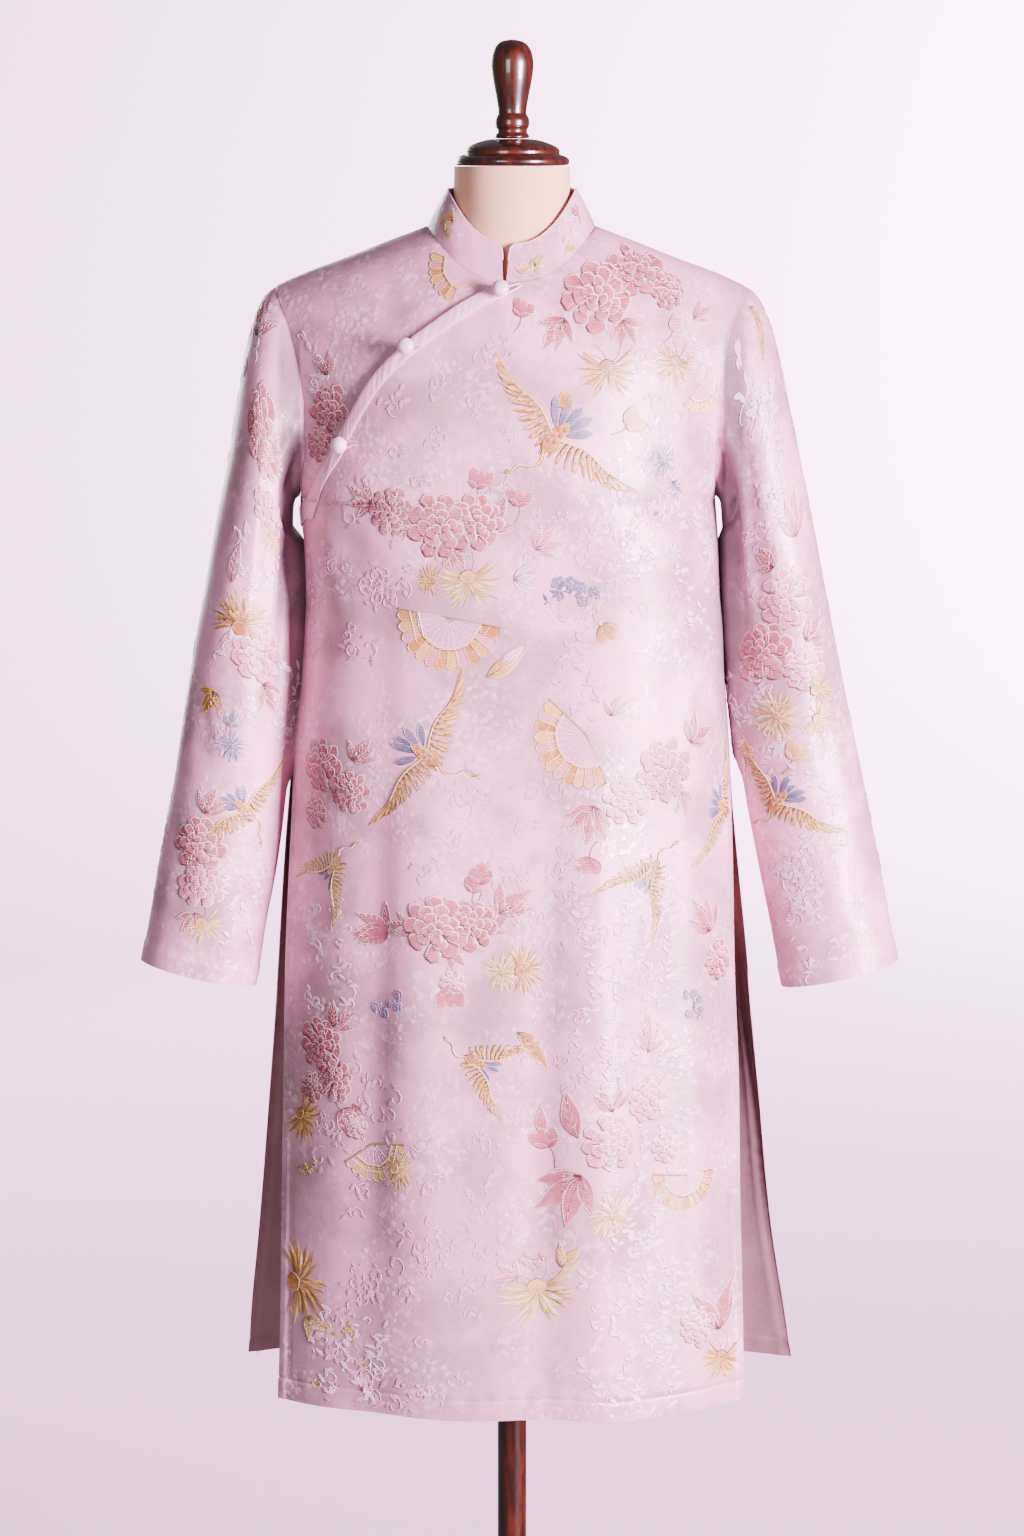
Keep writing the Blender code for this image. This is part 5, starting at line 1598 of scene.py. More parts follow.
    @staticmethod
    def scrolls(size: float, dye: Dye, seed: int, extra: float = 0) -> Sketch:
        """Loose curling lines and small leaves, as in a damask ground."""
        s = Sketch(seed)
        for _ in range(int(extra) or int(size * size / 800)):
            at = np.array([s.vary(size / 2), s.vary(size / 2)])
            reach = s.chance.uniform(5, 12)
            t = np.linspace(0, 1, 9)
            swing = s.chance.choice((-1, 1))
            curl = np.stack([np.cos(t * 5.2) * (1 - 0.75 * t) * swing, np.sin(t * 5.2) * (1 - 0.75 * t)], -1) * reach
            s.line(turned(curl, s.vary(180), at), dye, 1.3, 0, plain=0.5, taper=0.3)
            for k in range(4):
                leaf = petal_outline(reach * s.chance.uniform(0.6, 1.2), reach * 0.42, 1.0, 0.7, steps=5)
                s.patch(turned(leaf, s.vary(180), at + [s.vary(reach), s.vary(reach)]), dye, 0.1 + 0.3 * k, 0.8, 0)
        return s

    @staticmethod
    def cluster(size: float, dye: Dye, seed: int, extra: float = 1) -> Sketch:
        """Two peonies with pointed leaves and a bud; the smaller is on the right where extra is 1."""
        s = Sketch(seed)
        side = extra or 1
        s.stamp(Motifs.spray(size * 1.15, dye, seed + 1), (side * size * 1.5, -size * 0.1), side * 42)
        s.stamp(Motifs.spray(size * 0.95, dye, seed + 2), (-side * size * 0.8, -size * 0.1), -side * 62)
        s.stamp(Motifs.spray(size * 0.8, dye, seed + 3, 4), (side * size * 0.4, -size * 0.7), side * 158)
        s.stamp(Motifs.peony(size * 0.82, dye, seed + 4), (side * size * 1.15, size * 0.12), 20, raise_by=1)
        s.stamp(Motifs.peony(size, dye, seed + 5), (0, 0), raise_by=2)
        s.stamp(Motifs.bud(size * 0.34, dye, seed + 6), (side * size * 1.2, size * 1.35), side * 18)
        return s


class Kind(Enum):
    """The motifs by name."""

    PEONY = "peony"
    LEAF = "leaf"
    SPRAY = "spray"
    BUD = "bud"
    ROSETTE = "chrysanthemum"
    HALF = "half"
    FAN = "fan"
    CRANE = "crane"
    BLOSSOMS = "blossoms"
    FOLIAGE = "foliage"
    SCROLLS = "scrolls"
    CLUSTER = "cluster"


# Rows of size, silk, across, height, and where they differ from 0 the angle and the motif's own extra
Layout = dict[Kind, Sequence[tuple]]


def spots_of(layout: Layout, seed: int) -> list["Spot"]:
    """Draws the motifs of a layout; its run of chance starts at the seed."""
    spots = []
    for kind, rows in layout.items():
        draw = getattr(Motifs, kind.value)
        for size, silk, x, height, *more in rows:
            angle, *extra = *more, *([0] if not more else [])
            seed += 7
            spots.append(Spot(draw(size, silk.value, seed, *extra), x, height, angle))
    return spots


@dataclass(frozen=True)
class Spot:
    """Where a sketch goes: the place of its middle as seen, and its turn in degrees."""

    sketch: Sketch
    x: float
    height: float
    angle: float = 0.0


def store_colours(piece: bpy.types.Object, colours: np.ndarray) -> None:
    """Stores a thread colour on each point of a piece."""
    layer = piece.data.color_attributes.new(THREAD_COLOUR, "FLOAT_COLOR", "POINT")
    layer.data.foreach_set("color", np.column_stack([colours, np.ones(len(colours))]).ravel())


class Brocade(Threadwork):
    """Sketches woven into one piece of cloth."""

    def __init__(self, ground: "BodyGround | SleeveGround | Collar") -> None:
        """Keeps the ground; its right is -1 where lengths along it run towards -X."""
        super().__init__()
        self.ground = ground

    def weave(self, spots: Sequence[Spot]) -> None:
        """Adds sketches at their places."""
        for spot in spots:
            points, colours, faces, parts = spot.sketch.whole()
            flat = turned(points[:, :2], spot.angle)
            start, height = self.ground.start(spot.x, spot.height)
            first, second = (flat[faces[:, k]] - flat[faces[:, 0]] for k in (1, 2))
            back_to_front = first[:, 0] * second[:, 1] < first[:, 1] * second[:, 0]
            faces[back_to_front] = faces[back_to_front][:, ::-1]
            placed = np.column_stack([start + self.ground.right * flat[:, 0], height + flat[:, 1], points[:, 2]])
            self.add(placed, colours, faces, parts, spot.sketch.groups)

    def build(self, name: str, material: bpy.types.Material) -> bpy.types.Object:
        """Makes the mesh, its colours stored on its points, without the patches that run off the piece."""
        flat, colours, faces, parts = self.whole()
        placed, reached = self.ground.put(*flat.T)
        cut = np.zeros(parts.max() + 1, bool)
        cut[parts[~reached]] = True
        kept = ~cut[parts]
        faces = (np.cumsum(kept) - 1)[faces[kept[faces[:, 0]]]]
        made = add_mesh(name, placed[kept], faces, [material], sharp=70)
        store_colours(made, colours[kept])
        return made


@dataclass
class Materials:
    """Every material of the object."""

    satin: bpy.types.Material = field(default_factory=SATIN.build)
    inside: bpy.types.Material = field(default_factory=SATIN_WRONG_SIDE_AND_SHADE.build)
    band: bpy.types.Material = field(default_factory=BAND_SATIN.build)
    button: bpy.types.Material = field(default_factory=BUTTON_SATIN.build)
    brocade: bpy.types.Material = field(default_factory=BROCADE.build)
    sewing: bpy.types.Material = field(default_factory=SEWING.build)
    linen: bpy.types.Material = field(default_factory=FORM_LINEN.build)
    wood: bpy.types.Material = field(default_factory=DARK_WOOD.build)

    @property
    def cloth(self) -> tuple[bpy.types.Material, ...]:
        """Outside, inside and cut edge of the satin."""
        return self.satin, self.inside, self.satin


SEWN = Dye(srgb(240, 196, 220), srgb(216, 166, 192), srgb(160, 100, 126), srgb(150, 104, 126))
LEVEL_SLOPE = 0.28
HEM_ROWS = (24.0, 22.2, 21.0, 20.0, 19.0, 17.8, 16.0, 11.0, 5.0, 0.0)


def settle(piece: bpy.types.Object) -> bpy.types.Object:
    """Lets a piece ride on the part's only body."""
    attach(piece, "root")
    return piece


def shares_between(start: float, end: float, count: int) -> np.ndarray:
    """Shares that lie closer together near the sides, where the section turns."""
    return np.sin(np.linspace(math.asin(start), math.asin(end), count + 1))


def cut_length(outer: Points) -> float:
    """The longest column of a grid in metres."""
    return round(float(np.linalg.norm(np.diff(outer, axis=0), axis=-1).sum(axis=0).max()) * MM + 0.0005, 3)


def cut_width(outer: Points, wrap: bool = False) -> float:
    """The longest row of a grid that lies nearly level, in metres; the longest of all if none does."""
    grid = np.concatenate([outer, outer[:, :1]], axis=1) if wrap else outer
    rows = np.linalg.norm(np.diff(grid, axis=1), axis=-1).sum(axis=1)
    level = np.ptp(grid[..., 2], axis=1) < LEVEL_SLOPE * rows
    return round(float(rows[level].max() if level.any() else rows.max()) * MM + 0.0005, 3)


def hem_relief(above: np.ndarray, depth: float) -> np.ndarray:
    """How a turned-up hem lies: a thicker strip with a stitched groove along its top."""
    strip = 0.9 * (1 - smoothstep(depth - 1.5, depth + 0.5, above))
    return strip - 0.9 * np.exp(-(((above - depth) / 1.6) ** 2))


def puckers(along: np.ndarray, size: float) -> np.ndarray:
    """Small uneven waves, as stitches draw the cloth in."""
    return size * np.sin(along / 2.3 + 1.9 * np.sin(along / 17)) * (0.55 + 0.45 * np.sin(along / 29 + 1))


def near(distance: np.ndarray, reach: float) -> np.ndarray:
    """1 at a distance of 0, and less the further away, over about so many millimetres."""
    return np.exp(-((distance / reach) ** 2))


def stitches(middle: Points, normals: Points, length: float = 2.6, gap: float = 1.0) -> list[Points]:
    """The vertices of short raised threads along a line, nine to a thread.

    Args:
        middle: closely spaced points of the line.
        normals: the cloth's normals there.
        length: length of one stitch.
        gap: cloth between two stitches.
    """
    steps = np.linalg.norm(np.diff(middle, axis=0), axis=-1)
    along = np.concatenate([[0], np.cumsum(steps)])
    made = []
    for k in range(int(along[-1] / (length + gap))):
        at = (k * (length + gap)) + np.array([0, 0.5, 1]) * length
        spine, out = (np.stack([np.interp(at, along, line[:, j]) for j in range(3)], -1) for line in (middle, normals))
        out = unit(out)
        side = unit(np.cross(out, spine[-1] - spine[0])) * 0.42
        raised = spine + out * np.array([[-0.15], [0.28], [-0.15]])
        made.append(np.stack([raised - side - out * 0.2, raised, raised + side - out * 0.2], 1).reshape(-1, 3))
    return made


@dataclass(kw_only=True)
class ClothPiece:
    """A piece of the tunic, with the brocade, stitches or piping on it."""

    materials: Materials
    name: str
    node: str
    wrap: bool = False
    rests_on: str = "dress_form"
    trims: list[bpy.types.Object] = field(default_factory=list)

    def cut(self, grid: Points, normals: Points, thick: float | np.ndarray = CLOTH_THICK) -> None:
        """Makes the cloth from its outer face, in satin."""
        self.hang(grid, add_cloth(f"{self.name}_cloth", grid, normals, thick, self.materials.cloth, self.wrap), "satin")

    def hang(self, grid: Points, cloth: bpy.types.Object, slot: str) -> None:
        """Puts the cloth in the place of its solid."""
        self.grid, self.cloth = grid, settle(cloth)
        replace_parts(self.cloth, self.node)

    def ground(self) -> "BodyGround | SleeveGround | Collar":
        """What the brocade is woven on."""
        raise NotImplementedError

    def weave(self, spots: Sequence[Spot]) -> None:
        """Adds the brocade."""
        brocade = Brocade(self.ground())
        brocade.weave(spots)
        self.trims.append(settle(brocade.build(f"{self.name}_brocade", self.materials.brocade)))

    def stitch(self, lines: Sequence[tuple[Points, Points]]) -> None:
        """Adds machine stitches along lines of points and normals."""
        made = [thread for line in lines for thread in stitches(*line)]
        faces = (grid_faces(3, 3, False) + np.arange(len(made))[:, None, None] * 9).reshape(-1, 4)
        piece = add_mesh(f"{self.name}_stitches", np.concatenate(made), faces, [self.materials.sewing])
        store_colours(piece, np.tile(SEWN.edge, (len(made) * 9, 1)))
        self.trims.append(settle(piece))

    def declare(self) -> None:
        """Works out the size that the piece was cut to, and keeps none of it."""
        self.cloth
        cut_width(self.grid, self.wrap)
        cut_length(self.grid)
        cloth_area(self.grid, self.wrap)
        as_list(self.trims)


@dataclass(kw_only=True)
class BodyPiece(ClothPiece):
    """A piece of the tunic cut from the front or the back surface."""

    side: BodySide
    yoke_rows: int = 62
    arm_rows: int = 48
    skirt_rows: int = 172
    side_hem: float = 11.0
    hem_depth: float = 20.0
    slit_rise: float = 26.0

    def hem(self, share: np.ndarray) -> np.ndarray:
        """Height of the hem."""
        raise NotImplementedError

    def lift(self, share: np.ndarray, height: np.ndarray) -> np.ndarray:
        """How far the cloth stands off the body surface, its hems included."""
        above, half = height - self.hem(share), self.side.half_width(share, height) * 1.25
        out = hem_relief(above, self.hem_depth) + puckers(share * half * 0.5, 0.75) * near(above - self.hem_depth, 9)
        inward = (1 - np.abs(share)) * half
        below_slit = 1 - smoothstep(SLIT_HEIGHT - 12, SLIT_HEIGHT + self.slit_rise, height)
        edge = hem_relief(inward, self.side_hem) + puckers(height, 0.5) * near(inward - 10, 7)
        return out + edge * below_slit * smoothstep(0, 0.004, 1 - np.abs(share) + 0.002)

    def covers(self, share: np.ndarray, height: np.ndarray) -> np.ndarray:
        """Whether the piece reaches a place."""
        return (height > self.hem(share) + 3) & (height < self.side.piece_top(share) - 4)

    def yoke(self, share: float, bottom: float, rows: int) -> np.ndarray:
        """Row heights down from a column's top, which follow the armhole at the sides."""
        top = float(self.side.piece_top(np.array(share)))
        turn = np.linspace(0, math.pi, self.arm_rows + 1)
        arm = (TIP_HEIGHT - ARMPIT_HEIGHT) * (1 - np.cos(turn)) / 2
        rest = np.linspace(arm[-1], max(top - bottom, arm[-1] + 20), rows - self.arm_rows)[1:]
        at_side = np.concatenate([arm, rest])
        middle = (top - bottom) * np.linspace(0, 1, len(at_side)) ** 1.35
        return top - (middle + (at_side - middle) * smoothstep(0.70, 1.0, abs(share)))

    def skirt(self, share: float) -> np.ndarray:
        """Row heights below the yoke, close together at the hem."""
        hem = float(self.hem(np.array(share)))
        rows = np.linspace(YOKE_HEIGHT, hem + HEM_ROWS[0] + 3, self.skirt_rows - len(HEM_ROWS))
        return np.concatenate([rows[1:], hem + np.array(HEM_ROWS)])

    def column(self, share: float) -> np.ndarray:
        """Row heights of one column."""
        return np.concatenate([self.yoke(share, YOKE_HEIGHT, self.yoke_rows), self.skirt(share)])

    def shares(self) -> np.ndarray:
        """The columns' shares of the half-width."""
        side = shares_between(NECK_SHARE, 1, 30)
        return np.concatenate([-side[::-1], shares_between(-NECK_SHARE, NECK_SHARE, 36)[1:-1], side])

    def seam_normals(self, share: np.ndarray, height: np.ndarray, normals: Points) -> Points:
        """Normals turned at the seams, so that each cut edge faces its neighbour's."""
        normals = normals.copy()
        at_side = np.abs(share) > 0.9999
        normals[at_side & (height > ARMPIT_HEIGHT + 0.5), 0] = 0
        normals[at_side & (height < ARMPIT_HEIGHT + 0.5) & (height > SLIT_HEIGHT - 0.5), 1] = 0
        normals[np.abs(height - self.side.top(share)) < 0.01, 1] = 0
        return unit(normals)

    def build(self) -> None:
        """Makes the cloth."""
        shares = self.shares()
        height = np.stack([self.column(share) for share in shares], axis=1)
        share = np.broadcast_to(shares, height.shape)
        grid, normals = self.side.surface(share, height, self.lift(share, height))
        self.cut(grid, self.seam_normals(share, height, normals))

    def ground(self) -> BodyGround:
        """The piece's outer face, to weave and to sew on."""
        return BodyGround(self.side, self.lift, self.covers)

    def sew(self) -> None:
        """Adds the stitches above the hem and beside the open slits."""
        share = np.linspace(-0.985, 0.985, 420)
        seams = [(share, self.hem(share) + self.hem_depth)]
        height = np.linspace(float(self.hem(np.array(0.9))) + 2, SLIT_HEIGHT, 420)
        for sign in (-1, 1):
            width = self.side.half_width(np.full(height.shape, sign), height) * 1.25
            seams.append((sign * (1 - self.side_hem / width), height))
        self.stitch([self.side.surface(*seam, self.lift(*seam) + 0.25) for seam in seams])


@dataclass(kw_only=True)
class FrontPanel(BodyPiece):
    """The main front, which laps over the under front up to the closure."""

    name: str = "front"
    node: str = "front_panel"
    side: BodySide = FRONT

    def hem(self, share: np.ndarray) -> np.ndarray:
        """Height of the hem, which dips a little on the right."""
        return FRONT_HEM - 4.5 * near(share - 0.62, 0.34) + 0.8 * np.sin(share * 9)

    def shares(self) -> np.ndarray:
        """The columns' shares, with one at the front's corner."""
        side = shares_between(NECK_SHARE, 1, 30)
        left = shares_between(-NECK_SHARE, CORNER_SHARE, 18)[1:]
        return np.concatenate([-side[::-1], left, shares_between(CORNER_SHARE, NECK_SHARE, 18)[1:-1], side])

    def column(self, share: float) -> np.ndarray:
        """Row heights of one column; left of the corner they start at the closure."""
        if share > CORNER_SHARE + 1e-6:
            return super().column(share)
        top = float(CLOSURE_HEIGHT(share))
        return np.concatenate([top - (top - YOKE_HEIGHT) * np.linspace(0, 1, self.yoke_rows), self.skirt(share)])

    def lift(self, share: np.ndarray, height: np.ndarray) -> np.ndarray:
        """Adds the lap over the under front."""
        return super().lift(share, height) + lap_lift(share, height)

    def covers(self, share: np.ndarray, height: np.ndarray) -> np.ndarray:
        """Leaves out what the band covers."""
        clear = (share > CORNER_SHARE) | (below_closure(share, height) > BAND_WIDTH * 1.9)
        return super().covers(share, height) & clear


@dataclass(kw_only=True)
class UnderFront(BodyPiece):
    """The part of the front that lies under the lap."""

    name: str = "under"
    node: str = "under_front"
    side: BodySide = FRONT
    rows: int = 62
    last_share: float = 0.02

    def hem(self, share: np.ndarray) -> np.ndarray:
        """Height of the hidden lower edge."""
        return CLOSURE_HEIGHT(np.clip(share, -1, CORNER_SHARE)) - LAP_DEPTH

    def shares(self) -> np.ndarray:
        """The columns' shares."""
        side = shares_between(NECK_SHARE, 1, 30)
        left = shares_between(-NECK_SHARE, CORNER_SHARE, 18)[1:]
        return np.concatenate([-side[::-1], left, [0, self.last_share]])

    def column(self, share: float) -> np.ndarray:
        """Row heights of one column."""
        return self.yoke(share, float(self.hem(np.array(share))), self.rows)

    def lift(self, share: np.ndarray, height: np.ndarray) -> np.ndarray:
        """Goes in under the lap near the side seam."""
        return -lap_tuck(share, height)

    def covers(self, share: np.ndarray, height: np.ndarray) -> np.ndarray:
        """Leaves out what the lap covers."""
        open_part = (share < CORNER_SHARE) & (below_closure(share, height) < -4)
        return open_part & (height < self.side.piece_top(share) - 4)

    def sew(self) -> None:
        """No stitches of its own show."""


@dataclass(kw_only=True)
class BackPanel(BodyPiece):
    """The back, whose flap shows its wrong side below the slits."""

    name: str = "back"
    node: str = "back_panel"
    side: BodySide = BACK
    hem_depth: float = 15.0

    def hem(self, share: np.ndarray) -> np.ndarray:
        """Height of the hem, which hangs lower at the right."""
        return BACK_HEM - 7.0 * smoothstep(0.35, 1.0, share) + 1.2 * np.sin(share * 8)


@dataclass(kw_only=True)
class Sleeve(ClothPiece):
    """A set-in sleeve with a turned hem at the cuff."""

    shape: SleeveSurface
    columns: int = 96
    cuff_depth: float = 20.0
    wrap: bool = True

    def __post_init__(self) -> None:
        """Works out the cuff's height."""
        self.cuff = self.shape.height(np.array(self.shape.last))

    def lift(self, ring: np.ndarray) -> np.ndarray:
        """The relief of the cuff's hem."""
        return hem_relief((self.shape.height(ring) - self.cuff) * 1.02, self.cuff_depth)

    def build(self) -> None:
        """Makes the cloth."""
        lower = self.shape.ring_at(np.linspace(self.shape.height(np.array(5.0)), self.cuff, 112))
        rings = np.concatenate([np.linspace(0, 5, 40)[:-1], lower])
        rings[-1] = self.shape.last
        angles = np.linspace(0, 2 * math.pi, self.columns, endpoint=False)
        ring, angle = np.meshgrid(rings, angles, indexing="ij")
        above = self.shape.height(ring) - self.cuff
        wave = puckers(angle * SleeveSurface.RADIUS + 40, 0.35) * near(above - 19, 7)
        grid, normals = self.shape.surface(ring, angle, self.lift(ring) + wave)
        normals[0, :, 0] = 0
        normals[0] = unit(normals[0])
        self.cut(grid, normals)

    def ground(self) -> SleeveGround:
        """The sleeve's outer face, to weave on."""
        return SleeveGround(self.shape, self.lift)

    def sew(self) -> None:
        """Adds the stitches round the cuff."""
        angle = np.linspace(0, 2 * math.pi, 500)
        ring = np.full(angle.shape, float(self.shape.ring_at(float(self.cuff) + self.cuff_depth / 1.02)))
        self.stitch([self.shape.surface(ring, angle, self.lift(ring) + 0.25)])


@dataclass(kw_only=True)
class Collar(ClothPiece):
    """The stand collar, with rounded front corners and a fine piped edge.

    The ends give where its front ends stand, at the foot and at the top.
    """

    name: str = "collar"
    node: str = "collar"
    rests_on: str = "front_cloth"
    height: float = 34.5
    front_extra: float = 2.0
    top_side: float = 61.0
    top_depth: float = 62.0
    bulge: float = 0.8
    corner: float = 7.0
    left_end: Point2 = (-8.3, -9.6)
    right_end: Point2 = (-5.4, -1.6)
    columns: int = 200
    rows: int = 16
    around: float = 430.0
    radius: float = 72.0
    right: int = 1

    def place(self, along: np.ndarray, up: np.ndarray) -> Points:
        """Points of the outer face: along from the right end round to the left, up from the foot."""
        foot = NECK_SHARE * float(FRONT.left(TIP_HEIGHT))
        start = math.asin(self.right_end[0] / foot)
        end = math.asin(self.left_end[0] / foot) + 2 * math.pi
        angle = start + (end - start) * along
        share = NECK_SHARE * np.sin(angle)
        front = FRONT.base(share, FRONT.neckline(share))
        back = BACK.base(share, BACK.neckline(share))
        low = np.where((np.cos(angle) >= 0)[..., None], front, back)
        top_start = math.asin(self.right_end[1] / self.top_side)
        top_end = math.asin(self.left_end[1] / self.top_side) + 2 * math.pi
        turn = top_start + (top_end - top_start) * along
        rise = self.height + self.front_extra * np.cos(angle)
        top = np.stack(
            [self.top_side * np.sin(turn), NECK_AXIS_Y - self.top_depth * np.cos(turn), low[..., 2] + rise], -1
        )
        inward = unit(([0, NECK_AXIS_Y, 0] - low) * [1, 1, 0])
        foot_line = low + inward * SEAM_GAP + [0, 0, SEAM_GAP]
        up = up[..., None]
        return foot_line * (1 - up) + top * up - inward * self.bulge * 4 * up * (1 - up)

    def limit(self, along: np.ndarray) -> np.ndarray:
        """How far up the cloth goes, less at the rounded corners."""
        from_end = np.minimum(along, 1 - along) * self.around
        dip = self.corner * (1 - np.sqrt(1 - (1 - np.clip(from_end / self.corner, 0, 1)) ** 2))
        return 1 - dip / self.height

    def face(self, along: np.ndarray, up: np.ndarray) -> tuple[Points, Points]:
        """Points and outward normals."""
        points = self.place(along, up)
        step = 0.002
        across = self.place(np.clip(along + step, 0, 1), up) - self.place(np.clip(along - step, 0, 1), up)
        rise = self.place(along, up + 0.02) - self.place(along, up - 0.02)
        return points, unit(np.cross(across, rise))

    def build(self) -> None:
        """Makes the collar and its piping."""
        ends = np.sin(np.linspace(-math.pi / 2, math.pi / 2, 17)[:9]) / 2 + 0.5
        close = ends * 0.06
        along = np.concatenate([close[:-1], np.linspace(close[-1], 1 - close[-1], self.columns), 1 - close[:-1][::-1]])
        up = np.linspace(1, 0, self.rows)[:, None] * self.limit(along)[None, :]
        grid_along = np.broadcast_to(along, up.shape)
        grid, normals = self.face(grid_along, up)
        ripple = 0.18 * np.sin(grid_along * 95) * np.sin(up * 5 + grid_along * 20)
        grid = grid + normals * ripple[..., None]
        self.cut(grid, normals, COLLAR_THICK)
        edge, out = (np.concatenate([part[4:0:-1, 0], part[0], part[1:5, -1]]) for part in (grid, normals))
        points, faces = tube(edge - out * COLLAR_THICK * 0.45 + [0, 0, 0.25], 1.0, 8)
        piping = settle(add_mesh("collar_piping", points, faces, [self.materials.band]))
        self.trims.append(piping)

    def start(self, x: float, height: float) -> tuple[float, float]:
        """Where a motif's middle lies: x as seen from in front, height above the foot."""
        turn = math.asin(np.clip(x / self.radius, -1, 1)) / (2 * math.pi)
        return turn * self.around + (self.around if x < self.right_end[0] else 0), height

    def put(self, along: np.ndarray, height: np.ndarray, off: np.ndarray) -> tuple[Points, np.ndarray]:
        """Points of the flat cloth where they stand, and whether the collar reaches them."""
        share, up = along / self.around + 0.012, height / self.height
        reached = (share > 0.008) & (share < 0.992) & (up > 0.06) & (up < 0.93)
        points, normals = self.face(np.clip(share, 0.002, 0.998), np.clip(up, 0.01, 0.97))
        return points + normals * off[:, None], reached

    def ground(self) -> "Collar":
        """The collar itself, to weave on."""
        return self


@dataclass(kw_only=True)
class ClosureBand(ClothPiece):
    """The bias band along the closure, drawn in along its stitches."""

    name: str = "closure_band"
    node: str = "closure_band"
    rests_on: str = "front_cloth"
    columns: int = 300
    rows: int = 13

    @staticmethod
    def slant(share: np.ndarray) -> np.ndarray:
        """How much longer a width across the closure is when it is measured upright."""
        low, high = np.clip(share - 0.02, -1, CORNER_SHARE), np.clip(share + 0.02, -1, CORNER_SHARE)
        rise = CLOSURE_HEIGHT(high) - CLOSURE_HEIGHT(low)
        return np.hypot(1, rise / ((high - low) * float(FRONT.left(TIP_HEIGHT))))

    def build(self) -> None:
        """Makes the band."""
        line = np.linspace(-1, CORNER_SHARE, self.columns)
        share, across = np.broadcast_arrays(line[None, :], np.linspace(0, 1, self.rows)[:, None])
        height = CLOSURE_HEIGHT(line)[None, :] - across * BAND_WIDTH * self.slant(line)[None, :]
        points, _ = FRONT.surface(share, height)
        steps = np.linalg.norm(np.diff(points[6], axis=0), axis=-1)
        along = np.concatenate([[0], np.cumsum(steps)])[None, :]
        domed = 1 - (2 * across - 1) ** 4
        slanted = along + across * 7
        wave = np.sin(slanted / 3.1 + 2.6 * np.sin(along / 14)) * (0.45 + 0.55 * np.sin(along / 19 + 2))
        wave = wave + 0.4 * np.sin(slanted / 1.7 + 1.9 * np.sin(along / 8)) * np.sin(along / 27)
        free = smoothstep(0, 0.04, 1 + share)
        above = SEAM_GAP + BAND_THICK + (0.6 * domed + 0.34 * wave * (1 - (2 * across - 1) ** 2)) * free
        grid, normals = FRONT.surface(share, height, lap_lift(share, height) + above)
        cloth = add_cloth(f"{self.name}_cloth", grid, normals, above - SEAM_GAP, (self.materials.band,) * 3)
        self.hang(grid, cloth, "satin_band")


def front_frame(x: float, height: float, off: float) -> tuple[Points, Points]:
    """A point so far off the front's lap, and the outward normal."""
    share = FRONT.share_at(np.array([x]), np.array([height]))
    level = np.array([height])
    points, normals = FRONT.surface(share, level, lap_lift(share, level) + off)
    return points[0], normals[0]


@dataclass(frozen=True)
class Fastening:
    """A covered ball button and the cord loop that holds it."""

    number: int
    x: float
    height: float
    loop_length: float
    loop_angle: float
    radius: float = 7.8
    half_height: float = 6.6
    shank_radius: float = 2.6
    shank_height: float = 2.4
    cord_radius: float = 0.9
    cord_spread: float = 1.1

    def build(self, materials: Materials) -> None:
        """Makes the button and the loop."""
        self.build_button(materials)
        self.build_loop(materials)

    def build_button(self, materials: Materials) -> None:
        """The button: satin drawn over a ball, with faint gathers towards its shank."""
        sides, rows = 64, 30
        cut = math.asin(self.shank_radius / self.radius)
        down = np.linspace(0.001, math.pi - cut, rows)
        turn = np.linspace(0, 2 * math.pi, sides, endpoint=False)
        squash = np.sign(np.cos(down)) * np.abs(np.cos(down)) ** 0.9
        flat = np.sin(down) ** 0.86
        gather = 0.16 * np.sin(turn * 11 + 1.3 * np.sin(turn * 3))[None, :] * smoothstep(1.2, 2.4, down)[:, None]
        radius = self.radius * flat[:, None] + gather
        centre = self.shank_height + self.half_height
        ball = np.stack(
            [radius * np.cos(turn), radius * np.sin(turn),
             np.broadcast_to((centre + self.half_height * squash)[:, None], radius.shape)], -1,
        )
        foot = ball[-1] * [self.shank_radius / self.radius / flat[-1]] * [1, 1, 0]
        rings = np.concatenate([ball, foot[None], foot[None] * 0.02])
        seat, normal = front_frame(self.x, self.height, SEAM_GAP + BAND_THICK + 0.6)
        turned_to = np.array(Vector((0, 0, 1)).rotation_difference(Vector(normal)).to_matrix())
        points = rings.reshape(-1, 3) @ turned_to.T + seat
        faces = grid_faces(len(rings), sides, True)[:, ::-1]
        made = add_mesh(f"covered_button_{self.number}", points, faces, [materials.button], sharp=60)
        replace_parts(settle(made), f"button_{self.number}")

    def build_loop(self, materials: Materials) -> None:
        """The loop: one cord out round the shank and back."""
        bend = self.shank_radius + self.cord_radius + SEAM_GAP
        out = np.linspace(self.loop_length, 0, 22, endpoint=False)
        side = self.cord_spread + (bend - self.cord_spread) * (1 - out / self.loop_length)
        turn = math.pi * (0.5 + np.linspace(0, 1, 18))
        route = np.concatenate([
            np.column_stack([out, side]),
            np.column_stack([np.cos(turn), np.sin(turn)]) * bend,
            np.column_stack([out, -side])[::-1],
        ])
        c, s = math.cos(math.radians(self.loop_angle)), math.sin(math.radians(self.loop_angle))
        path = []
        for along, across in route:
            x, height = self.x + along * c - across * s, self.height + along * s + across * c
            path.append(front_frame(x, height, SEAM_GAP * 2 + BAND_THICK + self.cord_radius + 0.5)[0])
        points, faces = tube(np.array(path), self.cord_radius, 10)
        made = add_mesh(f"loop_cord_{self.number}", points, faces, [materials.button])
        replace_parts(settle(made), f"loop_{self.number}")


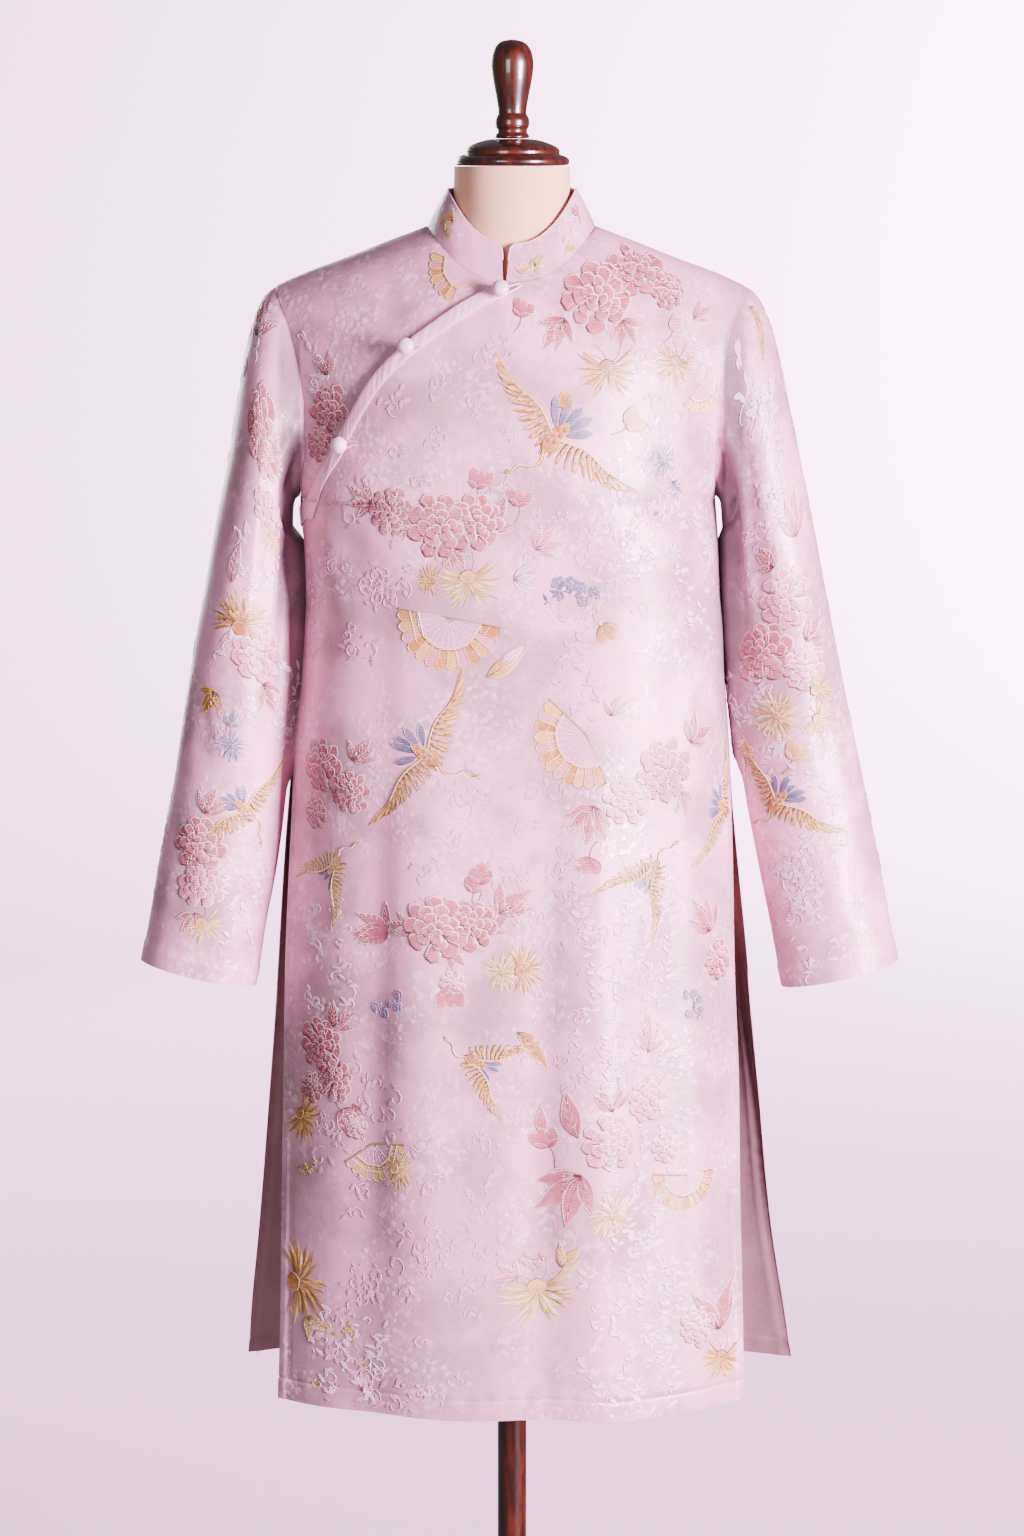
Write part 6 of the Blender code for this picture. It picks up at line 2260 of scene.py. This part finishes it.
@dataclass
class DressForm:
    """The linen torso and neck that carry the tunic."""

    materials: Materials
    torso_foot: float = 800.0
    neck_top: float = 1542.4
    foot_scale: float = 0.88
    foot_rise: float = 3.0
    rings: tuple[Point2, ...] = ((0.28, 57.5), (0.5, 55.4), (0.78, 55.0), (1.0, 54.6))
    columns: int = 34
    rows: int = 100

    def shares(self) -> np.ndarray:
        """The columns' shares of the half-width."""
        flank = shares_between(NECK_SHARE, 1, self.columns)
        return np.concatenate([-flank[::-1], shares_between(-NECK_SHARE, NECK_SHARE, 44)[1:-1], flank])

    def grid(self, side: BodySide) -> Points:
        """The torso's front or back, from the shoulder line or the neck down."""
        tops = side.piece_top(self.shares())
        down = np.linspace(0, 1, self.rows)[:, None] ** 1.25
        heights = tops[None, :] + (self.torso_foot - tops[None, :]) * down
        return side.base(np.broadcast_to(self.shares(), heights.shape), heights)

    def neck(self, foot: Points) -> Points:
        """Rings of the neck above its foot, the last drawn together on top."""
        axis = np.array([0, NECK_AXIS_Y, 0])
        radius = curve(*zip(*self.rings))
        out = unit((foot - axis) * [1, 1, 0])
        first = (foot - axis) * [self.foot_scale, self.foot_scale, 1] + axis + [0, 0, self.foot_rise]
        rings = [first]
        for rise in np.linspace(0.12, 1, 22):
            ring = out * float(radius(max(rise, self.rings[0][0]))) + axis
            ring = first + (ring - first) * smoothstep(0.0, self.rings[0][0], rise)
            ring[:, 2] = foot[:, 2] + rise * (self.neck_top - foot[:, 2])
            rings.append(ring)
        rings.append((rings[-1] - axis) * [0.05, 0.05, 1] + axis)
        return np.stack(rings)

    def build(self) -> None:
        """Makes the torso and the neck as one closed form."""
        front, back = self.grid(FORM_FRONT), self.grid(FORM_BACK)
        loop = np.concatenate([front, back[:, ::-1]], axis=1)
        columns = loop.shape[1]
        on_neck = np.flatnonzero(np.abs(self.shares()) < NECK_SHARE + 1e-9)
        around = np.concatenate([on_neck, columns - 1 - on_neck[-2:0:-1]])
        neck = self.neck(loop[0, around])
        count = self.rows * columns
        half = np.arange(columns // 2)
        low = count - columns
        faces = np.concatenate([
            grid_faces(self.rows, columns, True)[:, ::-1],
            grid_faces(len(neck), len(around), True, count),
            strip_faces(around, np.arange(len(around)) + count, True),
            strip_faces(low + half, low + columns - 1 - half, False)[:, ::-1],
        ])
        points = np.concatenate([loop.reshape(-1, 3), neck.reshape(-1, 3)])
        made = add_mesh("dress_form", points, faces, [self.materials.linen], sharp=50)
        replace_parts(settle(made), "form_torso")


@dataclass(frozen=True)
class Turning:
    """One turned piece of the stand: its outline of radius and height from the top down."""

    name: str
    node: str
    outline: tuple[Point2, ...]
    axis_y: float = 0.0
    smoothed: int = 2
    sides: int = 96

    def rounded(self) -> np.ndarray:
        """The outline with its corners cut off a few times, its ends kept."""
        line = np.asarray(self.outline, float)
        for _ in range(self.smoothed):
            near, far = line[:-1] * 0.78 + line[1:] * 0.22, line[:-1] * 0.22 + line[1:] * 0.78
            line = np.concatenate([line[:1], np.stack([near, far], 1).reshape(-1, 2)[1:-1], line[-1:]])
        return line

    def build(self, materials: Materials) -> None:
        """Makes the piece."""
        line = self.rounded()
        line[:, 0] = np.maximum(line[:, 0], 0.01)
        turn = np.linspace(0, 2 * math.pi, self.sides, endpoint=False)
        radius, height = line[:, :1], np.broadcast_to(line[:, 1:], (len(line), self.sides))
        points = np.stack([radius * np.cos(turn), radius * np.sin(turn) + self.axis_y, height], -1)
        faces = grid_faces(len(line), self.sides, True)[:, ::-1]
        made = add_mesh(self.name, points.reshape(-1, 3), faces, [materials.wood], sharp=60)
        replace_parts(settle(made), self.node)


STAND = (
    Turning("finial_turned", "finial", (
        (0, 1660), (8, 1659), (14, 1656), (18.6, 1649), (20.6, 1638), (19, 1623.5), (15.2, 1605),
        (13.1, 1592), (14.6, 1589.5), (16.3, 1586), (16.3, 1580), (14.1, 1576.5), (14.1, 1573.5),
        (16.5, 1571), (16.5, 1568.3), (0, 1568.3),
    ), NECK_AXIS_Y),
    Turning("neck_cap_turned", "neck_cap", (
        (0, 1568), (18, 1568), (27, 1566.5), (36, 1563.5), (43, 1560), (45, 1557), (44.5, 1553.5),
        (50, 1552), (53.6, 1549.5), (54.2, 1546.5), (52.6, 1542.7), (0, 1542.7),
    ), NECK_AXIS_Y),
    Turning("pole_turned", "stand_pole", ((0, 799.7), (14, 799.7), (14, 26.3), (0, 26.3)), smoothed=0),
    Turning("base_turned", "stand_base", (
        (0, 26), (34, 26), (60, 22), (150, 17), (183, 14), (190, 9), (190, 3), (187, 0), (0, 0),
    )),
)


PEONY, BLUSH, GOLD, STRAW, SLATE, SILVER, SELF = Silk

FRONT_LAYOUT: Layout = {
    Kind.SCROLLS: (
        (150, SELF, -75, 1320), (140, SELF, -120, 1150), (150, SELF, 90, 1200), (170, SELF, -10, 900),
        (150, SELF, 80, 760), (170, SELF, -90, 560), (150, SELF, -110, 430), (120, SELF, 170, 1320),
        (80, SILVER, 130, 540), (70, STRAW, -170, 415), (60, SELF, -52, 960), (120, SELF, -160, 640),
    ),
    Kind.FOLIAGE: (
        (150, SILVER, 170, 1170, 0, 60), (230, SILVER, 112, 800, 0, 100), (200, SILVER, 120, 620, 0, 84),
        (170, SILVER, 116, 440, 0, 100), (130, SILVER, -172, 810, 0, 60), (90, SILVER, -156, 420, 0, 80),
        (110, SELF, -186, 1130, 0, 50), (120, SELF, 60, 1080, 0, 60), (50, SILVER, 150, 1236, 0, 50),
    ),
    Kind.LEAF: (
        (42, STRAW, -24, 1073, 62), (30, SILVER, -12, 1082, 50), (44, GOLD, 5, 740, 128), (30, PEONY, 30, 640, -14),
        (46, PEONY, 62, 640, -24, 0.06), (34, PEONY, -150, 664, 150), (34, BLUSH, 128, 722, 14, 0.04),
    ),
    Kind.SPRAY: (
        (34, PEONY, 48, 1404, 215, 4), (28, PEONY, 102, 1402, 160, 4), (22, PEONY, 170, 1402, 60, 3),
        (18, SLATE, 150, 1252, 150, 4), (20, SILVER, 134, 1222, 10, 5), (30, PEONY, -130, 1232, -70, 4),
        (30, BLUSH, 22, 1192, 60, 4), (27, SILVER, 2, 1164, 92, 4), (22, BLUSH, 92, 1036, 30, 4),
        (34, PEONY, 168, 1006, 40, 4), (38, PEONY, 76, 952, 200, 5), (24, PEONY, 160, 960, 165, 3),
        (28, PEONY, -148, 990, 40, 4), (40, PEONY, -116, 832, -75, 5), (38, PEONY, -12, 852, 52, 4),
        (38, PEONY, 188, 824, -20, 5), (30, PEONY, -170, 736, 40, 5), (54, PEONY, 66, 604, 232, 5),
        (30, PEONY, 92, 664, 6, 4), (34, BLUSH, 128, 716, 16, 4), (26, BLUSH, 6, 506, -70, 4),
        (24, STRAW, 46, 516, 40, 5), (24, STRAW, -196, 452, 140, 4), (54, PEONY, 198, 440, 6, 5),
    ),
    Kind.BUD: (
        (9, PEONY, 8, 1408, 20), (8, BLUSH, 150, 1394, 40), (7, GOLD, 50, 1326, -30), (10, STRAW, 108, 1308, 60),
        (9, PEONY, 6, 1236, 10), (9, GOLD, 86, 1118, 140), (10, PEONY, 72, 900, 200), (10, PEONY, -30, 884, 5),
        (11, PEONY, -58, 778, 175), (11, PEONY, -158, 654, 150), (12, PEONY, 32, 634, -20),
    ),
    Kind.BLOSSOMS: (
        (26, SLATE, 56, 1146, 0, 8), (17, SLATE, -118, 762, 0, 6), (17, SLATE, 171, 757, 70, 6),
        (12, GOLD, -196, 596, 0, 4), (14, BLUSH, 18, 522, 0, 5), (16, SILVER, 96, 700, 60, 6),
    ),
    Kind.FAN: (
        (28, STRAW, 176, 1342, 150, 150), (50, GOLD, -58, 1128, 190, 178), (50, GOLD, 70, 1018, 236, 156),
        (36, STRAW, -132, 628, 160, 150), (34, GOLD, 164, 594, 182, 190),
    ),
    Kind.PEONY: (
        (27, PEONY, 116, 1452), (31, PEONY, 80, 1424, 30), (16, PEONY, 146, 1428), (21, PEONY, -112, 1226, 70),
        (28, PEONY, 144, 982), (22, BLUSH, 108, 956), (24, PEONY, -180, 984), (19, PEONY, -152, 960, 50),
        (14, PEONY, -186, 938), (11, BLUSH, -56, 786), (18, PEONY, 196, 796), (24, PEONY, -182, 718),
        (19, PEONY, -168, 684, 70), (14, PEONY, -190, 676), (12, BLUSH, -150, 644), (25, BLUSH, 92, 634),
        (21, BLUSH, 128, 672), (14, BLUSH, 146, 624), (18, BLUSH, 178, 446),
    ),
    Kind.CLUSTER: ((29, PEONY, -66, 1214), (28, PEONY, -70, 838)),
    Kind.HALF: (
        (27, GOLD, 87, 1352, 185), (21, GOLD, 150, 1358, 200), (28, STRAW, -40, 1158, 175), (14, GOLD, -78, 1164, -80),
        (22, GOLD, 14, 800, 70), (24, GOLD, -198, 642, 130), (20, STRAW, -104, 606, 110), (34, STRAW, 24, 486, 180),
        (36, GOLD, -200, 488, 70), (22, GOLD, 200, 408, 190),
    ),
    Kind.ROSETTE: ((17, SLATE, 141, 1270), (19, STRAW, -10, 797), (23, STRAW, 93, 564)),
    Kind.CRANE: (
        (156, GOLD, 40, 1296, 44, 12), (142, GOLD, -80, 1000, -58, -10), (100, STRAW, -168, 890, 218, 58),
        (104, GOLD, 132, 888, 216, 56), (110, GOLD, 200, 940, -66, 20), (102, GOLD, -34, 712, 118, 56),
    ),
}
UNDER_LAYOUT: Layout = {
    Kind.FOLIAGE: ((70, SILVER, -192, 1358, 0, 40),),
    Kind.FAN: ((34, GOLD, -44, 1450, 214, 160),),
    Kind.SPRAY: ((24, PEONY, -172, 1350, -10, 4),),
    Kind.PEONY: ((24, PEONY, -168, 1316), (16, PEONY, -180, 1286)),
}
BACK_LAYOUT: Layout = {
    Kind.SCROLLS: (
        (130, SELF, 160, 1200), (130, SELF, -170, 1070), (130, SELF, 0, 800), (130, SELF, 170, 900),
        (130, SELF, -110, 600), (130, SELF, 60, 470),
    ),
    Kind.FOLIAGE: (
        (150, SILVER, -160, 1160, 0, 80), (150, SILVER, 170, 1030, 0, 80), (150, SILVER, 0, 760, 0, 80),
        (150, SILVER, -170, 860, 0, 80), (150, SILVER, 110, 560, 0, 80), (150, SILVER, -60, 430, 0, 80),
    ),
    Kind.BLOSSOMS: (
        (18, SLATE, 20, 1304), (18, SLATE, 186, 1374, 50), (18, SLATE, 0, 1034, 100), (18, SLATE, 130, 704, 150),
        (18, SLATE, -90, 594, 200), (18, SLATE, 160, 374, 350),
    ),
    Kind.FAN: (
        (38, STRAW, 60, 1430, 180), (38, GOLD, -150, 1260, 150), (38, STRAW, 150, 1180, 200),
        (38, GOLD, -170, 760, 190), (38, STRAW, 170, 480, 170),
    ),
    Kind.CLUSTER: (
        (27, BLUSH, -90, 1400, 0, -1), (29, PEONY, 86, 1310, 60), (27, PEONY, -60, 1180, -30, -1),
        (29, BLUSH, 104, 1060, 10), (27, PEONY, -110, 930, 40, -1), (29, PEONY, 60, 830, -50),
        (27, BLUSH, -60, 690, 20, -1), (29, PEONY, 130, 640, 80), (27, PEONY, -150, 500, 0, -1),
        (29, BLUSH, 40, 480, 40),
    ),
    Kind.ROSETTE: (
        (20, STRAW, -20, 1330), (20, SLATE, 150, 1400), (20, GOLD, -40, 1060), (20, SILVER, 90, 730),
        (20, STRAW, -130, 620), (20, SLATE, 200, 780), (20, GOLD, -210, 440), (20, SILVER, 120, 400),
    ),
    Kind.CRANE: (
        (130, GOLD, 10, 1240, 40, 12), (122, GOLD, -130, 1080, -50, 22), (114, GOLD, 20, 960, 200, 32),
        (106, GOLD, 150, 900, -40, 42), (98, GOLD, -20, 590, 130, 52),
    ),
}
LEFT_SLEEVE_LAYOUT: Layout = {
    Kind.SCROLLS: ((70, SELF, -250, 1040), (70, SELF, -262, 880), (60, SELF, -240, 1350)),
    Kind.FOLIAGE: ((110, SILVER, -228, 1330, 0, 50), (130, SILVER, -242, 1140, 0, 56), (90, SILVER, -260, 850, 0, 60)),
    Kind.LEAF: ((34, BLUSH, -262, 1150, -10, 0.06),),
    Kind.SPRAY: (
        (28, PEONY, -240, 1312, -20, 4), (22, BLUSH, -226, 1290, 40, 4), (30, PEONY, -236, 1062, 150),
        (26, GOLD, -280, 1046, 210, 4), (17, SLATE, -268, 1018, 30, 4), (28, PEONY, -292, 932, 20, 4),
        (26, PEONY, -300, 838, 190, 4),
    ),
    Kind.PEONY: (
        (25, PEONY, -234, 1284), (21, BLUSH, -228, 1232, 30), (25, BLUSH, -240, 1092), (24, PEONY, -298, 902),
        (20, BLUSH, -296, 864, 50),
    ),
    Kind.HALF: (
        (22, GOLD, -232, 1384, 190), (16, STRAW, -226, 1204, 170), (30, GOLD, -252, 1120, 20),
        (18, STRAW, -294, 826, 160),
    ),
    Kind.ROSETTE: ((15, SLATE, -266, 1000),),
    Kind.CRANE: ((104, GOLD, -254, 942, -48, 8),),
}
RIGHT_SLEEVE_LAYOUT: Layout = {
    Kind.SCROLLS: ((70, SILVER, 276, 880), (70, SELF, 240, 1180), (80, SELF, 268, 860)),
    Kind.FOLIAGE: (
        (150, SILVER, 240, 1262, 0, 50), (120, SILVER, 290, 930, 0, 60), (110, SILVER, 286, 836, 0, 60),
        (90, SILVER, 232, 1010, 0, 50),
    ),
    Kind.SPRAY: ((36, BLUSH, 266, 1186, 20), (28, PEONY, 246, 1170, -30, 4), (30, PEONY, 276, 1096, 80, 4)),
    Kind.BUD: ((9, STRAW, 222, 1000, 20), (9, STRAW, 266, 992, 40)),
    Kind.BLOSSOMS: ((20, SILVER, 240, 1236, 60, 6), (18, SILVER, 236, 1290, 20, 6)),
    Kind.PEONY: ((26, BLUSH, 258, 1138), (28, PEONY, 236, 1092), (20, BLUSH, 276, 1072)),
    Kind.HALF: ((18, GOLD, 226, 1378, 10), (20, GOLD, 290, 1050, 60), (17, STRAW, 292, 1018, 130)),
    Kind.ROSETTE: ((24, STRAW, 250, 1032),),
    Kind.CRANE: ((88, GOLD, 230, 1350, -80, 30), (112, GOLD, 252, 952, 52, 18)),
}
# Round the outer and the back side of a sleeve, where "across" is an angle
SLEEVE_BACK_LAYOUT: Layout = {
    Kind.FOLIAGE: (
        (90, SILVER, -10, 1270, 0, 50), (90, SILVER, -90, 1180, 0, 50), (90, SILVER, -50, 1060, 0, 50),
        (90, SILVER, -10, 900, 0, 50), (90, SILVER, -130, 950, 0, 50), (90, SILVER, 150, 1040, 0, 50),
    ),
    Kind.SCROLLS: ((60, SELF, 10, 1300), (60, SELF, -70, 1210), (60, SELF, -30, 1090), (60, SELF, -110, 980)),
    Kind.SPRAY: (
        (26, PEONY, -34, 1352, -40, 4), (26, PEONY, -84, 1262, 20, 4), (26, PEONY, -134, 1172, 80, 4),
        (26, PEONY, -44, 1142, -40, 4), (26, PEONY, -94, 1052, 20, 4), (26, PEONY, -54, 952, 80, 4),
    ),
    Kind.PEONY: (
        (20, BLUSH, -20, 1330), (23, PEONY, -70, 1240, 40), (20, BLUSH, -120, 1150), (23, PEONY, -30, 1120, 60),
        (20, BLUSH, -80, 1030, -30), (23, PEONY, -40, 930, 20), (20, BLUSH, -110, 880, 50), (23, PEONY, -70, 830),
    ),
    Kind.HALF: (
        (20, GOLD, -60, 1310), (20, STRAW, -20, 1200, 50), (20, SLATE, -100, 1080, 100), (20, GOLD, -20, 1010, 150),
        (20, GOLD, -70, 940, 200), (20, STRAW, -20, 850, 250), (20, SLATE, -160, 1000, 300), (20, GOLD, -150, 860, 350),
    ),
}
COLLAR_LAYOUT: Layout = {
    Kind.FOLIAGE: ((30, STRAW, 44, 18, 0, 40), (28, SILVER, 56, 20, 0, 30), (26, STRAW, 22, 12, 0, 26)),
    Kind.SPRAY: ((11, GOLD, -56, 24, -30, 4), (10, STRAW, 20, 12, 60, 3)),
    Kind.BUD: ((5, PEONY, 64, 24, 10),),
    Kind.HALF: ((10, STRAW, -60, 17, 20),),
}


@dataclass(frozen=True)
class Lamp:
    """A soft rectangular light that looks at a point."""

    name: str
    place: Sequence[float]
    aim: Sequence[float]
    size: Sequence[float]
    watts: float
    tint: Colour = (1.0, 1.0, 1.0)

    def build(self) -> None:
        """Adds the light."""
        data = bpy.data.lights.new(self.name, "AREA")
        data.shape = "RECTANGLE"
        data.size, data.size_y = self.size
        data.energy = self.watts
        data.color = self.tint
        lamp = bpy.data.objects.new(self.name, data)
        lamp.location = self.place
        towards = Vector(self.aim) - Vector(self.place)
        lamp.rotation_euler = towards.to_track_quat("-Z", "Y").to_euler()
        lamp.visible_camera = False
        bpy.context.scene.collection.objects.link(lamp)


@dataclass
class Studio:
    """Pale paper sweep, soft lights and the camera."""

    distance: float = 4.0
    camera_height: float = 1.5483
    tilt: float = 81.7823
    lens: float = 98.67
    lamps: tuple[Lamp, ...] = (
        Lamp("key", (3.0, -2.7, 1.36), (0.0, 0, 1.15), (1.2, 1.8), 1300, (1.0, 0.77, 0.93)),
        Lamp("fill", (-1.6, -4.4, 1.7), (0, 0, 1.1), (1.6, 2.2), 95, (1.0, 0.98, 0.95)),
        Lamp("back", (-1.6, 3.4, 1.7), (0, 0, 1.0), (2.0, 2.0), 150, (1.0, 0.92, 0.95)),
        Lamp("backdrop", (4.8, 6.2, 3.6), (4.0, 8.2, 0.4), (1.6, 3.4), 12500, (1.0, 1.0, 1.0)),
    )
    world: Colour = (1.0, 0.92, 0.95)
    world_strength: float = 0.20
    floor_radius: float = 5.0
    wall_bend: float = 6.0
    wall_height: float = 9.0

    def build(self) -> None:
        """Makes the camera, the lights and the sweep."""
        self.build_camera()
        for lamp in self.lamps:
            lamp.build()
        self.build_world()
        self.build_sweep()

    def build_camera(self) -> None:
        """The camera, a little above the chest and tilted down."""
        data = bpy.data.cameras.new("camera")
        data.sensor_fit = "AUTO"
        data.sensor_width = 36.0
        data.lens = self.lens
        data.clip_end = 60
        camera = bpy.data.objects.new("camera", data)
        camera.location = (0, -self.distance, self.camera_height)
        camera.rotation_euler = (math.radians(self.tilt), 0, 0)
        bpy.context.scene.collection.objects.link(camera)
        bpy.context.scene.camera = camera

    def build_world(self) -> None:
        """Even light from all round."""
        world = bpy.data.worlds.new("studio")
        world.use_nodes = True
        background = world.node_tree.nodes["Background"]
        background.inputs["Color"].default_value = (*self.world, 1)
        background.inputs["Strength"].default_value = self.world_strength
        bpy.context.scene.world = world

    def build_sweep(self) -> None:
        """The round floor, which curves up into a wall all round."""
        bend = np.linspace(0, math.pi / 2, 24)
        reach, rise = self.floor_radius, self.wall_bend
        path = [(0.01, 0.0), *((reach + rise * math.sin(a), rise - rise * math.cos(a)) for a in bend)]
        path.append((reach + rise, self.wall_height))
        round_it = np.linspace(0, 2 * math.pi, 96, endpoint=False)
        points = [[(r * math.sin(a), r * math.cos(a), z) for a in round_it] for r, z in path]
        sweep = add_mesh(
            "sweep", np.array(points).reshape(-1, 3) / MM, grid_faces(len(path), 96, True), [PAPER.build()]
        )
        sweep.visible_diffuse = sweep.visible_shadow = sweep.visible_glossy = False


FASTENINGS = (
    Fastening(1, -10, 1425, 19.0, 22), Fastening(2, -94, 1375.5, 13.0, 8), Fastening(3, -153, 1286.5, 12.5, 12),
)


def build_tunic(materials: Materials) -> None:
    """The body, the sleeves, the collar and the band."""
    sleeves = [
        Sleeve(materials=materials, name=name, node=name, shape=SleeveSurface(ends, width, mirror, creases))
        for name, ends, width, mirror, creases in (
            ("left_sleeve", LEFT_ENDS, FRONT.left, -1, LEFT_SLEEVE_CREASES),
            ("right_sleeve", RIGHT_ENDS, FRONT.right, 1, RIGHT_SLEEVE_CREASES),
        )
    ]
    for piece, layout, seed in (
        (FrontPanel(materials=materials), FRONT_LAYOUT, 100), (UnderFront(materials=materials), UNDER_LAYOUT, 2000),
        (BackPanel(materials=materials), BACK_LAYOUT, 3000), (sleeves[0], LEFT_SLEEVE_LAYOUT, 4000),
        (sleeves[1], RIGHT_SLEEVE_LAYOUT, 5000),
    ):
        piece.build()
        round_back = spots_of(SLEEVE_BACK_LAYOUT, seed + 500) if piece in sleeves else []
        piece.weave([*spots_of(layout, seed), *round_back])
        piece.sew()
        piece.declare()
        LOG.info("%s", piece.name)
    collar, band = Collar(materials=materials), ClosureBand(materials=materials)
    collar.build()
    collar.weave(spots_of(COLLAR_LAYOUT, 6000))
    collar.declare()
    band.build()
    band.declare()
    LOG.info("collar and band")


def main() -> None:
    """Builds every piece in order."""
    logging.basicConfig(level=logging.INFO, format="%(message)s")
    Studio().build()
    materials = Materials()
    build_tunic(materials)
    for fastening in FASTENINGS:
        fastening.build(materials)
    LOG.info("buttons and loops")
    DressForm(materials).build()
    for turning in STAND:
        turning.build(materials)
    LOG.info("dress form and stand")


if __name__ == "__main__":
    main()
